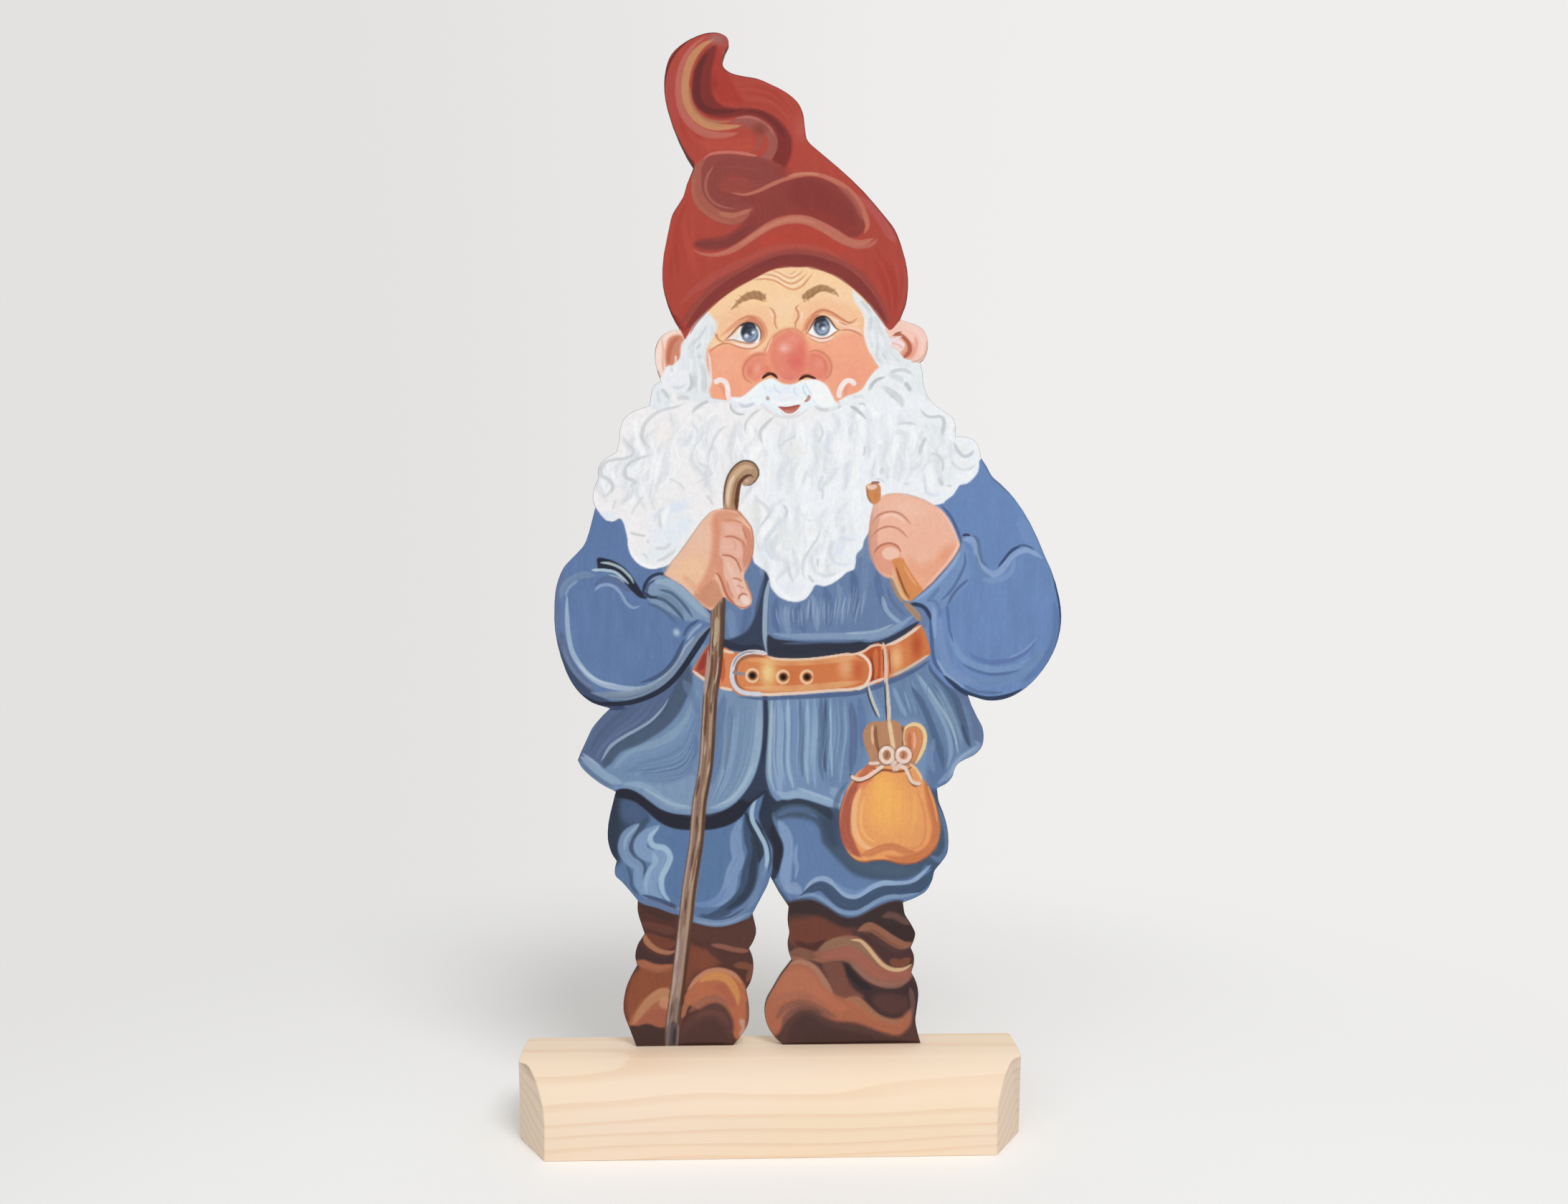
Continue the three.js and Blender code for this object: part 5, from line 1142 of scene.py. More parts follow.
    # the beard's edge on the right cheek
    c.fill("61,366! 57.4,363.6 54.4,360.6 51.6,356.6 49.4,353 46,350.6 41,348.8 36,346! 38,343.6! 46,344.6 "
        "54,345 60,348 68,352 74,356! 80,362!", (243, 247, 250), 0.6, 1, 0.01)
    c.glow(77, 355, 12, 12, (238, 243, 245), 0.95)
    c.glow(62, 353, 10, 6, (241, 246, 249), 0.9)
    cheek = [
        ("42,343.6 45.1,342.1 47.2,340.5 49.3,338.7", (1.4, 1.9), "dark"),
        ("46.4,344.6 49.6,344.6 51,343", 1.1, "mid"), ("36,342.2 37.8,343.8", 1.4, "grey"),
        ("43,347.4 47,348.8 51,347.6", 1.6, "soft"),
        ("62.6,359.6 65.8,362 68.9,362.8 72.1,362.8 74.7,361.5 77.6,359.6", 2.1, "mid"),
        ("63,359 66.6,359.4 70,358 72,356", 3.2, "soft"),
        ("58,353.8 61.2,353.4 63.8,351.6 66.4,349.6 69,347.2 70.6,344.6 70.8,341.6", (1.4, 4.2, 1.6), "mid"),
        ("58.9,356.4 62.6,356 66.3,354.4 69.6,352.2 72.7,349 74.3,345.4", (1.6, 3.4, 2.0), "light"),
        ("55,347 58,342 58.6,339", 3.0, "light"),
        ("52,351 53.2,352.9 54.7,355.4 56.8,357.3 59.5,358.5 62.2,359.4", (2.2, 1.6), "dark"),
        ("71.4,356.6 72.8,355.3 74.2,353.5 75.6,351.2", 2.2, "dark"),
    ]
    paintStrokes(c, cheek, 0.6, 0.92)


facePaint = {
    "skin": (246, 203, 154),
    "warm": (244, 190, 148),
    "cheek": (242, 165, 130),
    "white": (244, 238, 230),
}


def paintEars(c):
    c.fill(shapes["ear_left"], (244, 196, 172), 0.2)
    c.line("-50,383.4 -55,382 -58.8,377.4 -60.6,371 -60.4,364.6 -58.6,358.6", 3.2, (248, 206, 184), 1.0, 0.9)
    c.fill("-54.4,379.4 -49.6,381.2 -46.6,378.8 -48.4,374 -49,368.6 -51.4,366.6 -53.6,363.8 -56,364 "
        "-56.8,369.6 -56,375.4", (208, 128, 98), 0.9)
    c.line("-49,380 -53,376.4 -54.6,370.6 -54.6,365.6", 2.4, (192, 106, 78), 0.9, 0.9)
    c.line("-58.6,379 -57.6,372 -58,365.4 -57,360", 1.2, (230, 164, 136), 0.7, 0.8)
    c.line("-51,370 -51,366", (1.5, 1.2), (240, 198, 182), 0.6, 0.8)
    c.line("-52,384.2 -57,382 -60.6,377.4 -62.4,371 -62.2,364 -60,357.8 -58.6,355", 1, (196, 138, 112), 0.45,
        0.85)
    c.line("-60.6,362 -59.4,357.6", 1, (170, 112, 86), 0.4, 0.7)
    c.fill(shapes["ear_right"], (244, 192, 168), 0.2)
    c.line("66,387 72,387.4 78,385 82,380.4 83,374.4 80.6,369.6", 3.2, (246, 200, 178), 1.2, 0.85)
    c.fill("66,382 71.4,382 75,378.6 77.4,376 77.6,371.6 75,369 71,369 70,372 72,376 70.4,379.4",
        (226, 146, 116), 1.2, 0.9)
    c.line("65.6,381.4 69,382 72,380 74.4,376.8 74.6,373 72,370 70.6,369", (1.8, 2.6), (180, 96, 70), 0.6,
        0.95)
    c.line("70.4,383.4 68.4,383 66.4,382", 1, (150, 88, 68), 0.4, 0.8)
    c.line("77.6,381 78.6,376.4 77.4,371.6", 1.6, (232, 156, 128), 1.0, 0.8)
    c.line("84,379 83.6,373 80,368.4 74.6,367", 0.9, (218, 160, 136), 0.45, 0.8)
    c.fill("63.4,380.4 66,379.6 70,378.6 72,376.6 70.6,373.6 67.6,372.6 65.6,375.6", (244, 214, 204), 0.8,
        0.95)
    c.line("64.4,377.4 68,376.6 71.4,374.8", 1.2, (234, 176, 158), 0.5, 0.85)


def paintFace(c):
    f = facePaint
    c.within(shapes["face"])
    c.fill(shapes["face"], f["skin"], 0.2, 1, 0.012)
    c.glow(-24, 396, 12, 10, (245, 200, 155), 0.8)
    c.glow(38, 402, 13, 10, (246, 205, 163), 0.8)
    c.glow(8, 396, 14, 12, (247, 206, 165), 0.8)
    c.fill("-30,388 -22,394 -10,397 -2,396 2,388 -1,380 -6,374 -22,376 -30,380", f["warm"], 3.5, 0.85, 0.01)
    c.fill("12,390 18,398 28,401 40,398 50,391 50,384 40,380 26,377 16,382", (244, 188, 146), 3.5, 0.85, 0.01)
    c.fill("-34.6,373 -30,374.4 -23,376.4 -14,374 -7,371.6 -3,374 0,366 -2,358 -6,352 -12,345 -24,344 "
        "-36,346 -36,362", f["cheek"], 2.2, 1, 0.012)
    c.fill("18,384 21,379 27,377 33,379.6 40,382.6 47,383 51.4,380 53,374 58,367 60,363 57,350 44,346 "
        "32,346 26,354 20,360 16,370", f["cheek"], 2.2, 1, 0.012)
    c.glow(-24, 366, 12, 9, (243, 171, 136), 0.8)
    c.glow(-22, 352, 9, 7, (241, 158, 126), 0.7)
    c.glow(44, 361, 16, 14, (241, 157, 126), 0.9)
    c.glow(38, 377, 10, 6, (243, 166, 132), 0.7)
    c.glow(-5, 366, 8, 8, (240, 152, 120), 0.7)
    c.glow(-32.6, 366, 3, 12, (236, 156, 124), 0.8)
    # forehead lines
    for path, width, colour in (
        ("-9,410.8 -4,411.4 1,410.8 5,409 9,406.6 13,406 17,408 20,411.6 22.6,414.6", 1.1, (216, 150, 110)),
        ("-5,413.8 0,413.6 4,412.2 8,409.8 12,409.2 16,411.4 19.6,414.8", 1, (220, 156, 116)),
        ("0,416.2 4,415 8,412.8 11.6,412.2 15,414 17.6,416.6", 0.9, (222, 160, 120)),
        ("5,416 8,414.4 11,414.2 13.6,416", 0.8, (222, 162, 122)),
    ):
        c.line(path, width, colour, 0.45, 0.9)
    for path in (
        "-7,412.4 -2,412.6 3,411.4 8,408.4 12,407.6 16,409.6 19,413",
        "-2,415 3,413.8 8,411.2 12,410.8 15.6,413", "3,416.6 7,414.8 11,413.4 14.4,415.4",
    ):
        c.line(path, 0.9, (252, 218, 186), 0.45, 0.8)
    # brows, laid in with short hairs
    c.line("-3,401 -7.4,402.8 -12,402.4 -16,400 -21,395.4", (5.3, 1), (170, 124, 86), 1.0, 0.9)
    for path, width in (
        ("-2.8,399.2 -3.4,401.6 -2.8,403.8", 1.2), ("-4.8,399.6 -6,402.4 -6,405", (1.6, 1.2)),
        ("-7.4,400.4 -8.8,403 -9.4,405.6", 1.5), ("-10,400.4 -11.8,402.6 -13,404.6", (1.5, 1.2)),
        ("-13,399.8 -15.4,401.4 -17,402.6", (1.3, 0.9)), ("-15.6,398.4 -18,399.4 -19.6,400", 1),
        ("-17.4,396.6 -20,396 -21.4,394.6", 1),
    ):
        c.line(path, width, (150, 106, 70), 0.7, 0.42)
    c.line("-3.4,399.2 -7,400.6 -11,400.8 -15,399", 1, (160, 112, 72), 0.5, 0.7)
    c.line("17,401.6 19.6,402.8 27,407 34,405 36,403", (5.5, 1.1), (170, 124, 86), 1.0, 0.9)
    for path, width in (
        ("18.4,398.8 17.6,401.2 17,403.6", 1.4), ("20,399.6 20,402.4 19.4,405", 1.4),
        ("22.4,401.6 22.6,404.4 22.6,406.6", 1.4), ("25,404 26,406.2 26.8,408.4", 1.3),
        ("28,405 29.6,406.6 30.4,408.2", 1.1), ("31.4,405 33.4,405.8 34.6,406.4", 1),
        ("33.6,403.8 35.4,403.4 36.4,402", 1),
    ):
        c.line(path, width, (150, 106, 70), 0.7, 0.42)
    c.line("19,400 22,402.8 26,405 30,405.2 34,403.4", 1, (158, 112, 72), 0.5, 0.7)
    # bridge of the nose
    c.line("-1,396.4 1,394.6 2.2,391.6 2,388.6 2.6,386 3.6,384.4", 1.1, (208, 142, 104), 0.45, 0.9)
    c.line("-0.4,394 1,391", 1, (252, 216, 190), 0.45, 0.7)
    c.line("15,397.6 13.4,396 14.6,393.4 14.6,390.6 13.2,388 13.2,384.6", 1.1, (208, 140, 102), 0.45, 0.9)
    c.line("17,394.6 16.4,391 15.4,388", 1.2, (252, 214, 188), 0.5, 0.7)
    # left eye
    c.line("-28,379.6 -20,386.2 -15.6,389 -10.6,390.4 -6.6,388.8 -4,385 -3.6,380.6 -6,376", (0.8, 3.6, 3.6),
        (224, 152, 114), 1.0, 0.9)
    c.line("-14,388.6 -9.6,389.6 -6,386.8 -4.6,382.6 -5.6,378.6", 2.5, (206, 126, 90), 0.8, 0.85)
    c.line("-17.6,389.2 -12,391.2 -7.6,390", 0.8, (200, 128, 92), 0.45, 0.85)
    c.fill("-22.6,378.6 -19,382 -16.6,385 -13.6,387.4 -10,387.6 -7,385.6 -5.4,382 -6,378.6 -8,376.8 "
        "-12,376.6 -17,377.6", f["white"], 0.4)
    c.glow(-19, 380, 5, 2.8, (232, 216, 204), 0.8, 35)
    c.glow(-6.4, 381.6, 1.8, 3, (250, 240, 230), 0.7)
    c.fill("-16,382 -15.2,385.6 -12.4,387.2 -9.2,386.4 -7.2,383.6 -7,380 -9.2,377.6 -12.2,377.2 -15,379",
        (78, 84, 98), 0.8)
    c.fill("-15,381.6 -13.6,384.6 -11.4,385.8 -9,385 -7.9,382.4 -8.4,379.6 -10.4,378.2 -13,378.4 -14.7,379.8",
        (122, 132, 148), 0.9)
    c.line("-8.8,384 -8.2,382 -8.8,379.8 -10.6,378.8", 1.5, (152, 162, 182), 0.6, 0.9)
    c.fill("-16,382 -15.4,385 -13.4,387.3 -10,387.3 -8,386 -9.8,384.6 -12,384 -13.2,382.4 -14.4,380.8",
        (44, 45, 53), 0.9, 0.95)
    c.fill("-13.2,383.6 -11.4,384.4 -10,383.4 -10.2,381.6 -11.6,381 -13,382", (58, 62, 72), 0.7, 0.9)
    c.line("-12.4,386 -10.6,386.2 -9.4,385.2", 0.9, (88, 94, 106), 0.5, 0.6)
    c.glow(-13.2, 380.8, 2.1, 1.9, (226, 232, 242), 1.0)
    c.glow(-9.6, 382.6, 1.7, 1.4, (230, 236, 244), 1.0)
    c.line("-14.6,379.6 -12,378.2 -9.6,378.6", 0.9, (150, 158, 178), 0.4, 0.8)
    c.line("-24.6,378.4 -21.4,381.4 -18.4,384.8 -15.4,387.2 -11.4,388 -8,387 -5.8,384 -5.4,380.6 -6.4,378", 1,
        (128, 90, 74), 0.45, 0.8)
    c.line("-16.4,386 -12.6,387.6 -8.6,387", 1.2, (44, 36, 36), 0.4, 0.9)
    c.line("-25.6,377.8 -21,378.6 -16.6,377.6 -12,376.8 -8,377.2", 0.8, (176, 118, 92), 0.4, 0.85)
    c.line("-20,376.8 -15,375.4 -10.4,375.2 -7,377", 1.5, (250, 218, 200), 0.5, 0.9)
    c.line("-24,377 -18.6,375.2 -13,373.8 -8.4,374.4 -5.4,376.6", 1, (212, 138, 104), 0.5, 0.9)
    c.line("-31.6,384 -29.6,381 -28,378.6 -24.6,376.6", 1.1, (206, 140, 100), 0.45, 0.85)
    c.line("-30,382.6 -28.4,380", 0.8, (184, 120, 84), 0.4, 0.7)
    c.line("-33.4,371.4 -30.4,374.2 -26.6,376.2 -22,376.8", 1, (206, 136, 98), 0.45, 0.85)
    c.line("-33,373.8 -29.6,376.4 -26.4,377.6", 0.7, (252, 214, 186), 0.45, 0.7)
    # right eye
    c.line("17,383 19,387 21.6,390.6 25,393.6 29,394.6 36.6,390.6 40,388.6", (3.3, 1.7), (224, 150, 112), 0.9,
        0.9)
    c.line("18.6,383.4 20,387 22.6,390.4 26,392.6", 1.9, (206, 126, 90), 0.7, 0.8)
    c.line("21,391 25,394 29,394.8 33,393.6 37,391 41,388.6 45,388.6", 1, (196, 124, 90), 0.45, 0.9)
    c.line("31,391.6 34,390 37,387.6 40.6,386.4", (1.8, 1.3), (248, 206, 184), 0.5, 0.9)
    c.fill("20.4,383 22.4,386 24,389 27,390.8 30,390.6 32.6,388.6 34,386 35.2,384.4 33,382 29.4,380.4 "
        "25.6,380 22.6,381", f["white"], 0.4)
    c.glow(22.2, 383, 2, 2, (250, 240, 232), 0.8)
    c.glow(33, 384, 2, 2.2, (246, 238, 230), 0.8)
    c.fill("23,386 23.8,389.2 26.6,390.8 30,390 31.5,387.4 31.3,383.8 29.2,381.5 26.2,381.3 23.8,383.2",
        (78, 84, 98), 0.8)
    c.fill("24,386 24.9,388.6 27.3,389.6 29.7,388.4 30.7,386 30.3,383.5 28.4,382.2 26.1,382.3 24.5,383.8",
        (122, 132, 148), 0.9)
    c.line("25,384 26.6,382.8 28.8,383 30.2,384.8 30.4,386.8", 1.4, (154, 164, 184), 0.5, 0.9)
    c.fill("25.6,387.4 27.4,388.2 29,387 28.8,385.4 27.4,384.6 26,385.4", (58, 62, 74), 0.7, 0.9)
    c.fill("23.2,386.4 24,389.4 27,391 29.8,390.2 28.4,388.8 26,388 24.6,386.6", (44, 44, 52), 0.7, 0.9)
    c.glow(28.2, 385.0, 2.0, 1.8, (234, 240, 248), 1.0)
    c.glow(25.2, 387.2, 1.4, 1.4, (150, 160, 178), 0.8)
    c.line("18.8,381.8 20.6,384.4 22.4,387.6 24.6,390.4 28,391.6 31,390.4 33,387.8 35,385.2 37.4,384.2",
        (0.7, 1.3, 1), (104, 74, 64), 0.45, 0.85)
    c.line("23.6,389.6 26.6,391.2 29.6,391", 1.1, (40, 34, 36), 0.4, 0.9)
    c.line("19.6,382.4 23,380.6 27,379.6 31,380.4 34.4,382.8 37,384", 0.9, (182, 122, 96), 0.4, 0.85)
    c.line("21.4,380.4 26,378.6 30.6,379 34,381", 1.4, (250, 216, 198), 0.5, 0.9)
    c.line("20,380.4 24,378 28.4,377.4 32.4,378.8", 0.9, (222, 150, 116), 0.5, 0.8)
    c.line("36.4,388.6 40.6,387.2 44,388.8 46.8,391", 0.9, (208, 140, 104), 0.45, 0.85)
    c.line("40.4,387 45,387.2 48.4,388.4", 0.7, (252, 216, 188), 0.45, 0.7)
    c.line("37,384 41.6,384.4 46,383 49.6,380.8", 1, (202, 134, 104), 0.45, 0.85)
    c.line("40,385.6 45,385.2 49,383.4", 1, (250, 206, 184), 0.5, 0.8)
    # nose
    c.fill("-1,378 2,382.2 7,384.8 13,384.8 17.6,382.4 19.6,377.4 22,372.6 27,373 31.4,369.6 33,364 "
        "31.4,358.6 27.6,356.4 22,358.6 15,357.4 10,355 4,357 -3,359.6 -8,356.4 -12.4,357.4 -15,361 "
        "-15.4,365.6 -12.4,370 -7,372.4 -3,373", (236, 147, 116), 1.6, 0.95, 0.01)
    c.fill("0,372 0.8,376.6 4.4,381 9.6,383.2 14.6,382 17.8,378 19,372.4 19,364.6 16,358 10.4,355.6 5,357.4 "
        "0,366.6", (229, 133, 108), 1.6, 0.95, 0.01)
    c.glow(13.5, 367, 8.5, 9, (221, 110, 96), 1.0)
    c.glow(16, 373, 4.2, 8, (225, 116, 99), 0.8)
    c.glow(10, 358.6, 6.4, 3.6, (222, 124, 110), 0.9)
    c.glow(7.4, 374.6, 6, 5, (238, 168, 150), 0.85)
    c.glow(6.8, 374, 2.8, 2, (244, 184, 168), 0.8)
    c.glow(11.4, 378.8, 6, 4, (234, 148, 127), 0.6)
    c.line("1.2,362 5.4,358 10,356.4 15,358", 1.1, (238, 156, 138), 0.5, 0.6)
    c.line("-4.4,371 -2.4,374.4 -0.6,377.8 2.2,381 6.4,383.8 11,384.8 15.2,383.6 18,380.6", 1,
        (210, 140, 104), 0.5, 0.7)
    c.line("-2.4,372 -1,376 1,380", 0.8, (250, 206, 172), 0.5, 0.7)
    c.fill("-13.6,366 -11,369.6 -6.6,371 -3.6,368.6 -3,364 -4,359.6 -7.4,357 -10.6,357.6 -13,361",
        (232, 140, 114), 1.2, 0.95, 0.01)
    c.glow(-7.4, 363.2, 2.8, 4.6, (238, 160, 138), 0.8, -20)
    c.glow(-11.4, 362, 2.4, 4.6, (224, 124, 104), 0.8, -10)
    c.glow(-2, 363, 3.4, 4, (226, 124, 98), 0.7)
    c.line("-2,370.2 -6.4,371 -10.4,369.4 -13.8,366 -15,361.8 -13.8,357.8 -10.4,355.4", 1.1, (202, 126, 92),
        0.5, 0.9)
    c.line("-3.4,372.6 -8,372.8 -12.6,370.6", 0.8, (250, 204, 170), 0.45, 0.6)
    c.fill("20.6,371 25,371.4 29.4,368.4 31,363.6 29.6,359.4 26,358 21.6,359.4 19.6,363.6", (229, 133, 109),
        1.2, 0.95, 0.01)
    c.glow(25.6, 365.6, 4.4, 4.6, (234, 146, 124), 0.8)
    c.glow(29.2, 363.6, 2, 4, (222, 122, 102), 0.7)
    c.line("19.8,372 23.4,373.2 27.4,372.2 31,369 32.6,364.6 31.4,360 28,357.2", 1.1, (204, 128, 96), 0.5,
        0.9)
    c.line("21,370.4 25.4,370.4 28.8,367.4 30,363.4", 0.8, (212, 120, 100), 0.5, 0.6)
    c.line("-4.8,357.8 -2.8,359.6 -0.4,360.6 1.8,359.8 3.6,358", 1.7, (62, 28, 22), 0.35, 0.97)
    c.line("-4,359.6 -1.6,361.4 1.4,361", 0.7, (190, 96, 72), 0.4, 0.7)
    c.line("15,357.2 17,358.6 19.6,359.4 24.4,358", (1.7, 1.4), (60, 28, 22), 0.35, 0.97)
    c.line("16,359.6 19,360.6 22,360.2", 0.7, (192, 98, 74), 0.4, 0.7)
    c.within()
    # moustache
    c.fill("-34,347 -30,346.6 -24,346 -19.4,346.4 -15.6,347.6 -12.4,350.4 -8.6,353.6 -5,356.4 -1,357.8 "
        "2,357.6 5,355.6 9.6,354.6 14,355.6 17,357 21,357.4 25,357.2 28.6,355.2 31.4,351.4 33.4,347 36,345 "
        "37,342.6 33,341 28,341.6 23,342.6 19,341 15.6,337.6 10,335.8 4.6,337.4 1,340.6 -3,342.6 -9,343.4 "
        "-15,343.6 -20,344.6 -26,345 -33,345",
           (236, 239, 242), 0.5, 1, 0.01)
    c.glow(-2, 351, 6, 6, (228, 232, 238), 0.8)
    c.glow(24, 352, 7, 5, (246, 248, 252), 0.9)
    c.glow(8, 352, 7, 4, (229, 231, 234), 0.9)
    c.glow(9, 347.6, 8.6, 4.4, (239, 231, 228), 0.85)
    c.glow(-1, 355, 4, 2, (242, 243, 245), 0.8)
    c.hair("-20,345.6 -13,348.6 -7,352.6 -2,357", "-18,340 -10,344 -3,348 0,354", 7, 1.2,
        [(246, 247, 249), (222, 227, 233), (234, 236, 240)], 0.75, 0.25, 0.5, 73, 0.15)
    c.hair("36,344 31,348 27,353 21,357", "32,339 26,342 22,347 19,352", 7, 1.2,
        [(248, 249, 251), (226, 231, 236), (238, 241, 244)], 0.75, 0.25, 0.5, 74, 0.15)
    c.line("-3,353.6 -4,350.6 -3,347.4", 1.2, (212, 217, 223), 0.5, 0.85)
    c.line("1.4,355 2.4,352 5.4,350", 1.1, (218, 222, 228), 0.5, 0.8)
    c.line("12.6,354 12.6,351 14.4,348.4", 1.1, (214, 220, 227), 0.5, 0.8)
    c.line("17.6,354.6 17.6,351.6 19.4,348.6", 1.2, (206, 210, 216), 0.5, 0.8)
    c.fill("-21.4,347.6 -16,348 -11.4,351 -6,355 -3,350 -4,346.4 -8,342.4 -12,340 -16.4,339.2 -20,340.6 "
        "-21.8,343.6", (238, 241, 247), 0.6, 0.95, 0.01)
    c.line("-20.4,346.4 -16,346.6 -11,349 -6,353.4", 1.5, (249, 250, 252), 0.6, 0.85)
    c.line("-17,343.6 -13,343 -8.6,345", 1.7, (214, 219, 229), 0.8, 0.85)
    c.line("-18.6,341.4 -14,341 -9,342.4 -5,346", 1.9, (250, 251, 253), 0.7, 0.85)
    c.line("-21.8,344.8 -21.5,342.2 -20.1,340.3 -17.9,338.9 -14,338.5", 1.2, (202, 205, 207), 0.5, 0.9)
    c.fill("19.6,356.6 25,356.8 29.6,354.6 32.4,350 34,346.4 32.6,343.2 28.6,342.6 25.4,344.4 22,349 "
        "19.4,352.6", (246, 249, 253), 0.8, 0.9, 0.01)
    c.line("18.4,356 19.6,352.8 22.4,349", 1.2, (212, 219, 226), 0.6, 0.85)
    c.line("23.4,343.4 26,341.6 31,341.2", 1.7, (212, 215, 217), 0.6, 0.9)
    c.line("-2,348.4 -1.4,346.2", (1.9, 1.5), (190, 154, 146), 0.5, 0.9)
    c.line("20.6,349.2 20,347 18,345.6", (2.3, 1.4), (186, 134, 120), 0.5, 0.9)
    c.line("0.4,347 4,344.4 8,344.8 12,345 16,345.6 19,347.6", 1.5, (246, 242, 241), 0.5, 0.9)
    c.line("-6,345 -3,342 1,339 6,337.4 12,337.4 17,339.6 21,343", 1.4, (228, 228, 230), 0.6, 0.8)
    # mouth
    c.fill("4,342.8 6,341 8.4,339.4 11.4,339.4 14,341.2 15.8,343.8 13,343.4 10.6,342.9 8.8,342.5 6.6,342.5",
        (190, 104, 88), 0.45, 1, 0.01)
    c.line("4,342.8 6.6,342.3 9,342.4 11.6,342.8 15.4,343.9", 1, (160, 74, 62), 0.35, 0.85)
    c.line("7.4,340.6 10,340 12.4,340.8", 1.1, (212, 132, 116), 0.4, 0.85)
    c.line("4.4,340.6 8,338.2 12,338.2 15.6,340.6", 0.8, (238, 214, 208), 0.5, 0.85)
    # curls on the cheeks
    c.line("-30.4,355.4 -27.6,357 -24.6,356 -23.2,352.6 -23,349 -22,346", 2.7, (250, 226, 218), 0.45, 0.98,
        (0.04, 0.05))
    c.line("-28.6,353.6 -26.6,353.4 -25.4,351 -25.2,348", 1.2, (226, 148, 118), 0.5, 0.8)
    c.line("-24,354.6 -22.2,350.6", 0.8, (254, 240, 234), 0.4, 0.8)
    c.line("36.6,347.6 37,351.6 38.6,355 41,357 43.8,356.6 45.2,354.4", 2.7, (250, 228, 220), 0.45, 0.98,
        (0.04, 0.05))
    c.line("40,349 40.4,352.4 42,354.4", 1.3, (228, 148, 120), 0.5, 0.8)
    c.line("38,352.6 39.6,355.6", 0.8, (254, 242, 236), 0.4, 0.8)


capPaint = {
    "felt": (177, 69, 57),
    "bright": (186, 76, 61),
    "arch": (194, 112, 92),
    "pink": (190, 104, 90),
    "ochre": (197, 134, 94),
    "shade": (142, 60, 54),
    "valley": (128, 46, 42),
    "deep": (100, 38, 38),
    "rim": (92, 38, 40),
}


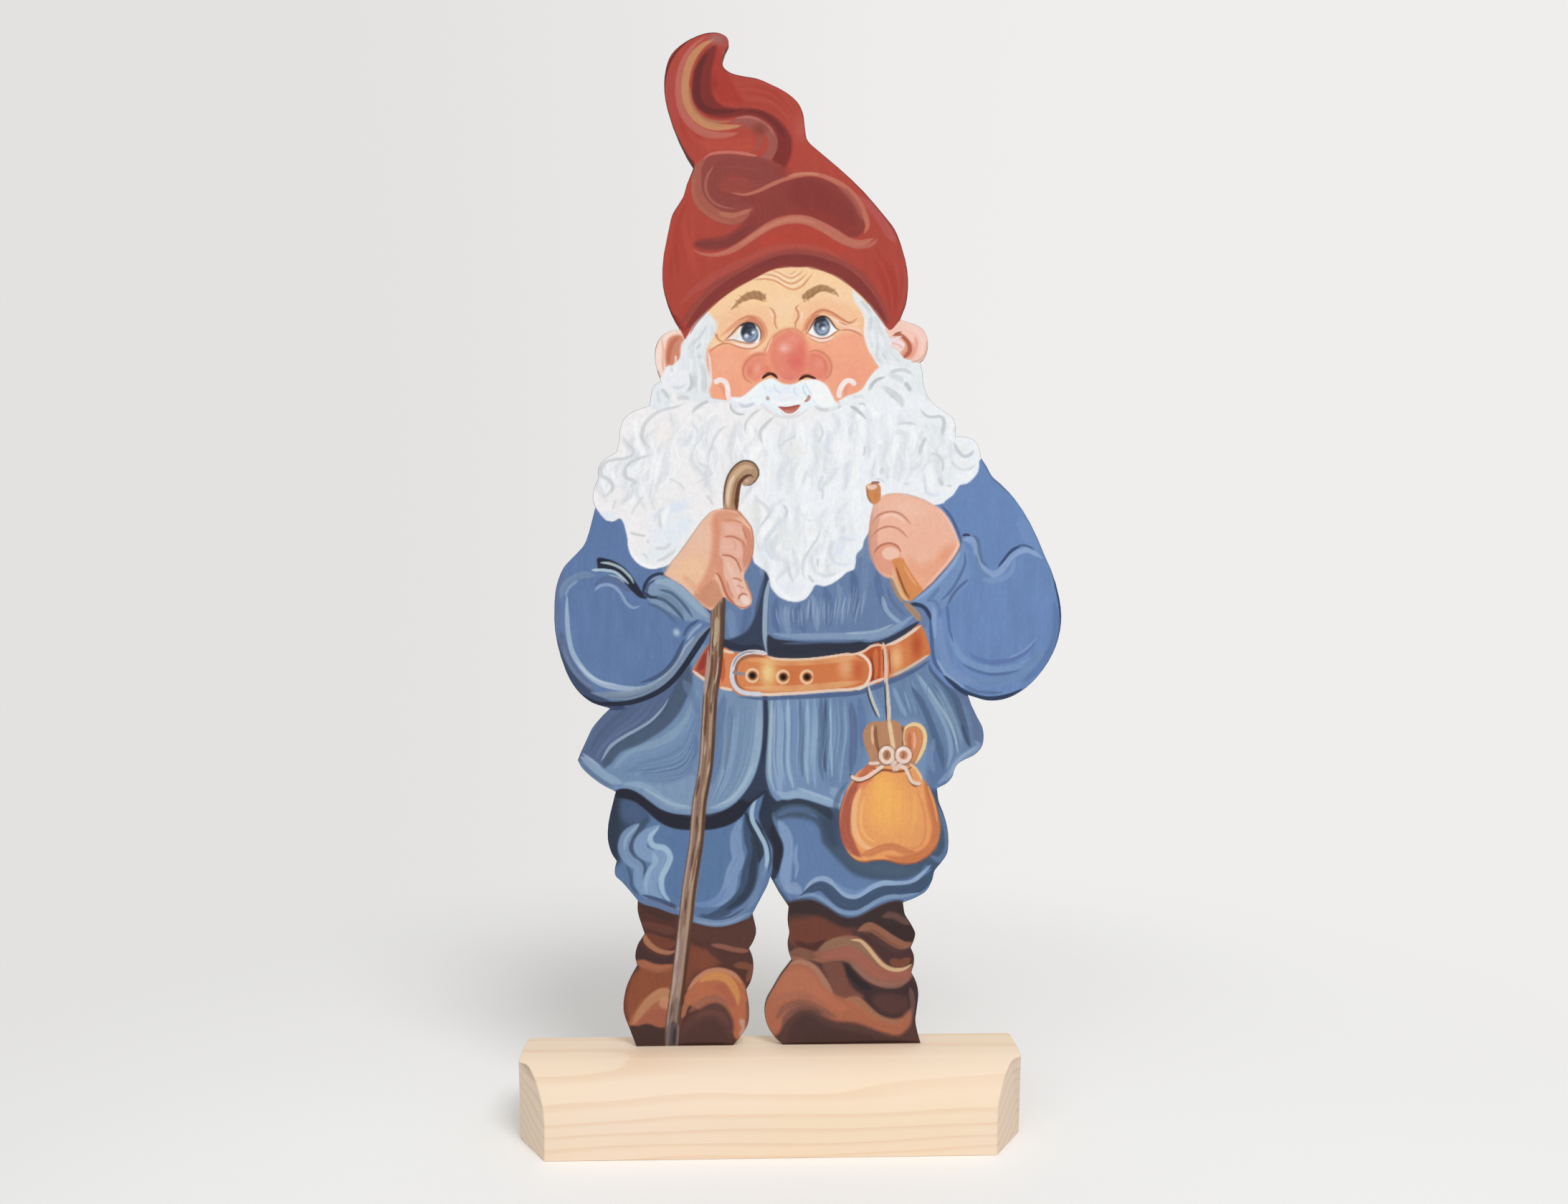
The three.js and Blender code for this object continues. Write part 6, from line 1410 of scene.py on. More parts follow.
def paintCap(c):
    s = capPaint
    c.fill(shapes["cap"], s["felt"], 0.2)
    c.hair("-54,520 -50,500 -46,486 -36,478", "-50,516 -44,498 -38,490 -28,484", 8, 2.4,
        [(184, 74, 60), (170, 56, 44)], 0.4, 0.6, 1.2, 61)
    c.hair("-56,410 -56,430 -52,446 -46,458", "-36,408 -40,422 -46,440 -42,452", 12, 3,
        [(186, 76, 64), (170, 58, 46), (180, 66, 52)], 0.4, 0.6, 1.6, 62)
    c.hair("-26,516 -12,516 2,512 12,502", "-24,506 -10,505 2,502 14,488", 9, 2.6,
        [(168, 56, 44), (184, 76, 64)], 0.4, 0.6, 1.4, 63)
    c.hair("60,436 68,424 71,410 68,394", "52,428 58,416 62,404 64,390", 9, 2.4,
        [(168, 56, 46), (184, 78, 70)], 0.4, 0.6, 1.4, 64)
    c.glow(16, 492, 6, 12, (188, 86, 76), 0.8)
    c.glow(14, 480, 10, 10, (182, 68, 56), 0.6)
    c.line("48,456 56,449 62,441 67,432", (4, 7.6), (184, 84, 80), 1.8, 0.9)
    c.line("71,428 72.6,416 72,404 69,394", 2.9, (176, 74, 68), 1.2, 0.8)
    c.line("-52,524 -54,514 -53,504 -49,494", (6.8, 4), (176, 72, 66), 1.8, 0.8)
    # the tip
    c.glow(-28, 540, 9, 6, (160, 90, 86), 0.95)
    c.fill("-28,534.6 -30,529 -31,520 -30,512 -27,506.4 -20,505 -14,505 -18,512 -22,519 -25,524 -26,530",
        (170, 56, 46), 1.6, 0.9)
    # the dark valley that winds down from the tip
    valley = (
        "-29.4,536.4 -34,534.4 -38,529.6 -41,522 -42.2,514.4 -41.4,507 -38,501.6 -33,498.4 -26,497.4 "
        "-18,498.4 -11,498.8 -5,497 0,493.4 2.8,488.4 3,482 1,477 1,470 6,470 9.4,474.4 11.2,481 10.8,487.6 "
        "7.6,493.4 2.4,498.4 -4,501.6 -12,503 -20,503 -26.4,504.6 -30.4,508.6 -32,515 -31.6,523 -30,530"
    )
    c.fill(valley, s["valley"], 1.3)
    c.line("-34.4,532 -38.4,524.4 -40,516 -39.4,508 -35.6,502.6 -29,501 -15,502", (3.9, 4.4, 1.6), s["deep"],
        1.4, 0.85)
    c.line("-14,501.6 -7,501 -1,498 4,493 7.6,487", 2.4, (108, 40, 38), 1.0, 0.75)
    # the pink and ochre bands along the valley
    c.line("-34.6,541.2 -41,536.6 -46,529.4 -49,520.4 -49.6,511.6 -48.4,503.4 -45,496.6 -39.6,491.4 "
        "-32.4,488.6 -25,488.4 -18,489.4",
           (2.5, 4.8), s["pink"], 1.0, 0.9)
    c.line("-31,539.6 -37,536 -42,530 -45,522 -46,513.6 -45,505.6 -41.6,499.2 -36.4,494.8 -29.6,492.8 "
        "-22.6,492.8 -16,493.6",
           4.1, s["ochre"], 0.8, 0.97)
    c.line("-43.6,514 -43,506.6 -39.6,500.4 -34.4,496.6 -28,495.4 -21,496", 1.5, (178, 118, 88), 0.6, 0.8)
    c.line("-21,495.4 -14,496.6 -7,495 -2,491.4 1,486.4 0.6,481 -2.4,476.6 -8,474.6", 4.8, (160, 86, 78), 1.0,
        0.95)
    c.line("-19,497.6 -12,498.4 -6,496.6 -1,493 1.8,488", 1.4, (182, 108, 96), 0.6, 0.8)
    c.line("-17,493 -10,492.6 -6,489 -6.4,483.4 -9,479.6", 2.5, (160, 82, 70), 1.0, 0.8)
    c.glow(-6, 492, 7, 6, (128, 56, 48), 0.75)
    c.fill("-36,486 -24,486 -12,487 -10,483 -13,479.6 -24,480 -34,480", s["bright"], 2.2, 0.8)
    c.glow(-13, 482, 7, 3, (190, 78, 54), 0.7)
    # the curl
    curl = (
        "-8,477.6 -16,478.6 -26,478.8 -33,477.4 -38,474 -41,468.4 -42.4,461.4 -41.6,454.4 -38,448.4 "
        "-31.6,443.4 -24,440.6 -16,441.2 -11.4,444.6 -9,449 -3,450 4,456 8,466 6,472 0,475"
    )
    c.fill(curl, (148, 68, 62), 1.0)
    c.fill("-30,472 -22,476 -8,475.6 2,472 6,466 2,458 -10,452 -26,449.6 -33,455 -35,463", (143, 65, 59), 1.6)
    c.fill("-22,468 -14,466 -8,461 -16,457.4 -24,457 -27,462", (158, 68, 58), 2.2, 0.8)
    c.hair("-28,473 -16,474 -4,471 4,466", "-32,458 -20,455 -8,455 2,458", 10, 1.5,
        [(156, 74, 68), (136, 58, 54), (150, 70, 62)], 0.5, 0.4, 0.9, 65)
    c.line("-35,476 -39,471 -40,463 -39,456 -34.6,449.6 -28,445 -20.6,443.4 -15,445 -11,448", (4.8, 6.7),
        (170, 92, 76), 1.0, 0.95)
    c.line("-41,466 -41.8,458.4 -39.6,451.6 -34.6,446.4 -27.6,442.6 -20.6,441.2", 2, (182, 98, 80), 0.8, 0.8)
    c.line("-28,446.6 -21,445.4 -15,447 -10.4,449", (3.1, 1.9), (190, 112, 88), 0.9, 0.85)
    c.line("-31,471.6 -34.4,465.4 -34.8,458.6 -31.6,453 -26,450 -19,448.8", (1.8, 1), (178, 106, 92), 0.5,
        0.7)
    c.line("-36.4,475.4 -32,478.2 -25,479.2 -17,479 -11,478 -7.4,477.4", (1.3, 2), (202, 112, 98), 0.5, 0.95)
    # the large roll
    c.fill("-10,458 -2,459.4 6,463.4 14,466 22,466.6 30,465.4 38,461.4 45,454.6 49.4,446.6 50.6,440 "
        "48,435.6 44,434 38,436 30,441 22,444.6 14,446 6,445.4 -2,441.6 -9,436.6 -16,431.6 -24,427.6 "
        "-32,426.4 -38,427 -41.6,429.6 -38,432.4 -30,433.4 -23,435.4 -16,440.4 -11,446 -9,450 -16,455",
        s["shade"], 1.2)
    c.fill("12,464 22,465 32,461 40,454 45,446 46,440 38,440 28,446 16,449 10,455", (136, 54, 49), 2.4, 0.9)
    c.line("12,448 22,447 32,443 42,438 49,437", 5.2, (146, 54, 48), 1.6, 0.7)
    c.line("-40,430 -34,429.4 -26,430 -18,433.6 -10,439.6", 4.2, (130, 56, 52), 1.2, 0.85)
    c.line("-21,457.4 -14,456.6 -7,458.6 0,462 7,465 14,467 21,468 28,467 35,464 41,460 46.4,454 50,447.4 "
        "52,441 50.4,436.6",
           (2.2, 2, 5.1), (194, 110, 90), 0.7, 0.95)
    c.line("9,466.6 14,468 20,468.4 26,467.8", 1.4, (206, 132, 102), 0.5, 0.8)
    c.line("36,462 42,457 46.6,450.4 49,444", 2.7, (164, 84, 74), 1.1, 0.8)
    # the lower roll
    c.fill("-6,432 4,437 16,439.6 26,438 36,431.6 42,427.6 34,426 22,430 8,430 -2,428", (184, 68, 54), 2.2,
        0.9)
    c.line("-41.4,426.6 -37,424.6 -31,424 -24.4,425.4 -17.4,428.8 -3.4,438.4 4,442 12,443.6 19.6,443 27,440 "
        "34,436 41,432 48,431 54.6,433.4",
           (2.2, 6.3), s["arch"], 1.0, 0.95)
    c.line("-16,430 -8,435.4 0,440 8,443 16,443.6 24,441.6", (1.6, 2.3), (202, 124, 102), 0.9, 0.8)
    c.line("40,431 47,429 54,430.4 57.4,433.6", 2.2, (192, 106, 92), 0.9, 0.85)
    # the brim
    c.line("-48,398 -41,405 -32,411 -22,416 -12,421 -2,426 8,428 18,428 28,426 38,420 48,412 56,402 62,391",
        (6, 4.7, 5.7), (180, 80, 70), 1.6, 0.75)
    c.line("-49,387 -36,400 -28,407 -8,418 2,422 12,424 22,423.4 32,421 42,416.4 51.6,408 58.6,398.4 "
        "63.8,388.4",
           7.2, (152, 70, 62), 1.6, 0.9)
    c.line("-46,384 -36,396 -29,402.6 -20,409 -11,414 -2,418.6 6,421 14,421 22,421 30,418.8 39,415 48,407.6 "
        "56.4,398 62.4,388",
           6.3, (134, 55, 51), 1.1, 0.97)
    c.line("-10,416 0,420.6 8,423 16,423.6 24,422 32,418.4", 2.8, (126, 52, 52), 1.2, 0.7)
    c.line("-43.4,381.6 -40,387.6 -35,393.3 -30,398.1 -25,402.9 -20,406.8 -15,410.2 -10,412.8 -5,415.3 "
        "0,417 5,417.6 10,417.8", (1.5, 1.1, 1.6), (138, 58, 48), 0.5, 0.6)
    c.line("20,417.6 27,416.6 34,414 40,410.3 46,405.8 52,399.8 58,391.8 62,385.8", (1.3, 1.2), (132, 54, 48),
        0.5, 0.6)
    c.line("-52,392 -49,386.6 -46,383", 2.7, (160, 52, 46), 1.0, 0.8)
    c.glow(-31, 516, 4, 8, (138, 44, 36), 0.5)
    c.glow(6, 469, 7, 5, (144, 56, 46), 0.55)
    c.glow(-30, 540, 6, 4.4, (176, 120, 112), 0.45)
    c.wash(shapes["cap"], (1, 1.04, 1.05))
    # rims of the outline
    c.line("-24.4,533.6 -26,528.6 -25.8,524 -21.6,521.4 -15,519.8 -7,519 1,516.8 8,512.8 14,507 17.4,500 "
        "18.6,492 19.6,486.4 25,482 33,475.4 42,466.8 51,457.2 60,446.8 67,436.6 71.6,426 73.8,414 73,402 "
        "69.6,391.6 65,385.6",
           (0.9,) * 23, (128, 56, 56), 0.5, 0.75)
    c.line("-30,543.4 -37,542.2 -45,538.4 -52,531 -56,522.4 -57.4,513 -56.6,503.6 -53.6,493.6 -49.4,484.4 "
        "-45,477 -41.6,471.6 -45,463.4 -48.6,454.6 -53.4,445 -56.6,434 -58.6,422 -58.8,410 -56,399 "
        "-51.6,390 -46.8,383",
           1.4, s["rim"], 0.5, 0.85)


handPaint = {
    "skin": (241, 187, 157),
    "line": (192, 116, 90),
}
stickPaint = {
    "wood": (172, 136, 98),
    "dark": (76, 48, 32),
}
pouchPaint = {
    "leather": (238, 162, 98),
    "bright": (251, 183, 96),
    "peach": (247, 189, 134),
    "cord": (243, 216, 194),
    "dark": (112, 66, 46),
}


def paintHands(c):
    h = handPaint
    # left hand, round the stick
    c.fill(shapes["hand_left"], h["skin"], 0.25, 1, 0.012)
    c.within(shapes["hand_left"])
    c.glow(-42, 256, 16, 12, (245, 196, 152), 0.8)
    c.glow(-38, 272, 10, 12, (241, 192, 166), 0.8)
    c.within()
    c.fill("-30,286 -25.6,287 -20,286.4 -16,284 -22,281.6 -25.4,278 -27,271 -28,263 -27,256 -29.4,254 "
        "-31.4,248 -34,242 -31,236 -36,239 -41,243 -37,250 -33.4,258 -32,266 -31.6,274 -32,281",
        (226, 152, 122), 1.5, 0.95, 0.012)
    c.fill("-31,250 -28.4,248 -26.4,243 -26,240.6 -29.4,236.6 -33,234.6 -37.4,237.6 -41,241.4 -36,246",
        (210, 140, 108), 1.3, 0.9, 0.012)
    c.line("-29.4,283 -29,274 -29,265 -30,257", 2.9, (222, 146, 116), 1.2, 0.8)
    c.line("-47,252 -42,246.6 -38,242", 3, (232, 164, 128), 1.4, 0.6)
    c.fill("-26,281 -20,280.6 -14.4,279.4 -11.4,276 -10.4,270 -11,262 -13,257 -15.4,254 -18,259 -22,262.4 "
        "-27,263 -27.6,270 -26.6,276", (234, 168, 142), 0.9, 1, 0.012)
    c.line("-15.4,279.4 -12.4,275 -11.6,268 -12.6,261 -14.6,256.4", 3.1, (216, 140, 112), 0.9, 0.9)
    c.fill("-24.6,279.6 -20,279 -15.4,277.6 -14.6,273 -19,274.4 -24,274.6", (239, 180, 158), 0.8, 0.95, 0.01)
    c.fill("-25.6,272 -21.6,271.8 -17.6,270.4 -15.4,267 -15.8,262.6 -19,262 -22,264 -26,264.6 -27,268.6",
        (239, 180, 158), 0.8, 0.95, 0.01)
    c.line("-26,281.6 -20,281.6 -15,280", 1.7, (216, 142, 112), 0.7, 0.85)
    c.line("-25.4,272.8 -21.4,273.1 -18,272 -15,269.8 -13.2,266.6", 1, h["line"], 0.4, 0.9)
    c.line("-26.6,263 -22.4,262.7 -19,260.7 -16.8,256.4 -16,253.4", 1.1, h["line"], 0.4, 0.9)
    c.fill("-25.6,261.6 -22,261 -18.8,258.6 -17,254 -15.4,248.6 -12.6,243.4 -11,239 -12.6,236 -16.4,235.4 "
        "-19.2,237.4 -22,242 -23.4,248 -25,254 -26.6,258.6", (239, 182, 159), 0.7, 1, 0.012)
    c.line("-23.4,259.4 -20.8,253.4 -18.6,247 -16.6,242", 2.3, (244, 196, 176), 0.9, 0.85)
    c.fill("-28,262 -25.8,260.6 -25.4,254 -23.8,247 -21.6,241.4 -19.4,236.8 -22.4,238.4 -25.2,243.4 "
        "-27.2,250 -29,254", (224, 148, 120), 0.6, 0.95, 0.012)
    c.line("-30.2,253.8 -28,252.2 -26.2,248.2 -24.6,243.6 -22.4,239.6 -19.2,236.8", 1.3, (188, 106, 78), 0.4,
        0.92)
    c.line("-23.8,249.6 -22.2,244 -20,239.6", 1.2, (206, 128, 98), 0.5, 0.7)
    c.fill("-15.8,240.8 -13.8,241.4 -11.9,240 -11.5,237.6 -12.8,236.3 -14.8,236.8 -16,238.6", (245, 208, 192),
        0.4, 1, 0)
    c.line("-17.4,239 -16.8,241.4 -14.8,242.4 -12.6,241.4", 1, (188, 114, 90), 0.45, 0.9)
    c.line("-20.8,250.6 -18.2,250.4 -15.4,249", 1.1, (204, 130, 102), 0.5, 0.85)
    c.line("-18.6,246.8 -16.8,246.4 -14.6,245", 0.9, (212, 140, 114), 0.5, 0.8)
    c.line("-15.6,270 -14.2,266.6 -14,262.6 -15,258.6", 1.9, (216, 142, 114), 0.8, 0.85)
    c.line("-20.2,271 -19,268.2 -19.4,265.2", 1.2, (224, 158, 132), 0.6, 0.8)
    c.line("-15,278 -14,274.4 -12.8,271.4", 1.2, (200, 126, 98), 0.5, 0.85)
    c.line("-20,237 -17,235.2 -13.4,235 -11,236.8", 0.8, (196, 124, 98), 0.4, 0.85)
    c.line("-28,287.8 -24,288 -18.4,287 -15.2,284 -12.6,280.8 -10.5,277.6 -9.6,272 -9.7,266 -10.8,260.4 "
        "-13,256.4 -14.6,253.4", 1, (196, 124, 98), 0.4, 0.85)
    c.line("-13.6,250 -12.4,246 -10.8,242 -10.2,238.6", 0.9, (206, 134, 108), 0.4, 0.8)
    c.line("-57.6,252.8 -54.4,257.8 -50,263 -45.6,269 -41.4,275 -37.4,280.6 -32.8,285.6 -29,287.6", 0.9,
        (204, 176, 160), 0.45, 0.85)
    # right hand
    c.fill(shapes["hand_right"], (241, 184, 158), 0.25, 1, 0.012)
    c.within(shapes["hand_right"])
    c.glow(74, 288, 18, 8, (243, 194, 170), 0.9)
    c.glow(84, 272, 14, 14, (241, 180, 156), 0.6)
    c.fill("74,262 82,258 92,264 100,270 97,260 90,252 84,246 79,246 75,251", (235, 164, 132), 2.6, 0.85,
        0.012)
    c.glow(94, 264, 6, 9, (232, 158, 126), 0.8, -30)
    c.glow(80, 250, 6, 5, (242, 176, 142), 0.8)
    c.within()
    c.line("56,291 56,284 55,276 55,268 56.8,260.6 60.6,254.4", 4.9, (224, 160, 136), 1.4, 0.9)
    c.line("55,293 56.4,287 56,281", 2.2, (232, 188, 174), 0.8, 0.8)
    c.fill("56.6,263 59,268 63,269.4 67.4,268 70,264 69,260.6 66,259.6 67,253 62.4,252.6 58,256",
        (228, 156, 130), 0.9, 0.9, 0.012)
    c.glow(66.4, 281, 9, 5, (241, 186, 158), 0.8)
    c.glow(66, 273, 8, 4.4, (240, 184, 156), 0.8)
    c.line("59.4,282 62,284.4 66,284.8 69.6,283 72,280.4", 1.5, (248, 206, 186), 0.6, 0.85)
    c.line("54.4,280 57,283.8 61,286 65.4,286.6 69.6,285.4 73,282.6 75.4,279.8", 1.1, (200, 132, 110), 0.4,
        0.9)
    c.line("54,272.6 56.8,276 60.4,278 64.4,278.6 68.4,277.4 71.4,275 73.6,272.4", 1.1, (198, 130, 106), 0.4,
        0.9)
    c.line("55.4,264 57.8,267.4 61.2,269.2 65,269.4 68.2,267.8 70.2,264.6", 1.2, (190, 116, 92), 0.4, 0.92)
    c.fill("59.8,264.4 61.4,266.8 65,267.6 68,266.2 69.4,263.4 67.6,261.2 64,260.6 61,261.6", (244, 196, 174),
        0.5, 1, 0)
    # the pouch's thong in the right hand
    c.fill("65.4,260.6 70.8,261.6 73,258 77,251.4 80.6,246.6 82,244.4 79,241.6 75.4,238.4 72.4,240.6 70,245 "
        "68,251 66.6,256", (217, 140, 86), 0.5, 1, 0.02)
    c.line("71.6,257.6 75,251.4 78.6,246.6", 1.2, (238, 172, 122), 0.6, 0.7)
    c.line("67.4,257 68.8,252.4 70.6,247.6 72.6,243 75,239.6", 1.2, (136, 84, 52), 0.35, 0.9)
    c.line("65.6,256 66.6,251.6 68.4,246.6 70.6,241.6 73,238.2", 1.8, (226, 180, 130), 0.4, 0.95)
    c.line("64.2,251.4 66,246.6 68.4,241.6 71.4,237.4", 1.9, (178, 140, 104), 0.4, 0.95)
    c.line("72,237.6 78,231.4 80.4,227.6", 3.5, (176, 142, 112), 0.6, 0.95)
    c.line("59.4,295.2 64,296 70,296.2 76,295 82,293 87.6,290.4", 1, (222, 178, 156), 0.5, 0.8)
    c.line("90,288.4 94.4,283.8 97.8,278 100.4,271.8 100.6,268 97.6,262.6 93,256.6 87.6,250.6 82.6,246", 1.1,
        (247, 204, 184), 0.5, 0.8)
    c.line("54.4,287 53.6,280 53.4,272 54,264 56,257.4 60,252.6 64.6,251", 0.9, (206, 150, 134), 0.4, 0.8)
    # the thong's end above the fist
    c.fill("51.4,300.6 51.4,296.6 52.6,293 54.6,290.8 57,290.8 58.8,293 59.2,297 58.6,300.8 55.4,302",
        (212, 144, 96), 0.4, 1, 0.02)
    c.glow(56.4, 295, 2.6, 4, (214, 132, 70), 0.9)
    c.line("51.9,299 52,295.6 53.2,292.6 54.8,291", 1.1, (170, 122, 88), 0.45, 0.85)
    c.line("51.8,300.4 54.2,299.6 57,300.4", 2.5, (244, 208, 196), 0.5, 0.95)
    c.line("53.8,302 56,302.3 58.6,302.2", 1.3, (150, 96, 88), 0.4, 0.9)


def paintStick(c):
    s = stickPaint
    c.fill(shapes["stick_hook"], s["wood"], 0.2, 1, 0.05, 94)
    c.fill(shapes["stick_shaft"], s["wood"], 0.2, 1, 0.05, 94)
    # hook
    c.line("-23,288 -23,294 -22,300 -19.8,305.4 -16.4,309 -12.8,310.6 -9.6,309.4", 2.9, (204, 166, 120), 0.6,
        0.95)
    c.line("-23.4,290 -23,296 -22,301.4 -19.6,306", 1.5, (226, 196, 156), 0.5, 0.9)
    c.line("-18.6,287 -18.4,292 -17.8,297.4 -16.6,302 -14,305 -11,306 -9.6,304.8", (2.5, 1.6), (92, 56, 38),
        0.45, 0.97)
    c.line("-20.4,288 -20.2,294 -19.2,300 -17,304.8", 1.5, (152, 110, 74), 0.5, 0.85)
    c.glow(-13, 303, 2, 1.6, (208, 170, 152), 0.95)
    c.line("-25.2,286 -25.3,293 -24.7,300 -22.9,306 -19.8,310.4 -16.2,313.2 -12.8,313.8 -9.4,312.6 "
        "-7.2,309.8 -6.6,306.6 -8.2,303.2 -11,300.8 -14.2,300.4", (1,) * 13, (84, 60, 46), 0.4, 0.9)
    # shaft
    mid = (
        "-28,252! -28.2,240 -28.6,230 -28.8,220 -29.6,210 -30.6,200 -32.2,190 -33,180 -33.6,170 -34.2,160 "
        "-35,150 -36.6,140 -38.4,130 -39.2,120 -40,110 -41.4,100 -43,90 -44.4,80 -45.4,70 -46.6,60 -47.8,50 "
        "-49,40 -50.2,30 -51.6,20 -52.8,10 -53,0"
    )
    path = readPoints(mid)[-1]
    side = lambda k: path + [k, 0]
    bands = ((-2.8, 1.4, (186, 156, 122)), (-1.5, 1.6, (148, 114, 84)), (-0.2, 1.6, (130, 95, 66)),
        (1.2, 1.9, (178, 144, 101)), (2.3, 0.9, (146, 110, 78)), (3.1, 1.7, s["dark"]),
        (-3.6, 0.7, (104, 78, 60)))
    for offset, width, tone in bands:
        c.line(side(offset), width, tone, 0.6, 0.85, (0, 0), 0.2)
    # knots, splits and lit stretches down the shaft
    rng = np.random.default_rng(8)
    for z in np.arange(4, 236, 5.6):
        x = np.interp(z, path[::-1, 1], path[::-1, 0])
        kind = rng.integers(4)
        a, b = rng.uniform(-2.6, 2.0), rng.uniform(6, 15)
        lean = np.interp(z + b, path[::-1, 1], path[::-1, 0]) - x
        tone = ((92, 60, 42), (204, 174, 134), (134, 98, 68), (80, 54, 40))[kind]
        c.line([(x + a, z), (x + a + lean * 0.5 + rng.uniform(-0.4, 0.4), z + b / 2), (x + a + lean, z + b)],
            (0.5, rng.uniform(0.8, 1.5), 0.5), tone, 0.7, rng.uniform(0.5, 0.85))
    # the lower end, flatter in tone and in shade at the foot
    c.line("-46.4,62 -47.8,50 -49,40 -50.2,30 -51.6,20", 3.2, (162, 130, 102), 0.8, 0.75)
    c.line("-49.4,58 -50.6,46 -51.6,36 -52.6,26", 1.2, (190, 166, 144), 0.5, 0.7)
    c.line("-50.6,26 -52.6,9 -53,-1", 6.2, (110, 88, 72), 2.2, 0.5)
    c.line("-52.2,13 -52.8,6 -53,-2", 6.4, (80, 67, 59), 2.2, 0.75)
    c.line("-54,14 -54.8,6 -55.4,0", 1.4, (128, 114, 100), 0.7, 0.7)
    c.line("-49.6,12 -49.8,6 -50.4,0", 1.2, (144, 122, 112), 0.6, 0.7)
    c.line("-51.4,10 -51.9,5 -52,0", 1.3, (52, 42, 38), 0.6, 0.8)
    c.line("-29,230 -29.4,222 -30.4,214", 2.1, (206, 176, 124), 0.6, 0.85)
    c.line("-26.6,238 -26.4,228 -26.8,218 -27.8,208", 1.8, (90, 66, 44), 0.5, 0.85)
    c.line("-30.6,238 -31,230 -31.2,222", 1.4, (124, 98, 66), 0.5, 0.8)
    c.line("-33.6,212 -34,204 -35,196 -35.8,188", 1.6, (186, 158, 138), 0.5, 0.85)
    c.line("-31.4,210 -31.8,202 -33,194", 1.4, (104, 62, 40), 0.45, 0.85)
    c.line("-29,212 -29.6,204 -30.4,196", 1.3, (124, 76, 48), 0.45, 0.8)
    c.line("-34.4,190 -34.6,180 -35.2,172 -35.4,166", 1.5, (112, 66, 38), 0.45, 0.85)


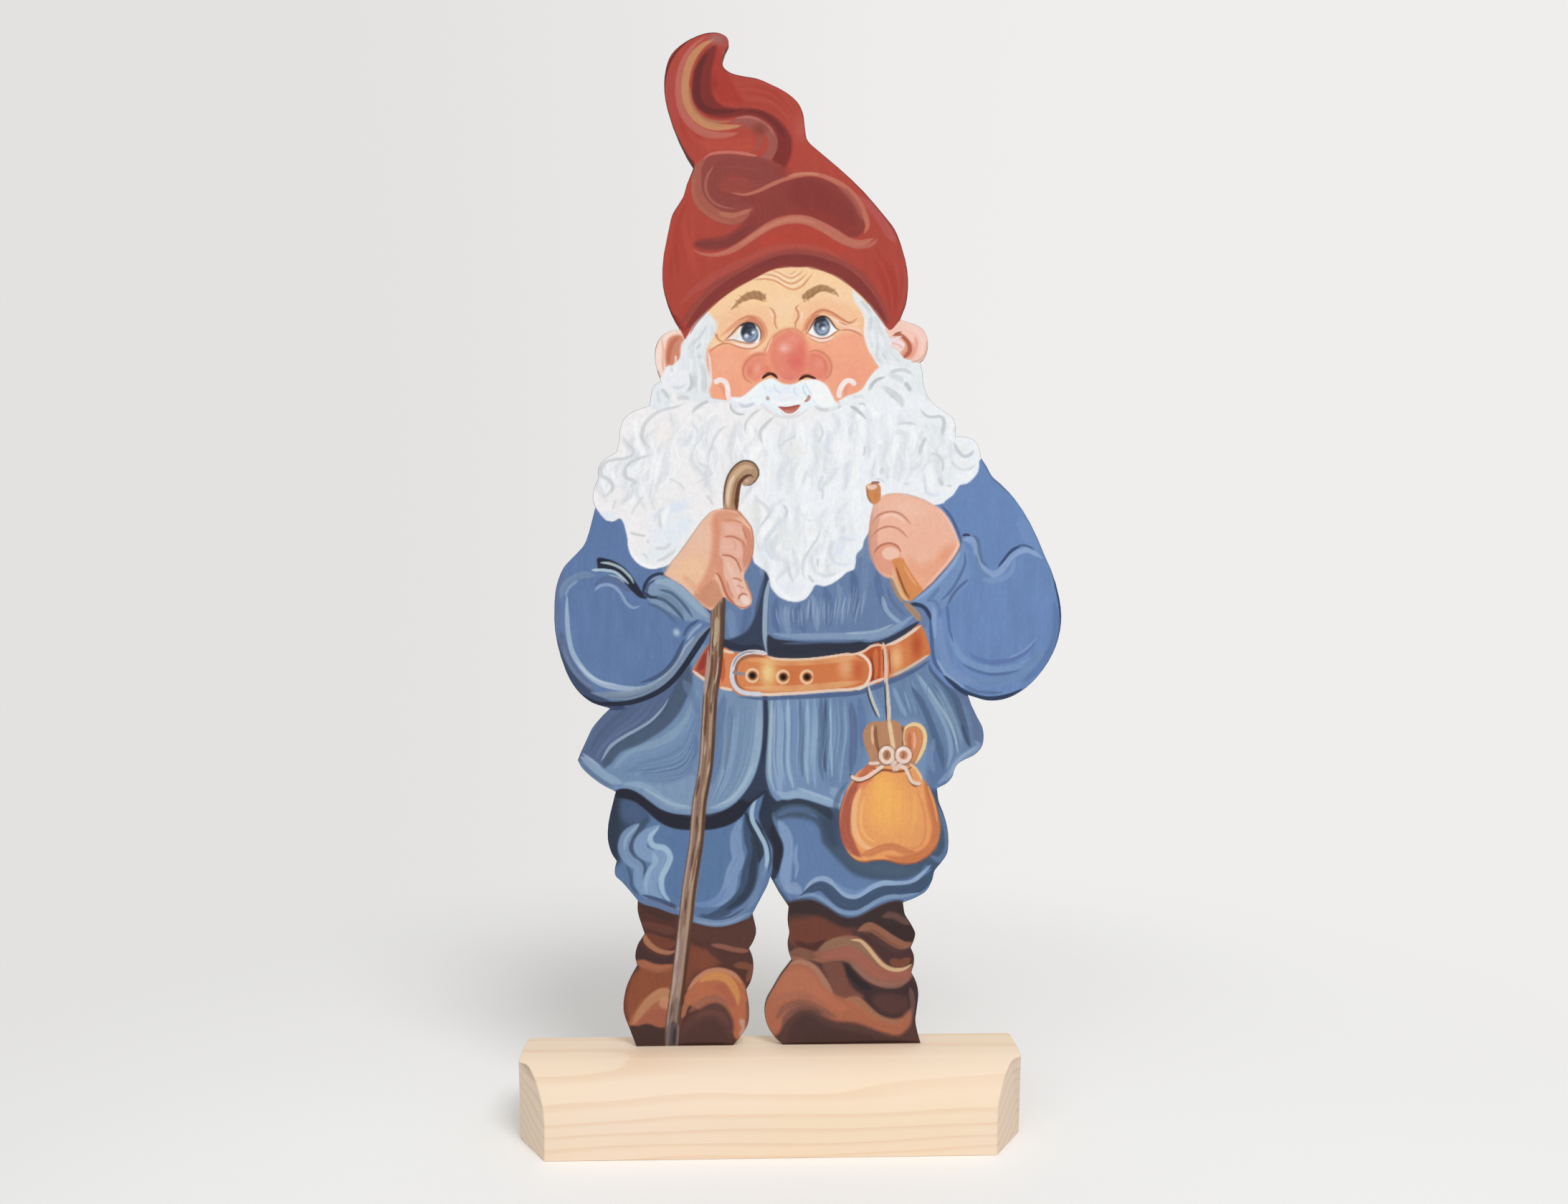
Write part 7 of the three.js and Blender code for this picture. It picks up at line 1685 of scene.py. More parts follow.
def paintPouch(c):
    p = pouchPaint
    # the string's and the pouch's shade on the coat
    c.line("45,100 38,106 35,114 34.4,124 36,133 41,141", 3, (70, 86, 118), 1.4, 0.5)
    # neck
    c.fill("52,150! 53,154 50.6,160 49.4,166 51,170.8 55,173.6 60,173.5 64,174.6 68,173.4 71.5,171 75,172.6 "
        "79,172.6 82.5,170 84,165 83,159 80,153 77.5,149.6!", (190, 138, 100), 0.3)
    c.line("54.6,171.6 54.4,166.4 55,161", 1.4, (228, 190, 150), 0.45, 0.9)
    c.line("56.4,171.4 56.4,166 57.2,160.4 58.6,156", 1.8, (140, 92, 60), 0.45, 0.9)
    c.line("63.4,175 64.4,169 65.4,163 66.4,157.6", 2.3, (238, 208, 158), 0.4, 0.95)
    c.line("70.6,171.4 71.4,166 70.8,160.6", 1.4, (130, 88, 62), 0.4, 0.9)
    c.fill("72.4,168.4 75.4,170.6 79.4,170 81.6,166.4 81,160.4 78.4,154.4 76,152.4 73.6,158.6",
        (218, 142, 92), 0.7)
    c.line("74.6,167.6 74.6,162.6 75.4,158", 2, (200, 112, 76), 0.6, 0.9)
    c.line("77,168 77.4,163 77.2,158.6", 1.4, (243, 178, 150), 0.45, 0.92)
    c.line("71.6,168 73.4,170.8 77.4,172 81,170.4 83,166.4 82.6,160.6 80.4,155 77.6,150.4", 2,
        (243, 212, 152), 0.4, 0.97)
    c.line("72,169.6 71.6,164 72.6,159.6", 1.2, (238, 200, 146), 0.45, 0.85)
    # body
    c.fill("52,149.6! 47,146.5 44,142.5 41,137 38.5,131 37,124 37,117 38.5,110 41,104 45,99.5 50,97.7 "
        "56,98.6 62,98.6 68,97 74,96.5 80,98 86,102 89.5,108 90.5,115 89.5,122 87,130 84,138 80.5,145 "
        "77.5,149.6!", p["leather"], 0.25, 1, 0.02)
    c.glow(64, 124, 24, 22, (244, 172, 100), 0.9)
    c.glow(62, 130, 15, 22, p["bright"], 1.0)
    c.glow(60, 138, 9, 12, (253, 187, 96), 0.9)
    c.line("52,146 47,141 43.4,135.4 41,128 40,120 40.6,111.6 44,105 48,101", (3.6, 6.9), (176, 92, 72), 1.8,
        0.97)
    c.line("55,144.6 50.4,141 47,136", 4.2, (226, 134, 92), 1.4, 0.8)
    c.line("48.6,138 45.8,131.4 44.8,123.4 45,116 47.4,109.6 52,105.6 57.6,104.6", 2.9, p["peach"], 1.0, 0.92)
    c.line("50.6,133 48.4,126 48.6,118 51,112 56,108.4", 1.8, (250, 186, 116), 0.9, 0.7)
    c.line("83,141 88,123 89,115 87,107 82.4,102.4 76,100 69,99 62,101", 4.8, (208, 124, 76), 2.0, 0.97)
    c.line("84.6,139 88,129 89.8,119", 1.2, (236, 166, 110), 0.6, 0.8)
    c.line("48,101.6 54,103 60,105.4 66,106 72,103.6 78,103", 3.9, (214, 130, 84), 1.2, 0.9)
    c.line("79,136 82,127 83.4,118 82.4,110 78.4,105.4 72,105.8", 1.3, (226, 142, 88), 0.8, 0.75)
    c.line("40,103.8 45,99.4 50,98 56,98.8 62,98.8 68,97.2 74,96.8 80,98.2 86,102.2 89.4,108", 1,
        (148, 84, 66), 0.4, 0.75)
    c.line("38,110 37,117 37,124 38.6,131 41,137", 0.9, (150, 82, 70), 0.4, 0.6)
    c.hair("58,146 56,136 55,124 56,112", "76,142 78,130 78,120 76,110", 18, 1.3,
        [(252, 188, 104), (242, 168, 92), (248, 178, 96)], 0.35, 0.4, 0.8, 81)
    # gathered edge under the bow
    c.line("53,149.4 57,147.6 62,147.4 67,146.6 72,147 76,149", 1.4, (140, 74, 46), 0.5, 0.85)
    c.fill("52,150.4 56.6,149.8 53.6,146.4 49.6,144.4 46.6,144.4 49,147.4", (196, 110, 78), 0.6, 0.85)
    # bow
    dark = p["dark"]
    c.line("42.4,145.6 44,143 47.6,141.6 52,143 56.4,145.8 60.4,147.6", 2.3, dark, 0.4, 0.75)
    c.line("43,144.4 44.8,143 48,142.4 52.4,144 56.4,146.8 60.6,149.6", 2, p["cord"], 0.35, 0.97,
        (0.05, 0.05))
    c.line("52.4,151 55.4,151 58.6,151.2", 1.8, p["cord"], 0.35, 0.9)
    c.line("74,147.6 74.6,143.4 77,140 80.6,139.4", 2.8, dark, 0.4, 0.65)
    c.line("69.4,149.6 72.6,148 75.4,142 78,140.2 80.8,140", 2, p["cord"], 0.35, 0.97, (0.05, 0.05))
    c.line("74.6,151 78,148 80.4,144.4 81.4,141.4", 1.5, (238, 204, 156), 0.35, 0.92)
    for x, z, rx, rz, heart in (
        (62.4, 155.4, 3.3, 3.9, (186, 132, 94)), (71.4, 155.4, 3.4, 3.6, (214, 142, 106)),
    ):
        ring = [(x + rx * math.cos(a), z + rz * math.sin(a)) for a in np.linspace(0, 2 * math.pi, 17)]
        c.line(ring, (3.4,) * 4, (126, 84, 62), 0.4, 0.55, (0, 0), 0)
        c.fill(ring[:-1], heart, 0.5)
        c.line([(x - 0.8, z - 1.6), (x + 0.2, z), (x - 0.2, z + 1.8)], 1.3,
            tuple(int(v * 0.72) for v in heart), 0.4, 0.8)
        c.line(ring, (2.2,) * 4, p["cord"], 0.35, 0.98, (0, 0), 0.05)
        c.line(ring[3:8], 0.9, (252, 236, 224), 0.3, 0.9)
    c.line("64.8,151 66.6,148.6 66,146.6", 2, (226, 200, 182), 0.4, 0.9)
    c.line("70.6,150.6 68.4,149.2 67.6,146.8", 2, (234, 210, 192), 0.4, 0.9)
    c.glow(66.6, 151.4, 2.6, 2.6, (240, 220, 204), 1.0)


# the order of painting, and the last glaze over each part
steps = (
    (paintTrousers, {"trousers_right": (1.05, 1.04, 1.03)}),
    (paintBoots, {}),
    (paintChest, {"chest": (1.1, 1.05, 0.98)}),
    (paintSkirt, {"skirt_right": (1.03, 1.03, 1.04)}),
    (paintSleeves, {"sleeve_left": (1.08, 1.05, 1.01), "sleeve_right": (1.07, 1.045, 1.03)}),
    (paintBelt, {"belt": (0.96, 1.01, 1.08)}),
    (paintBeard, {"beard_left": (1.03, 1.03, 1.035), "beard_right": (1.03, 1.03, 1.035)}),
    (paintEars, {"ear_left": (1.035, 1.11, 1.17), "ear_right": (1.03, 1.08, 1.14)}),
    (paintFace, {"face": (1.03, 1.055, 1.085)}),
    (paintLocks, {}),
    (paintCap, {}),
    (paintStick, {"stick_hook": (1.055, 1.08, 1.19), "stick_shaft": (0.98, 1.03, 1.22)}),
    (paintHands, {"hand_left": (1, 1.04, 1.06), "hand_right": (1.02, 1.03, 1.04)}),
    (paintPouch, {"pouch": (0.99, 1, 1.04)}),
)


def paintFigure(c):
    for paint, glazes in steps:
        paint(c)
        for name, factor in glazes.items():
            c.wash(shapes[name], factor)


class Wire:
    def __init__(self, tree, socket=None):
        self.tree, self.socket = tree, socket

    def add(self, kind, settings=None, inputs=None, output=0):
        node = self.tree.nodes.new("ShaderNode" + kind)
        for key, value in (settings or {}).items():
            setattr(node, key, value)
        for key, value in (inputs or {}).items():
            if isinstance(value, Wire):
                self.tree.links.new(value.socket, node.inputs[key])
            else:
                node.inputs[key].default_value = value
        return Wire(self.tree, node.outputs[output] if len(node.outputs) else None)

    def math(self, operation, a, b):
        return self.add("Math", {"operation": operation}, {0: a, 1: b})

    def __add__(self, other):
        return self.math("ADD", self, other)

    def __sub__(self, other):
        return self.math("SUBTRACT", self, other)

    def __rsub__(self, other):
        return self.math("SUBTRACT", other, self)

    def __mul__(self, other):
        return self.math("MULTIPLY", self, other)

    __radd__, __rmul__ = __add__, __mul__

    def mix(self, low, high):  # self is the mask
        return self.add("Mix", {"data_type": "RGBA"}, {"Factor": self, "A": low, "B": high}, 2)

    def smooth(self, low, high):
        settings = {"interpolation_type": "SMOOTHSTEP"}
        return self.add("MapRange", settings, {"Value": self, "From Min": low, "From Max": high})


def linear(rgb):
    c = np.asarray(rgb, float) / 255
    return np.where(c <= 0.04045, c / 12.92, ((c + 0.055) / 1.055) ** 2.4)


def opaque(rgb):
    return (*linear(rgb), 1)


def newMaterial(name):
    material = bpy.data.materials.new(name)
    material.use_nodes = True
    tree = material.node_tree
    tree.nodes.clear()
    return material, Wire(tree)


def closeMaterial(wire, colour, roughness, height, strength, distance, gloss):
    bump = wire.add("Bump", {}, {"Height": height, "Strength": strength, "Distance": distance})
    sockets = {"Base Color": colour, "Roughness": roughness, "Normal": bump, "Specular IOR Level": gloss}
    shader = wire.add("BsdfPrincipled", {}, sockets)
    wire.add("OutputMaterial", {}, {"Surface": shader})


boardStyle = {
    "edgeBevel": 0.0003,
    "bevelSteps": 2,
    "smoothAngle": 32,
    "edgeShade": 0.5,  # how dark the painted edge is beside the front
    "veneer": (222, 190, 146),
    "veneerDark": (190, 150, 104),
    "veneerFrom": 0.00165,  # depth at which the edge's paint gives way to the bare back
}


def only(obj):
    bpy.ops.object.select_all(action="DESELECT")
    obj.select_set(True)
    bpy.context.view_layer.objects.active = obj
    return obj


def copyNode(node, name):
    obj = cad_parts[node].copy()
    obj.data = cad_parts[node].data.copy()
    obj.name = obj.data.name = name
    obj.parent = None
    for key in list(obj.keys()):
        del obj[key]
    bpy.context.scene.collection.objects.link(obj)
    only(obj)
    bpy.ops.object.mode_set(mode="EDIT")
    bpy.ops.mesh.select_all(action="SELECT")
    bpy.ops.mesh.remove_doubles(threshold=1e-6)
    bpy.ops.mesh.dissolve_limited(angle_limit=math.radians(0.5))
    bpy.ops.object.mode_set(mode="OBJECT")
    return obj


def vertexArray(mesh):
    co = np.empty(len(mesh.vertices) * 3)
    mesh.vertices.foreach_get("co", co)
    return co.reshape(-1, 3)


def outlineOf(obj):  # the sawn outline on the board's front, in millimetres above the block
    co = vertexArray(obj.data)
    front = max(obj.data.polygons, key=lambda p: p.area if p.normal.y < -0.9 else 0)
    loop = co[list(front.vertices)][:, [0, 2]] * 1000
    return loop - [0, baseTop * 1000]


plywood = copyNode("figure_board", "plywood")
sawnOutline = outlineOf(plywood)
print("board outline", len(sawnOutline), sawnOutline.min(0), sawnOutline.max(0))
bevel = plywood.modifiers.new("soft edges", "BEVEL")
bevel.width, bevel.segments = boardStyle["edgeBevel"], boardStyle["bevelSteps"]
bevel.angle_limit = math.radians(50)
only(plywood)
bpy.ops.object.modifier_apply(modifier=bevel.name)
bpy.ops.object.shade_smooth_by_angle(angle=math.radians(boardStyle["smoothAngle"]))
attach(plywood, "root")
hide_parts("figure_board")


def plywoodMaterial():
    material, wire = newMaterial("birch plywood with painted edges")
    place = wire.add("TexCoord", {}, {}, 3)
    axes = wire.add("SeparateXYZ", {}, {"Vector": place})
    depth = Wire(wire.tree, axes.socket.node.outputs[1])
    painted = wire.add("Attribute", {"attribute_name": "paint"})
    long = wire.add("Mapping", {}, {"Vector": place, "Scale": (900, 900, 22)})
    fibre = wire.add("TexNoise", {}, {"Vector": long, "Scale": 1.0, "Detail": 4.0, "Roughness": 0.6}, 0)
    broad = wire.add("Mapping", {}, {"Vector": place, "Scale": (45, 45, 2.2)})
    swirl = {"Vector": broad, "Scale": 1.0, "Detail": 3.0, "Distortion": 1.2}
    figure = wire.add("TexNoise", {}, swirl, 0)
    streaks = (fibre * 0.45 + figure * 0.75).smooth(0.42, 0.82)
    veneer = streaks.mix(opaque(boardStyle["veneer"]), opaque(boardStyle["veneerDark"]))
    back = depth.smooth(boardStyle["veneerFrom"], boardStyle["veneerFrom"] + 0.0002)
    colour = back.mix(painted, veneer)
    rough = back * 0.2 + fibre * 0.12 + 0.42
    closeMaterial(wire, colour, rough, fibre, 0.25, 0.0004, 0.25)
    return material


plywood.data.materials.clear()
plywood.data.materials.append(plywoodMaterial())
print("board cut")


baseStyle = {
    "size": (0.264, 0.070, 0.045),
    "topRadius": 0.029,
    "topSteps": 28,
    "cornerCut": (0.017, 0.025),  # along the block, across it
    "edgeBevel": 0.0007,
    "smoothAngle": 32,
    "fromPith": (0, -0.07, 0.14),  # the log's middle lies behind and below the block
    "pithTilt": (0, 0.02, 0.015),
    "ringsPerMetre": 190,
    "earlyWood": ((249, 227, 203), (249, 226, 197)),
    "lateWood": (236, 202, 166),
    "cutEnd": ((232, 212, 190), (214, 188, 160)),
}


def pickEdges(obj, wanted):
    mesh = obj.data
    mesh.polygons.foreach_set("select", np.zeros(len(mesh.polygons), bool))
    mesh.vertices.foreach_set("select", np.zeros(len(mesh.vertices), bool))
    for edge in mesh.edges:
        a, b = (mesh.vertices[i].co for i in edge.vertices)
        edge.select = bool(wanted(a, b))


def makeBlock():
    length, width, height = baseStyle["size"]
    bpy.ops.object.select_all(action="DESELECT")
    bpy.ops.mesh.primitive_cube_add(size=1, location=(0, 0, height / 2))
    block = bpy.context.object
    block.name = block.data.name = "pine_block"
    block.scale = (length, width, height)
    bpy.ops.object.transform_apply(location=True, rotation=True, scale=True)
    onTop = height * 0.9
    pickEdges(block, lambda a, b: min(a.z, b.z) > onTop and abs(a.y - b.y) < 1e-6)
    bpy.context.tool_settings.mesh_select_mode = (False, True, False)
    bpy.ops.object.mode_set(mode="EDIT")
    bpy.ops.mesh.bevel(
        offset=baseStyle["topRadius"], segments=baseStyle["topSteps"], profile=0.5, affect="EDGES"
    )
    along, across = baseStyle["cornerCut"]
    for sx in (-1, 1):
        for sy in (-1, 1):
            corner = (sx * (length / 2 - along), sy * width / 2, 0)
            normal = (sx * across, sy * along, 0)
            bpy.ops.mesh.select_all(action="SELECT")
            bpy.ops.mesh.bisect(plane_co=corner, plane_no=normal, use_fill=True, clear_outer=True)
    bpy.ops.mesh.select_all(action="SELECT")
    bpy.ops.mesh.normals_make_consistent(inside=False)
    bpy.ops.object.mode_set(mode="OBJECT")
    soft = block.modifiers.new("sanded edges", "BEVEL")
    soft.width, soft.segments, soft.angle_limit = baseStyle["edgeBevel"], 3, math.radians(30)
    only(block)
    bpy.ops.object.modifier_apply(modifier=soft.name)
    bpy.ops.object.shade_smooth_by_angle(angle=math.radians(baseStyle["smoothAngle"]))
    return block


def pineMaterial():
    material, wire = newMaterial("pale pine with a thin varnish")
    place = wire.add("TexCoord", {}, {}, 3)
    slow = wire.add("Mapping", {}, {"Vector": place, "Scale": (4, 22, 22)})
    drift = wire.add("TexNoise", {}, {"Vector": slow, "Scale": 1.0, "Detail": 2.0}, 0)
    # rings round the pith, drawn out along the block
    turned = {"Vector": place, "Location": baseStyle["fromPith"], "Rotation": baseStyle["pithTilt"]}
    shifted = wire.add("Mapping", {}, turned)
    flat = wire.add("VectorMath", {"operation": "MULTIPLY"}, {0: shifted, 1: (0, 1, 1)})
    fromPith = wire.add("VectorMath", {"operation": "LENGTH"}, {0: flat}, 1)
    ring = wire.math("FRACT", fromPith * baseStyle["ringsPerMetre"] + drift * 2.6, 0)
    lateWood = ring.smooth(0.55, 0.93) * (1 - ring.smooth(0.95, 1.0))
    fine = wire.add("Mapping", {}, {"Vector": place, "Scale": (30, 1500, 1500)})
    fibre = wire.add("TexNoise", {}, {"Vector": fine, "Scale": 1.0, "Detail": 3.0}, 0)
    patches = wire.add("TexNoise", {}, {"Vector": place, "Scale": 16.0, "Detail": 2.0}, 0)
    early = patches.smooth(0.35, 0.7).mix(*(opaque(tone) for tone in baseStyle["earlyWood"]))
    long = (lateWood * 0.42 + fibre * 0.12).mix(early, opaque(baseStyle["lateWood"]))
    facing = wire.add("SeparateXYZ", {}, {"Vector": wire.add("NewGeometry", {}, {}, 1)})
    cutEnd = wire.math("ABSOLUTE", facing, 0).smooth(0.45, 0.65)
    endGrain = (lateWood * 0.5 + fibre * 0.2).mix(*(opaque(tone) for tone in baseStyle["cutEnd"]))
    colour = cutEnd.mix(long, endGrain)
    rough = 0.5 + fibre * 0.12 - lateWood * 0.08
    closeMaterial(wire, colour, rough, lateWood * 0.3 + fibre * 0.5, 0.2, 0.0003, 0.35)
    return material


block = makeBlock()
block.data.materials.append(pineMaterial())
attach(block, "root")
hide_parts("base_block")
print("block made")


filmStyle = {
    "pitch": 0.4,  # millimetres between the points of a film
    "finePitch": 0.3,
    "inset": 0.2,  # from the sawn edge
    "proud": 0.03,  # before the board
    "sunk": 0.25,  # from the film's front to its back, inside the board
    "relief": 0.6,  # share of a mark's height that is raised
    "smoothAngle": 40,
    "gloss": 0.12,
    "thinnest": 0.955,  # how far the brush leaves the colour lighter and darker
    "thickest": 1.045,
    "mottleScale": 380,
    "cloudScale": 60,
    "grainScale": (700, 700, 16),
    "ridgeHeight": 0.00012,
}

films = {
    "chest": {"box": (-64, 180, 124, 300), "finish": "cloth"},
    "skirt_left": {"box": (-108, 120, 2, 212), "finish": "cloth"},
    "skirt_right": {"box": (-6, 124, 118, 212), "finish": "cloth"},
    "trousers_left": {"box": (-92, 60, 4, 142), "finish": "cloth"},
    "trousers_right": {"box": (-6, 64, 100, 142), "finish": "cloth"},
    "boot_left": {"box": (-84, 0, -4, 82), "finish": "leather"},
    "boot_right": {"box": (-8, 0, 86, 82), "finish": "leather"},
    "sleeve_left": {"box": (-120, 176, -28, 292), "finish": "cloth"},
    "sleeve_right": {"box": (68, 180, 162, 322), "finish": "cloth"},
    "belt": {"box": (-46, 184, 90, 230), "finish": "leather"},
    "beard_left": {"box": (-100, 234, 10, 400), "finish": "hair"},
    "beard_right": {"box": (8, 234, 118, 410), "finish": "hair"},
    "stick_hook": {"box": (-27, 284, -4, 317), "finish": "stick"},
    "stick_shaft": {"box": (-58, 0, -22, 253), "finish": "stick"},
    "hand_left": {"box": (-62, 228, -6, 292), "finish": "skin"},
    "hand_right": {"box": (50, 234, 106, 300), "finish": "skin"},
    "pouch": {"box": (34, 92, 94, 178), "finish": "leather"},
    "face": {"box": (-66, 332, 90, 424), "finish": "skin", "fine": True},
    "ear_left": {"box": (-66, 350, -44, 388), "finish": "skin", "fine": True},
    "ear_right": {"box": (58, 362, 88, 394), "finish": "skin", "fine": True},
    "cap": {"box": (-62, 376, 80, 550), "finish": "cloth"},
}


def insetLoop(loop, amount):
    ahead, back = np.roll(loop, -1, axis=0) - loop, loop - np.roll(loop, 1, axis=0)
    unit = lambda d: d / np.maximum(np.hypot(*d.T), 1e-9)[:, None]
    tangent = unit(unit(ahead) + unit(back))
    normal = np.stack([-tangent[:, 1], tangent[:, 0]], 1)
    area = np.sum(loop[:, 0] * np.roll(loop[:, 1], -1) - loop[:, 1] * np.roll(loop[:, 0], -1))
    return loop + normal * amount * np.sign(area)


def pullOnto(x, z, lines, reach):
    spot = Canvas(x, z)
    best, to = np.full(len(x), reach), np.stack([x, z], 1)
    for path in lines:
        for k in range(0, len(path) - 1, brushStyle["stretch"]):
            part = path[k : k + brushStyle["stretch"] + 1]
            low, high = part.min(0) - reach, part.max(0) + reach
            who = spot.near(low, high)
            if not len(who):
                continue
            px, pz = spot.x[who][:, None], spot.z[who][:, None]
            p, d = part[:-1], np.diff(part, axis=0)
            size = np.maximum((d**2).sum(1), 1e-9)
            t = np.clip(((px - p[:, 0]) * d[:, 0] + (pz - p[:, 1]) * d[:, 1]) / size, 0, 1)
            qx, qz = p[:, 0] + t * d[:, 0], p[:, 1] + t * d[:, 1]
            dist = np.hypot(px - qx, pz - qz)
            j = dist.argmin(1)
            r = np.arange(len(who))
            better = dist[r, j] < best[spot.order[who]]
            mine = spot.order[who[better]]
            best[mine] = dist[r, j][better]
            to[mine] = np.stack([qx[r, j], qz[r, j]], 1)[better]
    return to


seams = {name: curve(text, closed=True) for name, text in shapes.items()}
sawnInside = insetLoop(sawnOutline, filmStyle["inset"])
order = list(films)


def ownerOf(x, z):  # the number of the film at each place, or -1 off the board
    spot = Canvas(x, z)

    def inside(loop):
        who, odd = spot.inside(loop, 0)
        return spot.order[who[odd]]

    owner, board = np.zeros(len(x), int), np.zeros(len(x), bool)
    for i, name in enumerate(order):
        owner[inside(seams[name])] = i
    board[inside(sawnInside)] = True
    owner[~board | (z <= 0)] = -1
    return owner


def closedLine(loop):
    return np.vstack([loop, loop[:1]])


ground = np.array([[-120.0, 0.0], [160.0, 0.0]])


def cutFilm(name, style):
    pitch = filmStyle["finePitch"] if style.get("fine") else filmStyle["pitch"]
    x0, z0, x1, z1 = style["box"]
    nx, nz = math.ceil((x1 - x0) / pitch), math.ceil((z1 - z0) / pitch)
    bpy.ops.object.select_all(action="DESELECT")
    upright = (math.pi / 2, 0, 0)
    bpy.ops.mesh.primitive_grid_add(x_subdivisions=nx, y_subdivisions=nz, size=1, rotation=upright)
    film = bpy.context.object
    film.name = film.data.name = name + "_paint"
    bpy.ops.object.transform_apply(location=True, rotation=True, scale=True)
    mesh = film.data
    co = vertexArray(mesh)
    co[:, 0] = x0 + (co[:, 0] + 0.5) * nx * pitch
    co[:, 2] = z0 + (co[:, 2] + 0.5) * nz * pitch
    corners = np.empty(len(mesh.loops), int)
    mesh.loops.foreach_get("vertex_index", corners)
    middle = co[corners.reshape(-1, 4)].mean(1)
    owner = ownerOf(middle[:, 0], middle[:, 2])
    wanted = owner == order.index(name)
    mesh.vertices.foreach_set("co", (co / 1000).ravel())
    mesh.polygons.foreach_set("select", ~wanted)
    bpy.context.tool_settings.mesh_select_mode = (False, False, True)
    bpy.ops.object.mode_set(mode="EDIT")
    bpy.ops.mesh.delete(type="FACE")
    bpy.ops.object.mode_set(mode="OBJECT")
    co = vertexArray(mesh) * 1000
    ends = np.empty(len(mesh.loops), int)
    mesh.loops.foreach_get("edge_index", ends)
    pairs = np.empty(len(mesh.edges) * 2, int)
    mesh.edges.foreach_get("vertices", pairs)
    border = np.unique(pairs.reshape(-1, 2)[np.bincount(ends, minlength=len(mesh.edges)) == 1])
    lines = [closedLine(sawnInside), ground] + [closedLine(s) for s in seams.values()]
    to = pullOnto(co[border, 0], co[border, 2], lines, pitch * 1.1)
    co[border, 0], co[border, 2] = to[:, 0], to[:, 1]
    co[:, 1] = boardFront * 1000 - filmStyle["proud"]
    co[:, 2] += baseTop * 1000
    mesh.vertices.foreach_set("co", (co / 1000).ravel())
    bpy.context.tool_settings.mesh_select_mode = (False, True, False)
    bpy.ops.object.mode_set(mode="EDIT")
    bpy.ops.mesh.select_all(action="SELECT")
    bpy.ops.mesh.region_to_loop()
    inward = (0, filmStyle["sunk"] / 1000, 0)
    bpy.ops.mesh.extrude_edges_move(TRANSFORM_OT_translate={"value": inward})
    bpy.ops.mesh.fill(use_beauty=False)
    bpy.ops.mesh.select_all(action="SELECT")
    bpy.ops.mesh.normals_make_consistent(inside=False)
    bpy.ops.object.mode_set(mode="OBJECT")
    return film


made = {name: cutFilm(name, style) for name, style in films.items()}
print("films cut", {n: len(f.data.polygons) for n, f in made.items()})

places = [vertexArray(f.data) * 1000 for f in made.values()]
edgeSpots = vertexArray(plywood.data) * 1000
allSpots = np.vstack(places + [edgeSpots])
canvas = Canvas(allSpots[:, 0], allSpots[:, 2] - baseTop * 1000)
paintFigure(canvas)
paintRgb, paintHeight = canvas.result()
print("painted", canvas.count, "marks")


def storePaint(mesh, rgb):
    layer = mesh.color_attributes.new(name="paint", type="FLOAT_COLOR", domain="POINT")
    rgba = np.hstack([linear(rgb), np.ones((len(rgb), 1))])
    layer.data.foreach_set("color", rgba.astype(np.float32).ravel())


finishes = {
    "cloth": {"rough": 0.5, "bristle": (1400, 1400, 260), "bump": 0.35},
    "leather": {"rough": 0.42, "bristle": (900, 900, 700), "bump": 0.3},
    "hair": {"rough": 0.48, "bristle": (1200, 1200, 400), "bump": 0.35},
    "skin": {"rough": 0.46, "bristle": (1100, 1100, 900), "bump": 0.22},
    "stick": {"rough": 0.45, "bristle": (2200, 2200, 160), "bump": 0.4},
}


def paintMaterial(name, style):
    material, wire = newMaterial(name + " acrylic paint")
    place = wire.add("TexCoord", {}, {}, 3)
    colour = wire.add("Attribute", {"attribute_name": "paint"})
    strokes = wire.add("Mapping", {}, {"Vector": place, "Scale": style["bristle"]})
    bristleLook = {"Vector": strokes, "Scale": 1.0, "Detail": 3.0, "Roughness": 0.55}
    bristle = wire.add("TexNoise", {}, bristleLook, 0)
    cloud = wire.add("TexNoise", {}, {"Vector": place, "Scale": filmStyle["cloudScale"], "Detail": 2.0}, 0)
    woodGrain = wire.add("Mapping", {}, {"Vector": place, "Scale": filmStyle["grainScale"]})
    grain = wire.add("TexNoise", {}, {"Vector": woodGrain, "Scale": 1.0, "Detail": 2.0}, 0)
    mottle = wire.add("TexNoise", {}, {"Vector": place, "Scale": filmStyle["mottleScale"], "Detail": 2.0}, 0)
    thin = (bristle * 0.6 + mottle * 0.4).smooth(0.3, 0.7)
    tint = thin.mix(*((filmStyle[k],) * 3 + (1,) for k in ("thinnest", "thickest")))
    multiply = {"data_type": "RGBA", "blend_type": "MULTIPLY"}
    shown = wire.add("Mix", multiply, {"Factor": 1.0, "A": colour, "B": tint}, 2)
    rough = style["rough"] + (cloud - 0.5) * 0.16 + (bristle - 0.5) * 0.1
    ridges = bristle * 0.8 + grain * 0.25
    closeMaterial(wire, shown, rough, ridges, style["bump"], filmStyle["ridgeHeight"], filmStyle["gloss"])
    return material


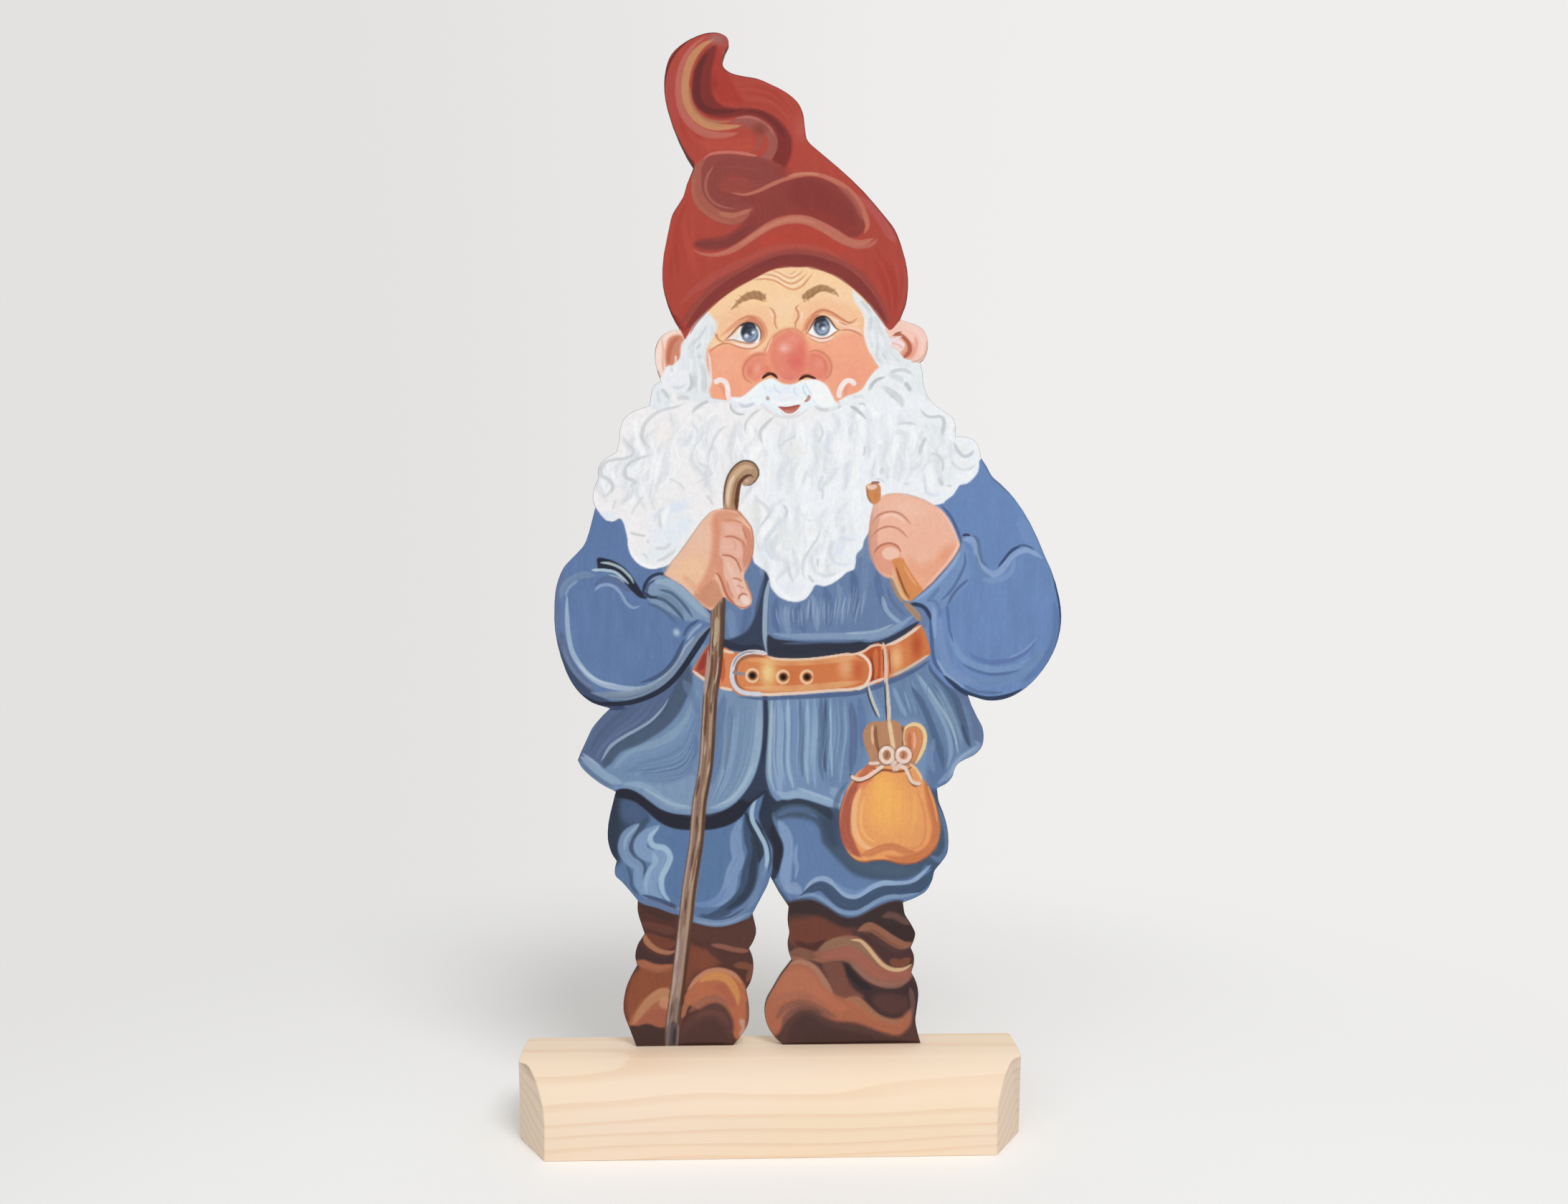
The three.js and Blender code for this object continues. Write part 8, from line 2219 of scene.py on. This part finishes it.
finishMaterials = {name: paintMaterial(name, style) for name, style in finishes.items()}
start = 0
for (name, film), spots in zip(made.items(), places):
    stop = start + len(spots)
    front = spots[:, 1] < boardFront * 1000
    storePaint(film.data, paintRgb[start:stop])
    spots[front, 1] -= paintHeight[start:stop][front] * filmStyle["relief"]
    film.data.vertices.foreach_set("co", (spots / 1000).ravel())
    film.data.update()
    film.data.materials.append(finishMaterials[films[name]["finish"]])
    only(film)
    bpy.ops.object.shade_smooth_by_angle(angle=math.radians(filmStyle["smoothAngle"]))
    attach(film, "root")
    start = stop
storePaint(plywood.data, paintRgb[start:] * boardStyle["edgeShade"])
print("paint stored")


stageStyle = {
    "cameraPlace": (-0.0102, -0.61025, 0.2829),
    "cameraTurn": -1.62,
    "focalPixels": 1580,  # of a picture 2187 pixels wide
    "floorSize": 6.0,
    "floorTone": (254, 254, 253),
    "floorFade": (0.2, 0.64),  # radius where the floor melts into the backdrop
    "backdrop": ((227, 226, 225), (239, 238, 237)),  # painted shade on the backdrop, from the darker left to the lighter right
    "fill": 0.52,
    "lamps": (
        ("key", (0.65, -1.5, 2.15), 1.1, 27.5),
        ("side", (-0.9, -1.5, 1.3), 1.2, 4.0),
    ),
    "target": (0, 0, 0.28),
}


def makeCamera():
    lens = bpy.data.cameras.new("camera")
    lens.sensor_width, lens.lens = 36, 36 * stageStyle["focalPixels"] / 2187
    camera = bpy.data.objects.new("camera", lens)
    camera.location = stageStyle["cameraPlace"]
    camera.rotation_euler = (math.pi / 2, 0, math.radians(stageStyle["cameraTurn"]))
    bpy.context.scene.collection.objects.link(camera)
    bpy.context.scene.camera = camera


def makeFloor():
    bpy.ops.object.select_all(action="DESELECT")
    bpy.ops.mesh.primitive_plane_add(size=stageStyle["floorSize"], location=(0, 0, 0))
    floor = bpy.context.object
    floor.name = "floor"
    material, wire = newMaterial("pale floor")
    place = wire.add("TexCoord", {}, {}, 3)
    radius = wire.add("VectorMath", {"operation": "LENGTH"}, {0: place}, 1)
    far = radius.smooth(*stageStyle["floorFade"])
    paper = wire.add("BsdfPrincipled", {}, {"Base Color": opaque(stageStyle["floorTone"]), "Roughness": 0.9})
    nothing = wire.add("BsdfTransparent")
    both = wire.add("MixShader", {}, {0: far, 1: paper, 2: nothing})
    wire.add("OutputMaterial", {}, {"Surface": both})
    floor.data.materials.append(material)


def makeLight():
    world = bpy.context.scene.world or bpy.data.worlds.new("studio")
    bpy.context.scene.world = world
    world.use_nodes = True
    wire = Wire(world.node_tree)
    world.node_tree.nodes.clear()
    rays = wire.add("LightPath", {}, {})
    seen = wire.math("MAXIMUM", rays, Wire(wire.tree, rays.socket.node.outputs["Is Glossy Ray"]))
    seen = wire.math("MAXIMUM", seen, Wire(wire.tree, rays.socket.node.outputs["Is Transmission Ray"]))
    light = wire.add("Background", {}, {"Color": (1, 1, 1, 1), "Strength": stageStyle["fill"]})
    across = wire.add("SeparateXYZ", {}, {"Vector": wire.add("TexCoord", {}, {}, 0)})
    # painted shade: the backdrop seen by the camera is darker to the left and lighter to the right
    tone = across.smooth(-0.35, 0.25).mix(*(opaque(side) for side in stageStyle["backdrop"]))
    backdrop = wire.add("Background", {}, {"Color": tone, "Strength": 1.0})
    both = wire.add("MixShader", {}, {0: seen, 1: light, 2: backdrop})
    wire.add("OutputWorld", {}, {"Surface": both})
    for name, place, size, power in stageStyle["lamps"]:
        data = bpy.data.lights.new(name, "AREA")
        data.shape, data.size, data.energy = "DISK", size, power
        lamp = bpy.data.objects.new(name, data)
        lamp.location = place
        aim = np.array(stageStyle["target"]) - np.array(place)
        tilt, turn = math.acos(-aim[2] / np.linalg.norm(aim)), math.atan2(aim[1], aim[0]) - math.pi / 2
        lamp.rotation_euler = (tilt, 0, turn)
        bpy.context.scene.collection.objects.link(lamp)


makeCamera()
makeFloor()
makeLight()
bpy.context.scene.view_settings.view_transform = "Standard"
print("stage set")


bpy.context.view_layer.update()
